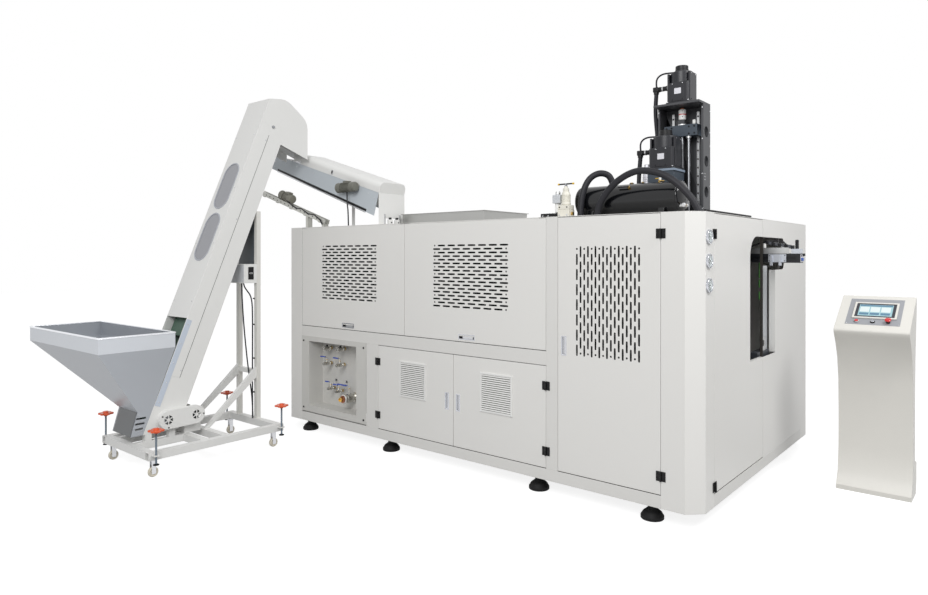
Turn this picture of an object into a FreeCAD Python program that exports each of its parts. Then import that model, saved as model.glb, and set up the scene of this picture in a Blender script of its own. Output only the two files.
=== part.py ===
import FreeCAD, Part
import math
import os

# Stretch blow moulding machine with its preform hopper, inclined elevator,
# roller unscrambler and operator console.
#
# Working axes: X runs along the front face (its right end is 0), Y into the
# machine, Z up from the floor. All sizes are millimetres. At the end every
# solid is shifted so that the origin is the middle of the footprint.

V = FreeCAD.Vector

# ------------------------------------------------------------ cabinet
FRONT_LENGTH = 3846        # flat front between the chamfered corners
CHAMFER = 90
CABINET_DEPTH = 2524
FLOOR_GAP = 100            # underside of the base frame
ROOF_TOP = 1900
ROOF_SHEET = 3
COLUMN_SHEET = 3
DOOR_SHEET = 2
DOOR_THICKNESS = 25
DOOR_GAP = 4               # seam round each door
FRAME_WALL = 4
RAIL_DEPTH = 50
BASE_RAIL_DEPTH = 100
BOTTOM_RAIL_HEIGHT = 80
MID_RAIL_BASE = 885
MID_RAIL_HEIGHT = 98
LEFT_POST_WIDTH = 166
TALL_POST_WIDTH = 92
RIGHT_POST_WIDTH = 150
TALL_BAY_WIDTH = 730
UPPER_SPLIT = -2333        # seam between the two lift-up doors
VALVE_BAY_WIDTH = 890
VALVE_POST_WIDTH = 146
FRONT_STRIP = 147          # column face on the right end, beside the end door
REAR_STRIP = 184
END_DOOR_WIDTH = 983
HINGE_SEAT_GAP = 0.3
PANEL_SEAM = 0.6           # seam beside a bolted panel
OVEN_BENCH_Z = 1000
OVEN_END_GAPS = (100, 150)

# ------------------------------------------------------------ slots
SLOT_LENGTH = 75
SLOT_WIDTH = 14
SLOT_PITCH_ALONG = 100
SLOT_PITCH_ACROSS = 27.5
SLOTS_PER_ROW = 7
UPPER_SLOT_ROWS = 18
TALL_SLOT_ROWS = 17
LEFT_GRILLE_START = (-3386, 1246)
RIGHT_GRILLE_START = (-2017, 1240)
TALL_GRILLE_START = (-738, 973)

# ------------------------------------------------------------ hinges and pulls
HINGE_HEIGHT = 60
HINGE_LEAF_WIDTH = 24
HINGE_LEAF_THICKNESS = 4
HINGE_BARREL_RADIUS = 7
HINGE_STANDOFF = 8         # hinge axis in front of the sheet
LEAF_BARREL_GAP = 0.3
LOWER_HINGE_Z = (300, 747)
TALL_HINGE_Z = (298, 1770)
END_HINGE_Z = (224, 1768)
PULL_DEPTH = 18
PULL_WALL = 2
VENT_SIZE = 290
VENT_BARS = 11
VENT_DEPTH = 9
VENT_CENTRE_Z = 635

# ------------------------------------------------------------ end window
WINDOW_START = 930         # y of the window's front edge
WINDOW_END = 1525
WINDOW_WIDE_END = 1765     # upper part is wider, for the outfeed beam
WINDOW_BASE = 905
WINDOW_STEP_Z = 1530
WINDOW_TOP = 1770
WINDOW_BIG_RADIUS = 150
WINDOW_SMALL_RADIUS = 50

# ------------------------------------------------------------ feet
FOOT_RADIUS = 72
FOOT_HEIGHT = 88
FOOT_NECK_RADIUS = 28
FOOT_STEM_RADIUS = 20
FOOT_Y = 80                # from the front and rear faces
FOOT_X = (-240, -1081, -2564, -3652)

# ------------------------------------------------------------ valve box
VALVE_BOX_DEPTH = 160
VALVE_OPENING = (-3575, -2917, 250, 845)
VALVE_FLANGE = (-3680, -2790, 190, 890)
VALVE_FLANGE_THICKNESS = 3
LEVER_THICKNESS = 4
LEVER_SEAT_GAP = 0.3

# ------------------------------------------------------------ clamp
CLAMP_BASE_Z = 700
CLAMP_BED_HEIGHT = 40
CLAMP_LENGTH = 660
PLATEN_THICKNESS = 60
PLATEN_HEIGHT = 860
PLATEN_OUTER = 360         # from the clamp centre to a platen's outer face
MOULD_LENGTH = 500
MOULD_THICKNESS = 130
MOULD_HEIGHT = 400
MOULD_BASE_Z = 1060
MOULD_STROKE = 90
MOULD_CLOSED_GAP = 0.3
CAVITIES = 6
CAVITY_RADIUS = 32
CAVITY_PITCH = 78
CAVITY_DEPTH = 300
TIE_BAR_RADIUS = 25
SLIDE_RAIL_SIZE = 40

# ------------------------------------------------------------ servo column
COLUMN_LEFT = -476
COLUMN_RIGHT = -150
COLUMN_FRONT = 700
COLUMN_BACK = 830
COLUMN_PLATE = 15
COLUMN_TOP = 2680
COLUMN_HOLE = 38
COLUMN_HOLE_Z = (2076, 2288, 2492)
TOP_PLATE_FRONT = 620
FOOT_PLATE = 15
SCREW_X = -313
SCREW_Y = 738
SCREW_RADIUS = 14
SCREW_RUNNING_GAP = 0.08
COUPLING_RADIUS = 26
BEARING_BLOCK_HEIGHT = 30
RAIL_SIZE = 18
RAIL_OFFSET = 90
CARRIAGE_BASE = 2470
CARRIAGE_HEIGHT = 80
CARRIAGE_WIDTH = 236
CARRIAGE_FRONT = 700
CARRIAGE_TRAVEL = 350
ROD_RADIUS = 11
ROD_LENGTH = 720
ROD_X = -262
NUT_CLEARANCE = 0.6
UPPER_MOTOR = (166, 228)     # flange size, height of the body
LOWER_MOTOR = (184, 230)
MOTOR_CAP_RADIUS = 46
MOTOR_CAP_HEIGHT = 45
LOWER_MOTOR_X = -375
LOWER_MOTOR_Y = 600
LOWER_MOTOR_BASE = 2230
STAND_PLATE = 15

# ------------------------------------------------------------ roof items
LID_BOX = (-2681, -1768, 330, 930)
LID_HEIGHT = 95
LID_SHEET = 2
TANK_LEFT = -930
TANK_RIGHT = -135
TANK_Y = 372
TANK_RADIUS = 106
TANK_DISH = 38
TANK_WALL = 5
TANK_SADDLE = 12
REGULATOR_X = -935
REGULATOR_Y = 200
HANDLE_Z = 2139
HANDLE_SPAN = 130
HANDLE_RADIUS = 7
HOSE_RADIUS = 22
FILTER_X = -512
FILTER_Y = 600
FILTER_RADIUS = 33
FILTER_TOP = LOWER_MOTOR_BASE + 50    # the filter stands beside the motor

# ------------------------------------------------------------ outfeed
BEAM_Y = (1250, 1330)
BEAM_Z = (1585, 1650)
BEAM_LEFT = -900
BEAM_RIGHT = 330
OUTFEED_CARRIAGE_LENGTH = 120
OUTFEED_TRAVEL = 500

# ------------------------------------------------------------ elevator
INCLINE = 68               # degrees from the floor
CASING_RIGHT = -3686
CASING_WIDTH = 330
CASING_THICKNESS = 262     # square to the slope
CASING_SHEET = 3
CASING_FOOT_Z = 250
BOOT_AXIS = (-1307, 342)   # lower roller (y, z)
BELT_CENTRES = 2650
COVER_START_Z = 1130       # the front cover ends above the hopper's rim
WINDOW_HEIGHTS = (2250, 1800)
WINDOW_WIDTH = 210
WINDOW_LENGTH = 430
HEAD_Z = BOOT_AXIS[1] + BELT_CENTRES * math.sin(math.radians(INCLINE))
HOOD_TOP = HEAD_Z + 276
HOOD_BEND_Y = -168
HOOD_END_Y = 67
HOOD_SHOULDER_Z = HOOD_TOP - 175
HOOD_REACH = 70            # bend length each side of a hood corner
CHUTE_Z = 2545
CHUTE_BACK_Z = 2650
TONGUE_LINE = ((-80, 2675), (165, 2592)) # (y, z) of the chute's floor
TONGUE_WIDTH = 124
TONGUE_LIP = 36
PULLEY_RADIUS = 60
SPROCKET_RADIUS = 40
GUARD_RADIUS = 72
GUARD_DEPTH = 50
BELT_THICKNESS = 6
CLEAT_HEIGHT = 40
CLEAT_PITCH = 260
RUNNING_GAP = 0.5
SHAFT_RADIUS = 12.5
SHAFT_RUNNING_GAP = 0.08

# ------------------------------------------------------------ hopper
HOPPER_LEFT = -5081
HOPPER_RIGHT = -3688
HOPPER_NEAR = -1813
HOPPER_FAR = -1228
HOPPER_RIM = 1022
HOPPER_BAND = 120
HOPPER_SHEET = 3
THROAT_LEFT = -4014
THROAT_NEAR = -1525
THROAT_Z = 430

# ------------------------------------------------------------ cart
CART_LEFT = -4146
CART_RIGHT = -3356
CART_NEAR = -1598
CART_FAR = -438
CART_TUBE = 58
CART_TOP = 195
WHEEL_RADIUS = 37.5
WHEEL_WIDTH = 28
AXLE_RADIUS = 5
WHEEL_GAP = 0.4
JACK_RADIUS = 8
JACK_TOP = 352
JACK_FOOT_Z = 118
JACK_REACH = 62
STAR_RADIUS = 58
STAR_HEIGHT = 16
CART_CROSS_Y = -1158
POST_X = (-4011, -3726)
POST_TOP = 2030
BRACE_FOOT_Y = -978
CASING_FEET_Y = (-1468, -1278) # blocks under the casing, front edges
BRACE_TOP = 605
POST_CROSS_Z = 585          # lower tube between the posts
MOTOR_SHELF_Y = -1143
MOTOR_SHELF_Z = 300
GEARBOX_RADIUS = 46
CONTROL_Z = (1395, 1562)
CONTROL_DEPTH = 125
SOCKET_Z = (1427, 1537)
SOCKET_INSET = (40, 32)     # from the box's front and back
BACKPLATE_SHEET = 3

# ------------------------------------------------------------ unscrambler
TROUGH_SLOPE = 17.3
TROUGH_LOW = (-2753, 2180) # lower end of the side panel's top edge (x, z)
TROUGH_LENGTH = 1600
TROUGH_NEAR = 110
TROUGH_WIDTH = 312
TROUGH_DEPTH_LOW = 205     # side panel at its lower end, square to the slope
TROUGH_DEPTH_HIGH = 145
TROUGH_TAPER = (TROUGH_DEPTH_LOW - TROUGH_DEPTH_HIGH) / TROUGH_LENGTH
TROUGH_SHEET = 3
HOOD_LENGTH = 1150
HOOD_HEIGHT = 95
HOOD_RADIUS = 55
ROLLER_RADIUS = 42
ROLLER_GAP = 34
ROLLER_DROP = -70
RAIL_SLOPE = 18
RAIL_LOW = (-3480, 1970)
RAIL_RUN = 1100
RAIL_HEIGHT = 40
RAIL_BAR = 12
RAIL_CLEAR = 32            # between the two guide bars

# ------------------------------------------------------------ console
CONSOLE_LEFT = 519
CONSOLE_WIDTH = 448
CONSOLE_FRONT = 1350
CONSOLE_DEPTH = 350
CONSOLE_LIP_Z = 1138
CONSOLE_TOP_Z = 1346
CONSOLE_BODY = 90          # thickness of the pedestal
POWER_PLACE = 127          # buttons, from the console's left side
KEY_PLACE = 224
ESTOP_PLACE = 316
BUTTON_ROW = 80           # up the sloping panel from its lip
BUTTON_RADIUS = 12
BUTTON_WELL = 40
BUTTON_TRAVEL = 4
ESTOP_RADIUS = 20
ESTOP_TRAVEL = 5

LEFT = -FRONT_LENGTH
DOOR_TOP = ROOF_TOP - ROOF_SHEET - 4
BASE_TOP = FLOOR_GAP + BOTTOM_RAIL_HEIGHT
END_X = CHAMFER
REAR_CORNER = CABINET_DEPTH - CHAMFER
TALL_RIGHT = -RIGHT_POST_WIDTH
TALL_LEFT = TALL_RIGHT - TALL_BAY_WIDTH
POST_LEFT = TALL_LEFT - TALL_POST_WIDTH
UPPER_LEFT = LEFT + LEFT_POST_WIDTH
VALVE_RIGHT = UPPER_LEFT + VALVE_BAY_WIDTH
LOWER_LEFT = VALVE_RIGHT + VALVE_POST_WIDTH
LOWER_SPLIT = (LOWER_LEFT + POST_LEFT) / 2
UPPER_BASE = MID_RAIL_BASE + MID_RAIL_HEIGHT
END_DOOR_START = CHAMFER + FRONT_STRIP
END_DOOR_END = END_DOOR_START + END_DOOR_WIDTH
END_PANEL_END = REAR_CORNER - REAR_STRIP


# ------------------------------------------------------------ helpers
def box(x, y, z):
    """Box from three (low, high) pairs."""
    return Part.makeBox(x[1] - x[0], y[1] - y[0], z[1] - z[0], V(x[0], y[0], z[0]))


def polygon(points):
    """Face bounded by straight edges through the points."""
    return Part.Face(Part.makePolygon(list(points) + [points[0]]))


def prism_x(points, x0, x1):
    """Profile of (y, z) points carried from x0 to x1."""
    return polygon([V(x0, y, z) for y, z in points]).extrude(V(x1 - x0, 0, 0))


def prism_y(points, y0, y1):
    """Profile of (x, z) points carried from y0 to y1."""
    return polygon([V(x, y0, z) for x, z in points]).extrude(V(0, y1 - y0, 0))


def prism_z(points, z0, z1):
    """Profile of (x, y) points carried from z0 to z1."""
    return polygon([V(x, y, z0) for x, y in points]).extrude(V(0, 0, z1 - z0))


def rod(start, end, radius):
    """Round bar between two points."""
    line = V(*end) - V(*start)
    return Part.makeCylinder(radius, line.Length, V(*start), line)


def ring(start, end, outer, inner):
    """Round tube between two points."""
    return rod(start, end, outer).cut(rod(start, end, inner))


def regular(centre, radius, sides, turn=0.0):
    """Corners of a regular polygon about a centre."""
    steps = [turn + 2 * math.pi * i / sides for i in range(sides)]
    return [(centre[0] + radius * math.cos(a), centre[1] + radius * math.sin(a)) for a in steps]


def offset_line(points, distance):
    """Open polyline moved sideways, to its left for a positive distance."""
    moved = []
    for i, point in enumerate(points):
        before = points[max(i - 1, 0)]
        after = points[min(i + 1, len(points) - 1)]
        first = direction(before, point) if i else direction(point, after)
        second = direction(point, after) if i < len(points) - 1 else first
        side = (-(first[1] + second[1]) / 2, (first[0] + second[0]) / 2)
        scale = distance / (side[0] ** 2 + side[1] ** 2)
        moved.append((point[0] + side[0] * scale, point[1] + side[1] * scale))
    return moved


def direction(a, b):
    """Unit vector from a to b in a plane."""
    length = math.hypot(b[0] - a[0], b[1] - a[1])
    return ((b[0] - a[0]) / length, (b[1] - a[1]) / length)


def folded(points, thickness):
    """Closed outline of a sheet folded along an open polyline."""
    return list(points) + offset_line(points, thickness)[::-1]


def blunted(points, reach, steps=3):
    """Open polyline with its inner corners cut round, starting reach before each corner."""
    line = [points[0]]
    for before, corner, after in zip(points, points[1:], points[2:]):
        into, out = direction(before, corner), direction(corner, after)
        for i in range(steps + 1):
            f = i / steps
            a = [corner[k] - into[k] * reach * (1 - f) for k in (0, 1)]
            b = [corner[k] + out[k] * reach * f for k in (0, 1)]
            line.append((a[0] + (b[0] - a[0]) * f, a[1] + (b[1] - a[1]) * f))
    return line + [points[-1]]


def revolve(profile, centre, axis=V(0, 0, 1)):
    """Solid turned from (radius, height) points about an axis through centre."""
    face = polygon([V(r, 0, h) for r, h in profile])
    solid = face.revolve(V(0, 0, 0), V(0, 0, 1), 360)
    turn = FreeCAD.Rotation(V(0, 0, 1), axis)
    solid.Placement = FreeCAD.Placement(V(*centre), turn)
    return solid


def tilted(shape, about, axis, degrees):
    """Shape turned about a point."""
    copy = shape.copy()
    copy.rotate(V(*about), axis, degrees)
    return copy


def joined(solids):
    """One solid from several that touch or overlap."""
    result = solids[0]
    for solid in solids[1:]:
        result = result.fuse(solid)
    return result.removeSplitter()


def channel_box(x, y, z, along):
    """Rectangular hollow section that fills a box, open at both ends along one axis."""
    spans = [list(x), list(y), list(z)]
    inner = [[low + FRAME_WALL, high - FRAME_WALL] for low, high in spans]
    inner[along] = spans[along]
    return box(*spans).cut(box(*inner))


def cord(points, radius, name):
    """Round cord: straight runs joined by the largest arcs that fit, printed as made."""
    pts = [V(*p) for p in points]
    edges, at, radii = [], pts[0], []
    for before, corner, after in zip(pts, pts[1:], pts[2:]):
        into = (corner - before).normalize()
        out = (after - corner).normalize()
        half_turn = into.getAngle(out) / 2
        reach = 0.45 * min((corner - before).Length, (after - corner).Length)
        radii.append(reach / math.tan(half_turn))
        first, last = corner - into * reach, corner + out * reach
        inward = (out - into).normalize()
        middle = corner + inward * (radii[-1] / math.cos(half_turn) - radii[-1])
        edges.append(Part.LineSegment(at, first).toShape())
        edges.append(Part.Arc(first, middle, last).toShape())
        at = last
    edges.append(Part.LineSegment(at, pts[-1]).toShape())
    path = Part.Wire(edges)
    section = Part.Wire(Part.makeCircle(radius, pts[0], (pts[1] - pts[0]).normalize()))
    tube = path.makePipeShell([section], True, False)
    ideal = math.pi * radius ** 2 * path.Length
    print(f"{name}: length {path.Length:.0f}, least radius {min(radii):.0f}, "
          f"volume ratio {tube.Volume / ideal:.4f}")
    return tube


# ------------------------------------------------------------ cabinet
def cabinet_frame():
    """Welded frame: base ring, front posts and rails, rear posts and top ring."""
    deep = (0, RAIL_DEPTH)
    base = (FLOOR_GAP, BASE_TOP)
    full = (BASE_TOP, ROOF_TOP - ROOF_SHEET)
    rear = (CABINET_DEPTH - RAIL_DEPTH, CABINET_DEPTH)
    solids = [channel_box((UPPER_LEFT, TALL_RIGHT), (0, BASE_RAIL_DEPTH), base, 0),
              channel_box((UPPER_LEFT, TALL_RIGHT), (CABINET_DEPTH - BASE_RAIL_DEPTH, CABINET_DEPTH),
                          base, 0)]
    solids.append(channel_box((UPPER_LEFT, POST_LEFT), deep, (MID_RAIL_BASE, UPPER_BASE), 0))
    solids.append(channel_box((VALVE_RIGHT, LOWER_LEFT), deep, (BASE_TOP, MID_RAIL_BASE), 2))
    solids.append(channel_box((POST_LEFT, TALL_LEFT), deep, full, 2))
    for x in (LEFT - CHAMFER, END_X - RAIL_DEPTH):
        solids.append(channel_box((x, x + RAIL_DEPTH), (END_DOOR_START, END_PANEL_END), base, 1))
    span = (BASE_RAIL_DEPTH, CABINET_DEPTH - BASE_RAIL_DEPTH)
    for x in oven_legs() + clamp_sides():
        solids.append(channel_box((x, x + RAIL_DEPTH), span, base, 1))
    for x in rear_seams():
        solids.append(channel_box((x - RAIL_DEPTH, x), (rear[0], rear[1] - DOOR_THICKNESS - 1),
                                  full, 2))
    top = (full[1] - RAIL_DEPTH, full[1])
    inner = DOOR_THICKNESS + DOOR_GAP
    lift_bay = (UPPER_LEFT, POST_LEFT)
    solids.append(channel_box(lift_bay, (inner, inner + RAIL_DEPTH), top, 0))
    solids.append(channel_box((TALL_LEFT, TALL_RIGHT), (inner, inner + RAIL_DEPTH), top, 0))
    return solids


def oven_span():
    """X span of the oven's bench."""
    return (UPPER_LEFT + OVEN_END_GAPS[0], POST_LEFT - OVEN_END_GAPS[1])


def oven_legs():
    """Left edges of the oven's legs and of the cross members under them."""
    x0, x1 = oven_span()
    return [x0 + 60, (x0 + x1 - RAIL_DEPTH) / 2, x1 - 60 - RAIL_DEPTH]


def clamp_sides():
    """Left edges of the two cross members under the clamp."""
    return [CLAMP_X - CLAMP_LENGTH / 2, CLAMP_X + CLAMP_LENGTH / 2 - RAIL_DEPTH]


def rear_seams():
    """X positions where the rear panels meet."""
    width = (TALL_RIGHT - UPPER_LEFT) / 3
    return [UPPER_LEFT + width, UPPER_LEFT + 2 * width]


def corner_columns():
    """Four folded columns with the chamfered corners."""
    height = (FLOOR_GAP, ROOF_TOP - ROOF_SHEET)
    right_front = [(TALL_RIGHT, 0), (0, 0), (END_X, CHAMFER), (END_X, END_DOOR_START)]
    left_front = [(LEFT - CHAMFER, END_DOOR_START), (LEFT - CHAMFER, CHAMFER), (LEFT, 0),
                  (UPPER_LEFT, 0)]
    right_rear = [(END_X, END_PANEL_END), (END_X, REAR_CORNER), (0, CABINET_DEPTH),
                  (TALL_RIGHT, CABINET_DEPTH)]
    left_rear = [(UPPER_LEFT, CABINET_DEPTH), (LEFT, CABINET_DEPTH),
                 (LEFT - CHAMFER, REAR_CORNER), (LEFT - CHAMFER, END_PANEL_END)]
    lines = (right_front, left_front, right_rear, left_rear)
    return [prism_z(folded(line, COLUMN_SHEET), *height) for line in lines]


def tray(x, y, z, open_side):
    """Folded sheet panel: a flat face with returned edges, open towards open_side."""
    spans = [list(x), list(y), list(z)]
    inner = [[low + DOOR_SHEET, high - DOOR_SHEET] for low, high in spans]
    axis, sign = open_side
    inner[axis][1 if sign > 0 else 0] = spans[axis][1 if sign > 0 else 0]
    return box(*spans).cut(box(*inner))


def rear_panels():
    """Three plain bolted panels across the back."""
    edges = [UPPER_LEFT] + rear_seams() + [TALL_RIGHT]
    depth = (CABINET_DEPTH - DOOR_THICKNESS, CABINET_DEPTH)
    height = (BASE_TOP + PANEL_SEAM, ROOF_TOP - ROOF_SHEET - PANEL_SEAM)
    return [tray((a + PANEL_SEAM, b - PANEL_SEAM), depth, height, (1, -1))
            for a, b in zip(edges, edges[1:])]


def window_outline(depth):
    """Cutter for the outfeed window, a stepped opening with rounded corners."""
    tall = [(WINDOW_START, WINDOW_BASE), (WINDOW_END, WINDOW_BASE), (WINDOW_END, WINDOW_STEP_Z),
            (WINDOW_WIDE_END, WINDOW_STEP_Z), (WINDOW_WIDE_END, WINDOW_TOP),
            (WINDOW_START, WINDOW_TOP)]
    cutter = prism_x(tall, END_X - depth, END_X + depth)
    wide = [e for e in cutter.Edges if abs(e.tangentAt(e.FirstParameter).x) > 0.9
            and e.BoundBox.YMin > WINDOW_WIDE_END - 1]
    cutter = cutter.makeFillet(WINDOW_SMALL_RADIUS, wide)
    big = [e for e in cutter.Edges
           if abs(e.tangentAt(e.FirstParameter).x) > 0.9
           and e.BoundBox.YMax < WINDOW_START + 1 and e.BoundBox.ZMin > WINDOW_TOP - 1]
    return cutter.makeFillet(WINDOW_BIG_RADIUS, big)


def end_panels():
    """Fixed right end panel with its part of the window, and two plain left end panels."""
    height = (BASE_TOP + PANEL_SEAM, ROOF_TOP - ROOF_SHEET - PANEL_SEAM)
    right = tray((END_X - DOOR_THICKNESS, END_X),
                 (END_DOOR_END, END_PANEL_END - PANEL_SEAM), height, (0, -1))
    right = right.cut(window_outline(2 * DOOR_THICKNESS))
    left = LEFT - CHAMFER
    seam = (END_DOOR_START + END_PANEL_END) / 2
    lefts = [tray((left, left + DOOR_THICKNESS), span, height, (0, 1))
             for span in ((END_DOOR_START + PANEL_SEAM, seam - PANEL_SEAM),
                          (seam + PANEL_SEAM, END_PANEL_END - PANEL_SEAM))]
    return [right] + lefts


def footprint():
    """Plan outline of the cabinet with its four chamfered corners."""
    return [(LEFT, 0), (0, 0), (END_X, CHAMFER), (END_X, REAR_CORNER), (0, CABINET_DEPTH),
            (LEFT, CABINET_DEPTH), (LEFT - CHAMFER, REAR_CORNER), (LEFT - CHAMFER, CHAMFER)]


def roof_panel():
    """Roof sheet with the opening for the stretch rod."""
    roof = prism_z(footprint(), ROOF_TOP - ROOF_SHEET, ROOF_TOP)
    opening = box((ROD_X - 2 * CAVITY_PITCH - 30, ROD_X + 30), (COLUMN_FRONT, COLUMN_FRONT + 50),
                  (ROOF_TOP - 50, ROOF_TOP + 50))
    gasket = box((END_X - 12, END_X), (CHAMFER + 4, 955), (ROOF_TOP, ROOF_TOP + 12))
    return [roof.cut(opening), gasket]


def levelling_feet():
    """Eight rubber machine mounts on threaded stems."""
    neck = FOOT_NECK_RADIUS
    bell = [(0, 0), (FOOT_RADIUS, 0), (FOOT_RADIUS, 24), (62, 42), (38, 58), (neck, 62),
            (neck, FOOT_HEIGHT), (0, FOOT_HEIGHT)]
    solids = []
    for y in (FOOT_Y, CABINET_DEPTH - FOOT_Y):
        for x in FOOT_X:
            solids.append(revolve(bell, (x, y, 0)))
            stem = regular((x, y), FOOT_STEM_RADIUS, 8)
            solids.append(prism_z(stem, FOOT_HEIGHT, FLOOR_GAP))
    return solids


# ------------------------------------------------------------ doors
def slot_grid(start, rows, vertical):
    """Staggered slots, each row with a short one at its free end; start is the lowest (x, z)."""
    cutters = []
    half, gap = SLOT_PITCH_ALONG / 2, SLOT_PITCH_ALONG - SLOT_LENGTH
    for row in range(rows):
        shift = half * (row % 2)
        row_slots = [(i * SLOT_PITCH_ALONG + shift, SLOT_LENGTH) for i in range(SLOTS_PER_ROW)]
        end = half - gap - SLOT_WIDTH if shift else SLOTS_PER_ROW * SLOT_PITCH_ALONG
        for along, length in row_slots + [(end, SLOT_WIDTH)]:
            across = row * SLOT_PITCH_ACROSS
            x, z = (across, along) if vertical else (along, across)
            w, h = (SLOT_WIDTH, length) if vertical else (length, SLOT_WIDTH)
            x, z = start[0] + x, start[1] + z
            cutters.append(box((x, x + w), (-1, DOOR_SHEET + 1), (z, z + h)))
    return Part.makeCompound(cutters)


def pull_cup(x, z):
    """Recessed pull: a lipped cup let into the door's face, with the hole it needs."""
    cup = tray(x, (0, PULL_DEPTH), z, (1, -1))
    hole = box(x, (-1, DOOR_SHEET + 1), z)
    return cup, hole


def front_door(x, z, start=None, rows=0, vertical=False, pulls=()):
    """Front door: folded sheet, its slots and its recessed pulls."""
    door = tray((x[0] + DOOR_GAP / 2, x[1] - DOOR_GAP / 2), (0, DOOR_THICKNESS), z, (1, 1))
    cups = []
    for pull in pulls:
        cup, hole = pull_cup(*pull)
        door = door.cut(hole)
        cups.append(cup)
    if rows:
        door = door.cut(slot_grid(start, rows, vertical))
    return [joined([door] + cups)]


def louvre(centre_x):
    """White louvred vent panel with slanted bars in a frame."""
    half = VENT_SIZE / 2
    x, z = (centre_x - half, centre_x + half), (VENT_CENTRE_Z - half, VENT_CENTRE_Z + half)
    rim = 14
    frame = box(x, (-VENT_DEPTH, 0), z)
    hollow = box((x[0] + rim, x[1] - rim), (-VENT_DEPTH, -2), (z[0] + rim, z[1] - rim))
    solids = [frame.cut(hollow)]
    pitch = (VENT_SIZE - 2 * rim) / VENT_BARS
    for i in range(VENT_BARS):
        z0 = z[0] + rim + i * pitch
        bar = [(-2, z0 + 4), (-VENT_DEPTH, z0 + 4), (-2, z0 + pitch)]
        solids.append(prism_x(bar, x[0] + rim, x[1] - rim))
    return joined(solids)


def leaf(axis, side, z):
    """Moving hinge leaf on a face towards -Y; side is +1 where the door lies at +X."""
    reach = HINGE_BARREL_RADIUS + LEAF_BARREL_GAP
    start = axis[0] + side * math.sqrt(reach ** 2 - (HINGE_STANDOFF - HINGE_LEAF_THICKNESS) ** 2)
    x = sorted((start, start + side * HINGE_LEAF_WIDTH))
    low = axis[1] + HINGE_STANDOFF - HINGE_LEAF_THICKNESS
    return box(x, (low, low + HINGE_LEAF_THICKNESS), (z - HINGE_HEIGHT / 2, z + HINGE_HEIGHT / 2))


def hinge_half(axis, side, z):
    """Fixed leaf and barrel on a face towards -Y."""
    barrel = prism_z(regular(axis, HINGE_BARREL_RADIUS, 8, math.pi / 8),
                     z - HINGE_HEIGHT / 2, z + HINGE_HEIGHT / 2)
    x = sorted((axis[0], axis[0] - side * (HINGE_BARREL_RADIUS + HINGE_LEAF_WIDTH)))
    low = axis[1] + HINGE_STANDOFF - HINGE_LEAF_THICKNESS
    plate = box(x, (low, low + HINGE_LEAF_THICKNESS), (z - HINGE_HEIGHT / 2, z + HINGE_HEIGHT / 2))
    return joined([barrel, plate])


def to_end_face(solid):
    """Turn a hinge made for the front face so that it sits on the right end face."""
    return tilted(solid, (0, 0, 0), V(0, 0, 1), 90).translated(V(END_X, 0, 0))


LOWER_LEFT_AXIS = (LOWER_LEFT, -HINGE_STANDOFF)
LOWER_RIGHT_AXIS = (POST_LEFT, -HINGE_STANDOFF)
TALL_AXIS = (TALL_RIGHT, -HINGE_STANDOFF)
END_AXIS_FRONT = (END_DOOR_START, -HINGE_STANDOFF)   # before it is turned to the end face


def upper_left_door():
    """Left lift-up door over the oven."""
    pull = ((-3099, -2953), (1008, 1038))
    return front_door((UPPER_LEFT, UPPER_SPLIT), (UPPER_BASE + DOOR_GAP, DOOR_TOP),
                      LEFT_GRILLE_START, UPPER_SLOT_ROWS, pulls=[pull])


def upper_right_door():
    """Right lift-up door over the oven's transfer."""
    pull = ((-1751, -1605), (1008, 1038))
    return front_door((UPPER_SPLIT, POST_LEFT), (UPPER_BASE + DOOR_GAP, DOOR_TOP),
                      RIGHT_GRILLE_START, UPPER_SLOT_ROWS, pulls=[pull])


def lower_door(x, pull_x, axis, side, vent_x):
    """Lower door with its pull, louvre vent and hinge leaves."""
    z = (BASE_TOP + DOOR_GAP, MID_RAIL_BASE - DOOR_GAP)
    pull = ((pull_x - 15, pull_x + 15), (460, 580))
    solids = front_door(x, z, pulls=[pull]) + [louvre(vent_x)]
    return solids + [leaf(axis, side, z_hinge) for z_hinge in LOWER_HINGE_Z]


def lower_left_door():
    """Lower left door, hinged at its left edge."""
    return lower_door((LOWER_LEFT, LOWER_SPLIT), -1872, LOWER_LEFT_AXIS, 1, -2237)


def lower_right_door():
    """Lower right door, hinged at its right edge."""
    return lower_door((LOWER_SPLIT, POST_LEFT), -1761, LOWER_RIGHT_AXIS, -1, -1398)


def tall_front_door():
    """Tall door over the clamp, with upright slots."""
    pull = ((-846, -816), (972, 1092))
    solids = front_door((TALL_LEFT, TALL_RIGHT), (BASE_TOP + DOOR_GAP, DOOR_TOP),
                        TALL_GRILLE_START, TALL_SLOT_ROWS, True, [pull])
    return solids + [leaf(TALL_AXIS, -1, z) for z in TALL_HINGE_Z]


def end_door():
    """Swing door on the right end, with its part of the outfeed window."""
    door = tray((END_X - DOOR_THICKNESS, END_X),
                (END_DOOR_START + DOOR_GAP / 2, END_DOOR_END - DOOR_GAP),
                (BASE_TOP + DOOR_GAP, DOOR_TOP), (0, -1))
    door = door.cut(window_outline(2 * DOOR_THICKNESS))
    return [door] + [to_end_face(leaf(END_AXIS_FRONT, 1, z)) for z in END_HINGE_Z]


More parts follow.
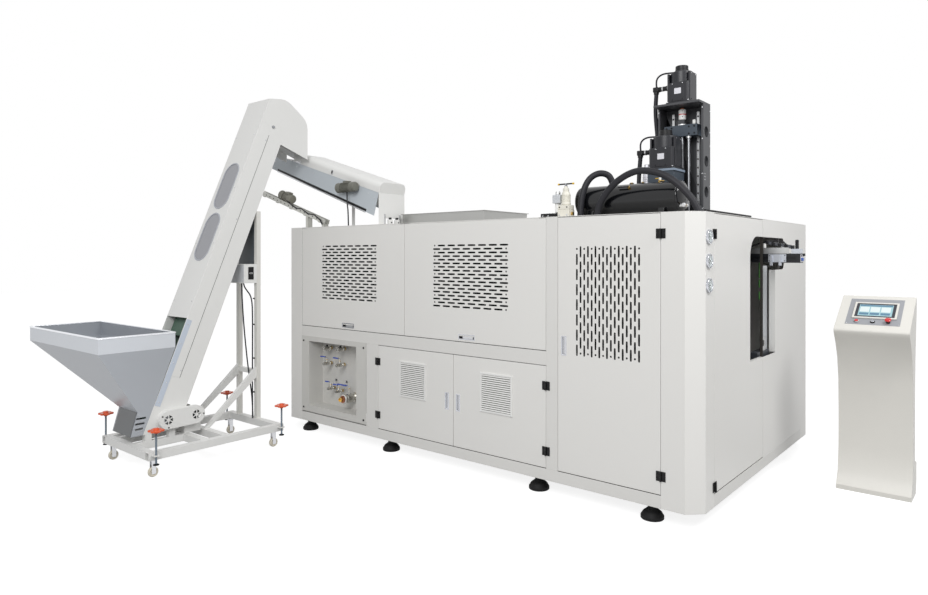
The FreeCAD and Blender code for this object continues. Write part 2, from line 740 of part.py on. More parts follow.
def door_hinges():
    """Fixed halves of the hinges, and the strips that the lift-up doors hang from."""
    solids = [hinge_half(LOWER_LEFT_AXIS, 1, z) for z in LOWER_HINGE_Z]
    solids += [hinge_half(LOWER_RIGHT_AXIS, -1, z) for z in LOWER_HINGE_Z]
    solids += [hinge_half(TALL_AXIS, -1, z) for z in TALL_HINGE_Z]
    solids += [to_end_face(hinge_half(END_AXIS_FRONT, 1, z)) for z in END_HINGE_Z]
    strip = (DOOR_TOP + HINGE_SEAT_GAP, ROOF_TOP - ROOF_SHEET)
    for a, b in ((UPPER_LEFT, UPPER_SPLIT), (UPPER_SPLIT, POST_LEFT)):
        solids.append(box((a + 60, b - 60), (1, DOOR_THICKNESS), strip))
    return solids


# ------------------------------------------------------------ valve box
def valve_box():
    """Recessed sheet box behind a screwed flange."""
    x0, x1, z0, z1 = VALVE_OPENING
    fx0, fx1, fz0, fz1 = VALVE_FLANGE
    t = DOOR_SHEET
    flange = box((fx0, fx1), (-VALVE_FLANGE_THICKNESS, 0), (fz0, fz1))
    body = box((x0 - t, x1 + t), (0, VALVE_BOX_DEPTH + t), (z0 - t, z1 + t))
    hollow = box((x0, x1), (-10, VALVE_BOX_DEPTH), (z0, z1))
    return [joined([flange, body]).cut(hollow)]


# valve: x, y, z, pipe radius, body half length, lever length, stem height over the body
SMALL_VALVES = ((-3420, 85, 640, 14, 40, 92, 26), (-3237, 85, 643, 14, 40, 92, 26),
                (-3366, 85, 418, 12, 34, 76, 26), (-3255, 85, 404, 12, 34, 76, 26))
LARGE_VALVE = (-3112, 88, 362, 33, 62, 165, 44)
UPPER_VALVES = ((-3420, 85, 780), (-3230, 85, 788))


def lever_seat(valve):
    """Height of a lever's underside."""
    return valve[2] + valve[3] * 1.5 + valve[6]


def valve_body(x, y, z, radius, half):
    """Ball valve along Y: hexagon ends, round body, and pipe into the back wall."""
    front, back = y - half, y + half
    hexagon = regular((x, z), radius * 1.35, 6)
    middle = rod((x, front + 12, z), (x, back - 12, z), radius * 1.2)
    solids = [prism_y(hexagon, front, front + 12), middle, prism_y(hexagon, back - 12, back)]
    solids.append(rod((x, back, z), (x, VALVE_BOX_DEPTH, z), radius * 0.8))
    return solids


def air_valves():
    """Valve bodies, stems, hose tails and pipes into the back wall."""
    solids = []
    for valve in SMALL_VALVES + (LARGE_VALVE,):
        x, y, z, radius, half = valve[:5]
        neck = box((x - 6, x + 6), (y - 6, y + 6), (z + radius, lever_seat(valve) - LEVER_SEAT_GAP))
        solids.append(joined(valve_body(x, y, z, radius, half) + [neck]))
    x, y, z, radius, half = LARGE_VALVE[:5]
    front = y - half
    solids.append(ring((x, front, z), (x, front - 10, z), radius * 1.2, radius * 0.5))
    solids.append(ring((x, front - 10, z), (x, front - 50, z), radius * 0.72, radius * 0.5))
    for x, y, z in UPPER_VALVES:
        solids.append(joined(valve_body(x, y, z, 17, 38)))
    for x in (-3364, -3218):
        solids.append(rod((x, VALVE_BOX_DEPTH - 24, 487), (x, VALVE_BOX_DEPTH, 487), 7))
    return solids


def valve_lever(valve):
    """Cranked flat lever, shown shut across the pipe, with its hub over the stem."""
    x, y, z, radius, _, length, _ = valve
    base = lever_seat(valve)
    half = 6 + radius * 0.12
    rise = 10
    profile = [(x + half, base), (x - half, base), (x - half - 8, base + rise),
               (x - length, base + rise)]
    return [prism_y(folded(profile, -LEVER_THICKNESS), y - half, y + half)]


# ------------------------------------------------------------ gauges
GAUGE_Y = 138
GAUGE_RADIUS = 44
GAUGE_DEPTH = 14
GAUGE_Z = (1457, 1603, 1749)


def pressure_gauges():
    """Three round gauges: a rimmed case with a dial let in."""
    solids = []
    for z in GAUGE_Z:
        profile = [(0, 0), (GAUGE_RADIUS, 0), (GAUGE_RADIUS, GAUGE_DEPTH),
                   (GAUGE_RADIUS - 7, GAUGE_DEPTH), (GAUGE_RADIUS - 7, 8), (0, 8)]
        solids.append(revolve(profile, (END_X, GAUGE_Y, z), V(1, 0, 0)))
    return solids


# ------------------------------------------------------------ oven
def oven_lid():
    """Stainless heat lid on the roof, a shallow box under a lipped top."""
    x0, x1, y0, y1 = LID_BOX
    lid = box((x0, x1), (y0, y1), (ROOF_TOP, ROOF_TOP + LID_HEIGHT))
    hollow = box((x0 + LID_SHEET, x1 - LID_SHEET), (y0 + LID_SHEET, y1 - LID_SHEET),
                 (ROOF_TOP, ROOF_TOP + LID_HEIGHT - LID_SHEET))
    lip = box((x0 - 12, x1 + 12), (y0 - 12, y1 + 12),
              (ROOF_TOP + LID_HEIGHT, ROOF_TOP + LID_HEIGHT + 5))
    return joined([lid.cut(hollow), lip])


def oven():
    """Heating tunnel: two reflector banks on a bench with legs, and the lid on the roof."""
    x, z = oven_span(), (OVEN_BENCH_Z, OVEN_BENCH_Z + 40)
    solids = [tray(x, (350, 950), z, (2, -1))]
    for y, side in ((400, 1), (780, -1)):
        solids.append(tray(x, (y, y + 120), (z[1], z[1] + 520), (1, side)))
    for leg in oven_legs():
        span = (leg, leg + RAIL_DEPTH)
        solids.append(channel_box(span, (625, 675), (BASE_TOP, z[1] - DOOR_SHEET), 2))
    return solids + [oven_lid()]


# ------------------------------------------------------------ air on the roof
def air_tank():
    """Air receiver with dished ends, on two saddles."""
    z = ROOF_TOP + TANK_SADDLE + TANK_RADIUS
    length = TANK_RIGHT - TANK_LEFT
    r, dish = TANK_RADIUS, TANK_DISH
    profile = [(0, 0), (0.62 * r, 0.16 * dish), (0.9 * r, 0.55 * dish), (r, dish),
               (r, length - dish), (0.9 * r, length - 0.55 * dish),
               (0.62 * r, length - 0.16 * dish), (0, length)]
    wall = TANK_WALL / r
    inner = [(p * (1 - wall), TANK_WALL + h * (1 - 2 * TANK_WALL / length)) for p, h in profile]
    shell = revolve(profile, (TANK_LEFT, TANK_Y, z), V(1, 0, 0))
    saddles = [box((x, x + 40), (TANK_Y - 80, TANK_Y + 80), (ROOF_TOP, z - 40))
               for x in (TANK_LEFT + 120, TANK_RIGHT - 160)]
    ports = [rod((-662, TANK_Y, z), (-662, TANK_Y, 2130), 20)]
    shell = joined([shell] + saddles + ports)
    return [shell.cut(revolve(inner, (TANK_LEFT, TANK_Y, z), V(1, 0, 0)))]


def air_regulator():
    """Air preparation unit: manifold, filter body, clear bowl, regulator and gauge block."""
    x, y = REGULATOR_X, REGULATOR_Y
    block = box((x - 45, x + 45), (y - 40, y + 40), (ROOF_TOP, ROOF_TOP + 90))
    body = rod((x, y, ROOF_TOP + 90), (x, y, 2085), 34)
    bonnet = rod((x, y, 2085), (x, y, HANDLE_Z - 16), 22)
    side = box((x - 92, x - 30), (y - 35, y + 35), (ROOF_TOP + 105, ROOF_TOP + 165))
    valve = box((x - 190, x - 45), (y - 35, y + 35), (ROOF_TOP, ROOF_TOP + 35))
    bowl = rod((x - 66, y, ROOF_TOP + 35), (x - 66, y, ROOF_TOP + 105), 20)
    head = rod((x - 66, y, ROOF_TOP + 165), (x - 66, y, ROOF_TOP + 190), 18)
    main = joined([block, body, bonnet, side, valve, bowl, head])
    base = ROOF_TOP + FOOT_PLATE
    height = FILTER_TOP - base
    filter_case = revolve([(0, 0), (FILTER_RADIUS, 0), (FILTER_RADIUS, height - 40),
                           (20, height - 20), (20, height), (0, height)], (FILTER_X, FILTER_Y, base))
    return [main, filter_case]


def regulator_handle():
    """T-bar on the regulator's adjusting screw."""
    x, y = REGULATOR_X, REGULATOR_Y
    bar = rod((x - HANDLE_SPAN / 2, y, HANDLE_Z), (x + HANDLE_SPAN / 2, y, HANDLE_Z), HANDLE_RADIUS)
    hub = rod((x, y, HANDLE_Z - 16 + LEVER_SEAT_GAP), (x, y, HANDLE_Z + 5), 10)
    return [joined([bar, hub])]


LONG_HOSE = ((-699, 212, 1900), (-690, 208, 1960), (-646, 205, 2035), (-587, 202, 2098),
             (-521, 200, 2145), (-449, 200, 2178), (-379, 200, 2191), (-290, 201, 2178),
             (-203, 202, 2144), (-125, 204, 2085), (-62, 207, 2020), (-15, 211, 1955),
             (8, 214, 1900))
SHORT_HOSE = ((-841, 235, 1900), (-839, 237, 1975), (-832, 243, 2050), (-815, 256, 2123),
              (-786, 278, 2181), (-743, 311, 2211), (-700, 343, 2207), (-672, 364, 2178),
              (-662, 372, 2130))


def air_hoses():
    """Two rubber air hoses: one loops over the receiver, one drops onto its port."""
    return [cord(LONG_HOSE, HOSE_RADIUS, "long hose"),
            cord(SHORT_HOSE, HOSE_RADIUS, "short hose")]


# ------------------------------------------------------------ servo column
SCREW_FOOT = ROOF_TOP + FOOT_PLATE + 2
SCREW_BLOCK_Y = COLUMN_BACK - COLUMN_PLATE
UPPER_BLOCK_Z = CARRIAGE_BASE + CARRIAGE_HEIGHT + 6
COUPLING_Z = (UPPER_BLOCK_Z + BEARING_BLOCK_HEIGHT + 4, COLUMN_TOP - 4)
ROD_Y = COLUMN_FRONT + 25
SECOND_ROD_X = ROD_X - 2 * CAVITY_PITCH


def servo_column():
    """Welded C-shaped column with its plates, rails, screw bearings and lower motor stand."""
    x, t = (COLUMN_LEFT, COLUMN_RIGHT), COLUMN_PLATE
    base = ROOF_TOP + FOOT_PLATE
    holes = [box((rx - 25, rx + 25), (ROD_Y - 18, ROD_Y + 18), (ROOF_TOP - 1, base + 1))
             for rx in (ROD_X, SECOND_ROD_X)]
    screw_hole = rod((SCREW_X, SCREW_Y, base - 1), (SCREW_X, SCREW_Y, COLUMN_TOP),
                     SCREW_RADIUS + SCREW_RUNNING_GAP)
    foot = box((x[0] - 72, x[1] + 40), (COLUMN_FRONT - 200, COLUMN_BACK + 30), (ROOF_TOP, base))
    right = box((x[1] - t, x[1]), (COLUMN_FRONT, COLUMN_BACK - t), (base, COLUMN_TOP))
    middle = (COLUMN_FRONT + COLUMN_BACK - t) / 2
    for z in COLUMN_HOLE_Z:
        right = right.cut(rod((x[1] - t - 5, middle, z), (x[1] + 5, middle, z), COLUMN_HOLE))
    top = box(x, (TOP_PLATE_FRONT, COLUMN_BACK), (COLUMN_TOP, COLUMN_TOP + t))
    solids = [foot.cut(Part.makeCompound(holes)),
              box(x, (COLUMN_BACK - t, COLUMN_BACK), (base, COLUMN_TOP)),
              box((x[0], x[0] + t), (COLUMN_FRONT, COLUMN_BACK - t), (base, COLUMN_TOP)),
              right, top]
    for z in (base, UPPER_BLOCK_Z):
        block = box((SCREW_X - 24, SCREW_X + 24), (SCREW_Y - 24, SCREW_BLOCK_Y),
                    (z, z + BEARING_BLOCK_HEIGHT))
        solids.append(block.cut(screw_hole))
    for side in (-1, 1):
        centre = SCREW_X + side * RAIL_OFFSET
        solids.append(box((centre - RAIL_SIZE / 2, centre + RAIL_SIZE / 2),
                          (SCREW_BLOCK_Y - RAIL_SIZE, SCREW_BLOCK_Y), (base + 20, COLUMN_TOP - 30)))
    half = LOWER_MOTOR[0] / 2
    mx, my = LOWER_MOTOR_X, LOWER_MOTOR_Y
    stand = channel_box((mx - half, mx + half), (my - half, my + half),
                        (base, LOWER_MOTOR_BASE - STAND_PLATE), 2)
    plate = box((mx - half - 2, mx + half + 8), (my - half - 6, COLUMN_FRONT - 8),
                (LOWER_MOTOR_BASE - STAND_PLATE, LOWER_MOTOR_BASE))
    return solids + [stand, plate]


def ball_screw():
    """Ball screw with the coupling to the upper motor."""
    low, high = COUPLING_Z
    profile = [(0, 0), (SCREW_RADIUS, 0), (SCREW_RADIUS, low - SCREW_FOOT),
               (COUPLING_RADIUS, low - SCREW_FOOT), (COUPLING_RADIUS, high - SCREW_FOOT),
               (0, high - SCREW_FOOT)]
    return [revolve(profile, (SCREW_X, SCREW_Y, SCREW_FOOT))]


def stretch_carriage():
    """Carriage block on the rails with its nut bore, and the stretch rods it carries."""
    z = (CARRIAGE_BASE, CARRIAGE_BASE + CARRIAGE_HEIGHT)
    back = SCREW_BLOCK_Y - RAIL_SIZE - HINGE_SEAT_GAP
    half = CARRIAGE_WIDTH / 2
    block = box((SCREW_X - half, SCREW_X + half), (CARRIAGE_FRONT, back), z)
    nut = rod((SCREW_X, SCREW_Y, z[0] - 1), (SCREW_X, SCREW_Y, z[1] + 1),
              SCREW_RADIUS + NUT_CLEARANCE)
    rods = [rod((x, ROD_Y, z[0] - ROD_LENGTH), (x, ROD_Y, z[0]), ROD_RADIUS)
            for x in (ROD_X, SECOND_ROD_X)]
    return [joined([block.cut(nut)] + rods)]


def servo_motor(x, y, base, kind):
    """Square servo motor: flange, bevelled body, cap and elbow connector."""
    half, bevel, height = kind[0] / 2, 16, kind[1]
    flange = box((x - half, x + half), (y - half, y + half), (base, base + 14))
    outline = [(x - half + 4, y - half + bevel), (x - half + bevel, y - half + 4),
               (x + half - bevel, y - half + 4), (x + half - 4, y - half + bevel),
               (x + half - 4, y + half - bevel), (x + half - bevel, y + half - 4),
               (x - half + bevel, y + half - 4), (x - half + 4, y + half - bevel)]
    body = prism_z(outline, base + 14, base + height)
    cap = rod((x, y, base + height), (x, y, base + height + MOTOR_CAP_HEIGHT), MOTOR_CAP_RADIUS)
    elbow_z = base + CONNECTOR_Z
    arm = box((x - CABLE_EXIT - 20, x - half + 4), (y - 18, y + 18),
              (elbow_z - 18, elbow_z + 18))
    drop = box((x - CABLE_EXIT - 20, x - CABLE_EXIT + 20), (y - 20, y + 20),
               (elbow_z - 32, elbow_z - 18))
    return joined([flange, body, cap, arm, drop])


CONNECTOR_Z = 135          # connector height above the motor's flange
CABLE_EXIT = 189           # cable, from the motor's axis
CONDUIT_RADIUS = 15
ENCODER_RADIUS = 6


def servo_motors():
    """The two servo motors."""
    return [servo_motor(SCREW_X, SCREW_Y - 8, COLUMN_TOP + COLUMN_PLATE, UPPER_MOTOR),
            servo_motor(LOWER_MOTOR_X, LOWER_MOTOR_Y, LOWER_MOTOR_BASE, LOWER_MOTOR)]


UPPER_CONDUIT = ((-502, 730, 2798), (-508, 731, 2730), (-511, 736, 2655), (-508, 744, 2575),
                 (-503, 753, 2480), (-500, 760, 2370), (-502, 764, 2240), (-504, 762, 2100),
                 (-501, 758, 1990), (-500, 757, 1915))
LOWER_CONDUIT = ((-564, 600, 2333), (-569, 600, 2280), (-573, 598, 2215), (-575, 596, 2140),
                 (-573, 594, 2060), (-568, 593, 1980), (-565, 592, 1900))
UPPER_ENCODER = ((-359, 730, 2932), (-405, 730, 2936), (-455, 730, 2938), (-492, 730, 2920),
                 (-505, 730, 2886), (-500, 730, 2848))
LOWER_ENCODER = ((-421, 600, 2467), (-467, 600, 2471), (-517, 600, 2472), (-554, 600, 2454),
                 (-567, 600, 2420), (-562, 600, 2383))


def motor_cables():
    """Conduits and encoder leads of the two servo motors."""
    return [cord(UPPER_CONDUIT, CONDUIT_RADIUS, "upper conduit"),
            cord(LOWER_CONDUIT, CONDUIT_RADIUS, "lower conduit"),
            cord(UPPER_ENCODER, ENCODER_RADIUS, "upper encoder lead"),
            cord(LOWER_ENCODER, ENCODER_RADIUS, "lower encoder lead")]


# ------------------------------------------------------------ clamp
CLAMP_X = ROD_X - (CAVITIES - 1) / 2 * CAVITY_PITCH
CLAMP_Y = ROD_Y
MOULD_FACE = MOULD_STROKE + MOULD_CLOSED_GAP / 2
BED_TOP = CLAMP_BASE_Z + CLAMP_BED_HEIGHT


def clamp_frame():
    """Clamp bed on legs, two platens, four tie bars and the mould slide rails."""
    x = (CLAMP_X - CLAMP_LENGTH / 2, CLAMP_X + CLAMP_LENGTH / 2)
    y = (CLAMP_Y - PLATEN_OUTER, CLAMP_Y + PLATEN_OUTER)
    solids = [box(x, y, (CLAMP_BASE_Z, BED_TOP))]
    bar_x = (x[0] + 45, x[1] - 45)
    bar_z = (BED_TOP + 60, BED_TOP + PLATEN_HEIGHT - 60)
    holes = [rod((bx, y[0] - 5, bz), (bx, y[1] + 5, bz), TIE_BAR_RADIUS)
             for bx in bar_x for bz in bar_z]
    for start in (y[0], y[1] - PLATEN_THICKNESS):
        platen = box(x, (start, start + PLATEN_THICKNESS), (BED_TOP, BED_TOP + PLATEN_HEIGHT))
        for hole in holes:
            platen = platen.cut(hole)
        solids.append(platen)
    solids += holes
    for px in (x[0], x[1] - 80):
        for py in (y[0] + 10, y[1] - 90):
            solids.append(channel_box((px, px + 80), (py, py + 80), (BASE_TOP, CLAMP_BASE_Z), 2))
    runner = [(x[0] + 30, x[1] - 30), (y[0] + PLATEN_THICKNESS, y[1] - PLATEN_THICKNESS)]
    shelf_top = MOULD_BASE_Z - SLIDE_RAIL_SIZE
    solids.append(box(runner[0], runner[1], (BED_TOP, BED_TOP + 30)))
    for cx in (CLAMP_X - 150, CLAMP_X + 150):
        solids.append(box((cx - 20, cx + 20), runner[1], (BED_TOP + 30, shelf_top)))
        solids.append(box((cx - SLIDE_RAIL_SIZE / 2, cx + SLIDE_RAIL_SIZE / 2), runner[1],
                          (shelf_top, MOULD_BASE_Z - HINGE_SEAT_GAP)))
    for py in (y[0] + 10, y[1] - 70):
        solids.append(channel_box((x[0] + 80, x[1] - 80), (py, py + 60), (BASE_TOP, BASE_TOP + 60), 0))
    return solids


def mould(side):
    """Mould half with its row of half-round bottle cavities; side is -1 in front, +1 behind."""
    inner = CLAMP_Y + side * MOULD_FACE
    y = sorted((inner, inner + side * MOULD_THICKNESS))
    top = MOULD_BASE_Z + MOULD_HEIGHT
    block = box((CLAMP_X - MOULD_LENGTH / 2, CLAMP_X + MOULD_LENGTH / 2), y, (MOULD_BASE_Z, top))
    for i in range(CAVITIES):
        x = CLAMP_X + (i - (CAVITIES - 1) / 2) * CAVITY_PITCH
        body = rod((x, inner, MOULD_BASE_Z + 40), (x, inner, MOULD_BASE_Z + 40 + CAVITY_DEPTH),
                   CAVITY_RADIUS)
        neck = rod((x, inner, MOULD_BASE_Z + 40), (x, inner, top + 1), CAVITY_RADIUS / 2)
        block = block.cut(joined([body, neck]))
    return [block]


def front_mould():
    """Mould half nearer the front door."""
    return mould(-1)


def rear_mould():
    """Mould half nearer the back."""
    return mould(1)


# ------------------------------------------------------------ outfeed
def outfeed_beam():
    """Linear module through the end window: body, cover plate, end block and hangers."""
    y, z = BEAM_Y, BEAM_Z
    body = box((BEAM_LEFT, BEAM_RIGHT), y, z)
    groove = box((BEAM_LEFT + 30, BEAM_RIGHT - 30), (y[0] - 1, y[0] + 12), (z[0] + 22, z[1] - 22))
    cover = box((BEAM_LEFT, BEAM_RIGHT - 70), (y[0] + 5, y[1] + 55), (z[1], z[1] + 4))
    block = box((BEAM_RIGHT - 60, BEAM_RIGHT), (y[0] + 8, y[1] - 8), (z[1], z[1] + 34))
    silencer = rod((BEAM_RIGHT - 30, (y[0] + y[1]) / 2, z[1] + 34),
                   (BEAM_RIGHT - 30, (y[0] + y[1]) / 2, z[1] + 98), 11)
    hangers = [channel_box((x, x + 50), (y[0] + 15, y[0] + 65), (z[1] + 4, ROOF_TOP - ROOF_SHEET), 2)
               for x in (BEAM_LEFT + 60, -120)]
    guide = box((END_X + 4, BEAM_RIGHT - 90), (y[1] + 6, y[1] + 16), (z[1] - 18, z[1]))
    return [body.cut(groove), cover, block, silencer, guide] + hangers


def outfeed_carriage():
    """Carriage on the module's front with the bottle gripper fingers."""
    y = BEAM_Y[0]
    x = (BEAM_RIGHT - 90 - OUTFEED_CARRIAGE_LENGTH, BEAM_RIGHT - 90)
    front = y - HINGE_SEAT_GAP
    plate = box(x, (front - 12, front), (BEAM_Z[0] + 4, BEAM_Z[1] - 4))
    fingers = [box((x[0] + 15 + i * 60, x[0] + 31 + i * 60), (front - 30, front - 12),
                   (BEAM_Z[0] - 20, BEAM_Z[1] - 12)) for i in range(2)]
    return [joined([plate] + fingers)]


# ------------------------------------------------------------ elevator
ALONG = (math.cos(math.radians(INCLINE)), math.sin(math.radians(INCLINE)))
ACROSS = (ALONG[1], -ALONG[0])
CASING_LEFT = CASING_RIGHT - CASING_WIDTH


def casing_point(along, across):
    """(y, z) of a point given along the slope from the lower roller and square to it."""
    y = BOOT_AXIS[0] + along * ALONG[0] + across * ACROSS[0]
    z = BOOT_AXIS[1] + along * ALONG[1] + across * ACROSS[1]
    return y, z


def casing_height(z, across):
    """(y, z) on a line parallel to the slope at a given height."""
    along = (z - BOOT_AXIS[1] - across * ACROSS[1]) / ALONG[1]
    return casing_point(along, across)


FRONT_FACE = -CASING_THICKNESS / 2
BACK_FACE = CASING_THICKNESS / 2


def casing_outline():
    """Corners of the casing's side: foot, front top, rounded hood, chute lip and back."""
    hood = [casing_height(HOOD_TOP - 25, FRONT_FACE), (HOOD_BEND_Y, HOOD_TOP),
            (HOOD_END_Y, HOOD_SHOULDER_Z), (HOOD_END_Y, CHUTE_Z)]
    return ([casing_height(CASING_FOOT_Z, FRONT_FACE)] + blunted(hood, HOOD_REACH)
            + [casing_height(CHUTE_BACK_Z, BACK_FACE), casing_height(CASING_FOOT_Z, BACK_FACE)])


def elevator_casing():
    """Casing of separate bolted sheets: two sides, front cover, hood, back and foot."""
    outline = casing_outline()
    t = CASING_SHEET
    x = (CASING_LEFT, CASING_RIGHT)
    solids = []
    for span in ((x[0], x[0] + t), (x[1] - t, x[1])):
        side = prism_x(outline, *span)
        for point in (casing_point(0, 0), casing_point(BELT_CENTRES, 0)):
            bore = rod((span[0] - 1, *point), (span[1] + 1, *point), SHAFT_RADIUS + SHAFT_RUNNING_GAP)
            side = side.cut(bore)
        solids.append(side)
    inside = (x[0] + t, x[1] - t)
    front_low = casing_height(COVER_START_Z, FRONT_FACE)
    cover = prism_x(folded([outline[1], front_low], t), *inside)
    for z in WINDOW_HEIGHTS:
        cover = cover.cut(window_slot(z, WINDOW_WIDTH, WINDOW_LENGTH))
    hood = prism_x(folded(outline[-3:0:-1], t), *inside)
    mouth = (inside[0], inside[0] + TONGUE_WIDTH)
    hood = hood.cut(box((mouth[0], mouth[1]), (HOOD_END_Y - 5, HOOD_END_Y + 5),
                        (CHUTE_Z - 1, TONGUE_LINE[0][1])))
    back = prism_x(folded([outline[-1], outline[-2]], t), *inside)
    foot_front = (outline[0][0] + t, outline[0][1])
    foot = prism_x(folded([foot_front, outline[-1]], t), *inside)
    return solids + [cover.cut(hood), hood, chute_tongue(mouth), back, foot.cut(back)]


def chute_tongue(x):
    """Sloping tongue with raised edges that carries the preforms over the trough's side."""
    t = CASING_SHEET
    floor = prism_x(folded(TONGUE_LINE, -t), *x)
    lip = [(y, z + h) for h in (0, TONGUE_LIP) for y, z in (TONGUE_LINE[::-1] if h else TONGUE_LINE)]
    return joined([floor, prism_x(lip, x[1] - t, x[1]), prism_x(lip, x[0], x[0] + t)])


def window_slot(z, width, length, depth=12):
    """Obround block square to the casing's front cover, centred on it at height z."""
    middle = (CASING_LEFT + CASING_RIGHT) / 2
    centre = casing_height(z, FRONT_FACE)
    half = (length - width) / 2
    shape = box((middle - width / 2, middle + width / 2), (-depth, depth), (-half, half))
    for end in (-half, half):
        shape = shape.fuse(rod((middle, -depth, end), (middle, depth, end), width / 2))
    shape = tilted(shape.removeSplitter(), (0, 0, 0), V(1, 0, 0), INCLINE - 90)
    return shape.translated(V(0, *centre))


def elevator_windows():
    """Two clear panes set in the front cover's obround openings."""
    panes = []
    for z in WINDOW_HEIGHTS:
        pane = window_slot(z, WINDOW_WIDTH - 0.6, WINDOW_LENGTH - 0.6)
        slab = prism_x(folded([casing_height(HOOD_TOP, FRONT_FACE),
                               casing_height(COVER_START_Z, FRONT_FACE)], CASING_SHEET),
                       CASING_LEFT, CASING_RIGHT)
        panes.append(pane.common(slab))
    return panes


def elevator_belt():
    """Endless cleated belt round the two rollers."""
    x = (CASING_LEFT + 20, CASING_RIGHT - 20)
    inner = PULLEY_RADIUS + RUNNING_GAP
    outer = inner + BELT_THICKNESS
    low, high = casing_point(0, 0), casing_point(BELT_CENTRES, 0)
    layers = []
    for radius in (outer, inner):
        corners = [casing_point(s, n) for s, n in ((0, -radius), (BELT_CENTRES, -radius),
                                                   (BELT_CENTRES, radius), (0, radius))]
        layers.append(joined([prism_x(corners, *x), rod((x[0], *low), (x[1], *low), radius),
                              rod((x[0], *high), (x[1], *high), radius)]))
    belt = layers[0].cut(layers[1])
    cleats = []
    for i in range(int(BELT_CENTRES // CLEAT_PITCH)):
        s = CLEAT_PITCH * (i + 0.5)
        for side in (-1, 1):
            foot, tip = outer * side, (outer + CLEAT_HEIGHT) * side
            cleats.append(prism_x([casing_point(s, foot - side), casing_point(s + 8, foot - side),
                                   casing_point(s + 8, tip), casing_point(s, tip)], *x))
    return [joined([belt] + cleats)]


def belt_roller(s, right_end):
    """Roller with its shaft, centred on the casing's slope line."""
    y, z = casing_point(s, 0)
    drum = rod((CASING_LEFT + 15, y, z), (CASING_RIGHT - 15, y, z), PULLEY_RADIUS)
    shaft = rod((CASING_LEFT - 12, y, z), (right_end, y, z), SHAFT_RADIUS)
    return joined([drum, shaft])


def drive_roller():
    """Lower roller, driven through the guarded chain."""
    y, z = casing_point(0, 0)
    sprocket = rod((CASING_RIGHT + 12, y, z), (CASING_RIGHT + 20, y, z), SPROCKET_RADIUS)
    return [joined([belt_roller(0, CASING_RIGHT + 24), sprocket])]


def head_roller():
    """Upper roller in the hood."""
    return [belt_roller(BELT_CENTRES, CASING_RIGHT + 12)]


def drive_guard():
    """Chain guard: an obround cup over both sprockets with two spoked vents."""
    low = casing_point(0, 0)
    high = drive_motor_axis()
    x = (CASING_RIGHT + HINGE_SEAT_GAP, CASING_RIGHT + GUARD_DEPTH)
    lean = direction(low, high)

    def stadium(radius, span):
        side = (-lean[1] * radius, lean[0] * radius)
        corners = [(low[0] - side[0], low[1] - side[1]), (high[0] - side[0], high[1] - side[1]),
                   (high[0] + side[0], high[1] + side[1]), (low[0] + side[0], low[1] + side[1])]
        ends = [rod((span[0], *p), (span[1], *p), radius) for p in (low, high)]
        return joined([prism_x(corners, *span)] + ends)

    shell = stadium(GUARD_RADIUS, x).cut(stadium(GUARD_RADIUS - 3, (x[0] - 1, x[1] - 3)))
    for centre in (low, high):
        for i in range(6):
            a = math.radians(60 * i)
            points = [(centre[0] + r * math.cos(a + w), centre[1] + r * math.sin(a + w))
                      for r, w in ((14, -0.3), (38, -0.4), (38, 0.4), (14, 0.3))]
            shell = shell.cut(prism_x(points, x[1] - 5, x[1] + 5))
    return [shell]


# ------------------------------------------------------------ hopper
def corners_of(x, y, z):
    """Corners of a level rectangle, in order."""
    return [V(x[0], y[0], z), V(x[1], y[0], z), V(x[1], y[1], z), V(x[0], y[1], z)]


def walls(low, high, thickness):
    """Four mitred plates between two level rectangles given as (x, y, z) spans."""
    outer = [corners_of(*low), corners_of(*high)]
    inner = [corners_of((s[0][0] + thickness, s[0][1] - thickness),
                        (s[1][0] + thickness, s[1][1] - thickness), s[2]) for s in (low, high)]
    plates = []
    for i in range(4):
        j = (i + 1) % 4
        rings = [Part.makePolygon([outer[k][i], outer[k][j], inner[k][j], inner[k][i], outer[k][i]])
                 for k in (0, 1)]
        plates.append(Part.makeLoft(rings, True, True))
    return plates


def preform_hopper():
    """Stainless hopper: upright band, sloping plates to the throat, and the boot below."""
    rim = ((HOPPER_LEFT, HOPPER_RIGHT), (HOPPER_NEAR, HOPPER_FAR), HOPPER_RIM)
    band = (rim[0], rim[1], HOPPER_RIM - HOPPER_BAND)
    throat_far = casing_height(THROAT_Z, FRONT_FACE)[0] - HINGE_SEAT_GAP
    throat = ((THROAT_LEFT, HOPPER_RIGHT), (THROAT_NEAR, throat_far), THROAT_Z)
    solids = walls(band, rim, HOPPER_SHEET) + walls(throat, band, HOPPER_SHEET)
    t = HOPPER_SHEET
    foot_y = casing_height(CASING_FOOT_Z, FRONT_FACE)[0] - HINGE_SEAT_GAP
    side = [(THROAT_NEAR, THROAT_Z), (foot_y - 90, CASING_FOOT_Z), (foot_y, CASING_FOOT_Z),
            (throat_far, THROAT_Z)]
    right = prism_x(side, HOPPER_RIGHT - t, HOPPER_RIGHT)
    for i in range(3):
        z = CASING_FOOT_Z + 45 + 40 * i
        right = right.cut(box((HOPPER_RIGHT - t - 1, HOPPER_RIGHT + 1),
                              (foot_y - 60, foot_y + 12 * i), (z, z + 14)))
    solids += [prism_x(side, THROAT_LEFT, THROAT_LEFT + t), right]
    boot = prism_x(folded([side[0], side[1]], t), THROAT_LEFT + t, HOPPER_RIGHT - t)
    return solids + [boot.cut(Part.makeCompound(solids))]


# ------------------------------------------------------------ cart
def cart_corners():
    """Castor centres under the cart's corners."""
    inset = 60
    return [(x, y) for x in (CART_LEFT + inset, CART_RIGHT - inset)
            for y in (CART_NEAR + inset, CART_FAR - inset)]


def jack_places():
    """Jack screws outside the cart's four corners."""
    return [(x, y) for x in (CART_LEFT - JACK_REACH / 2, CART_RIGHT + JACK_REACH / 2)
            for y in (CART_NEAR + 40, CART_FAR - 40)]


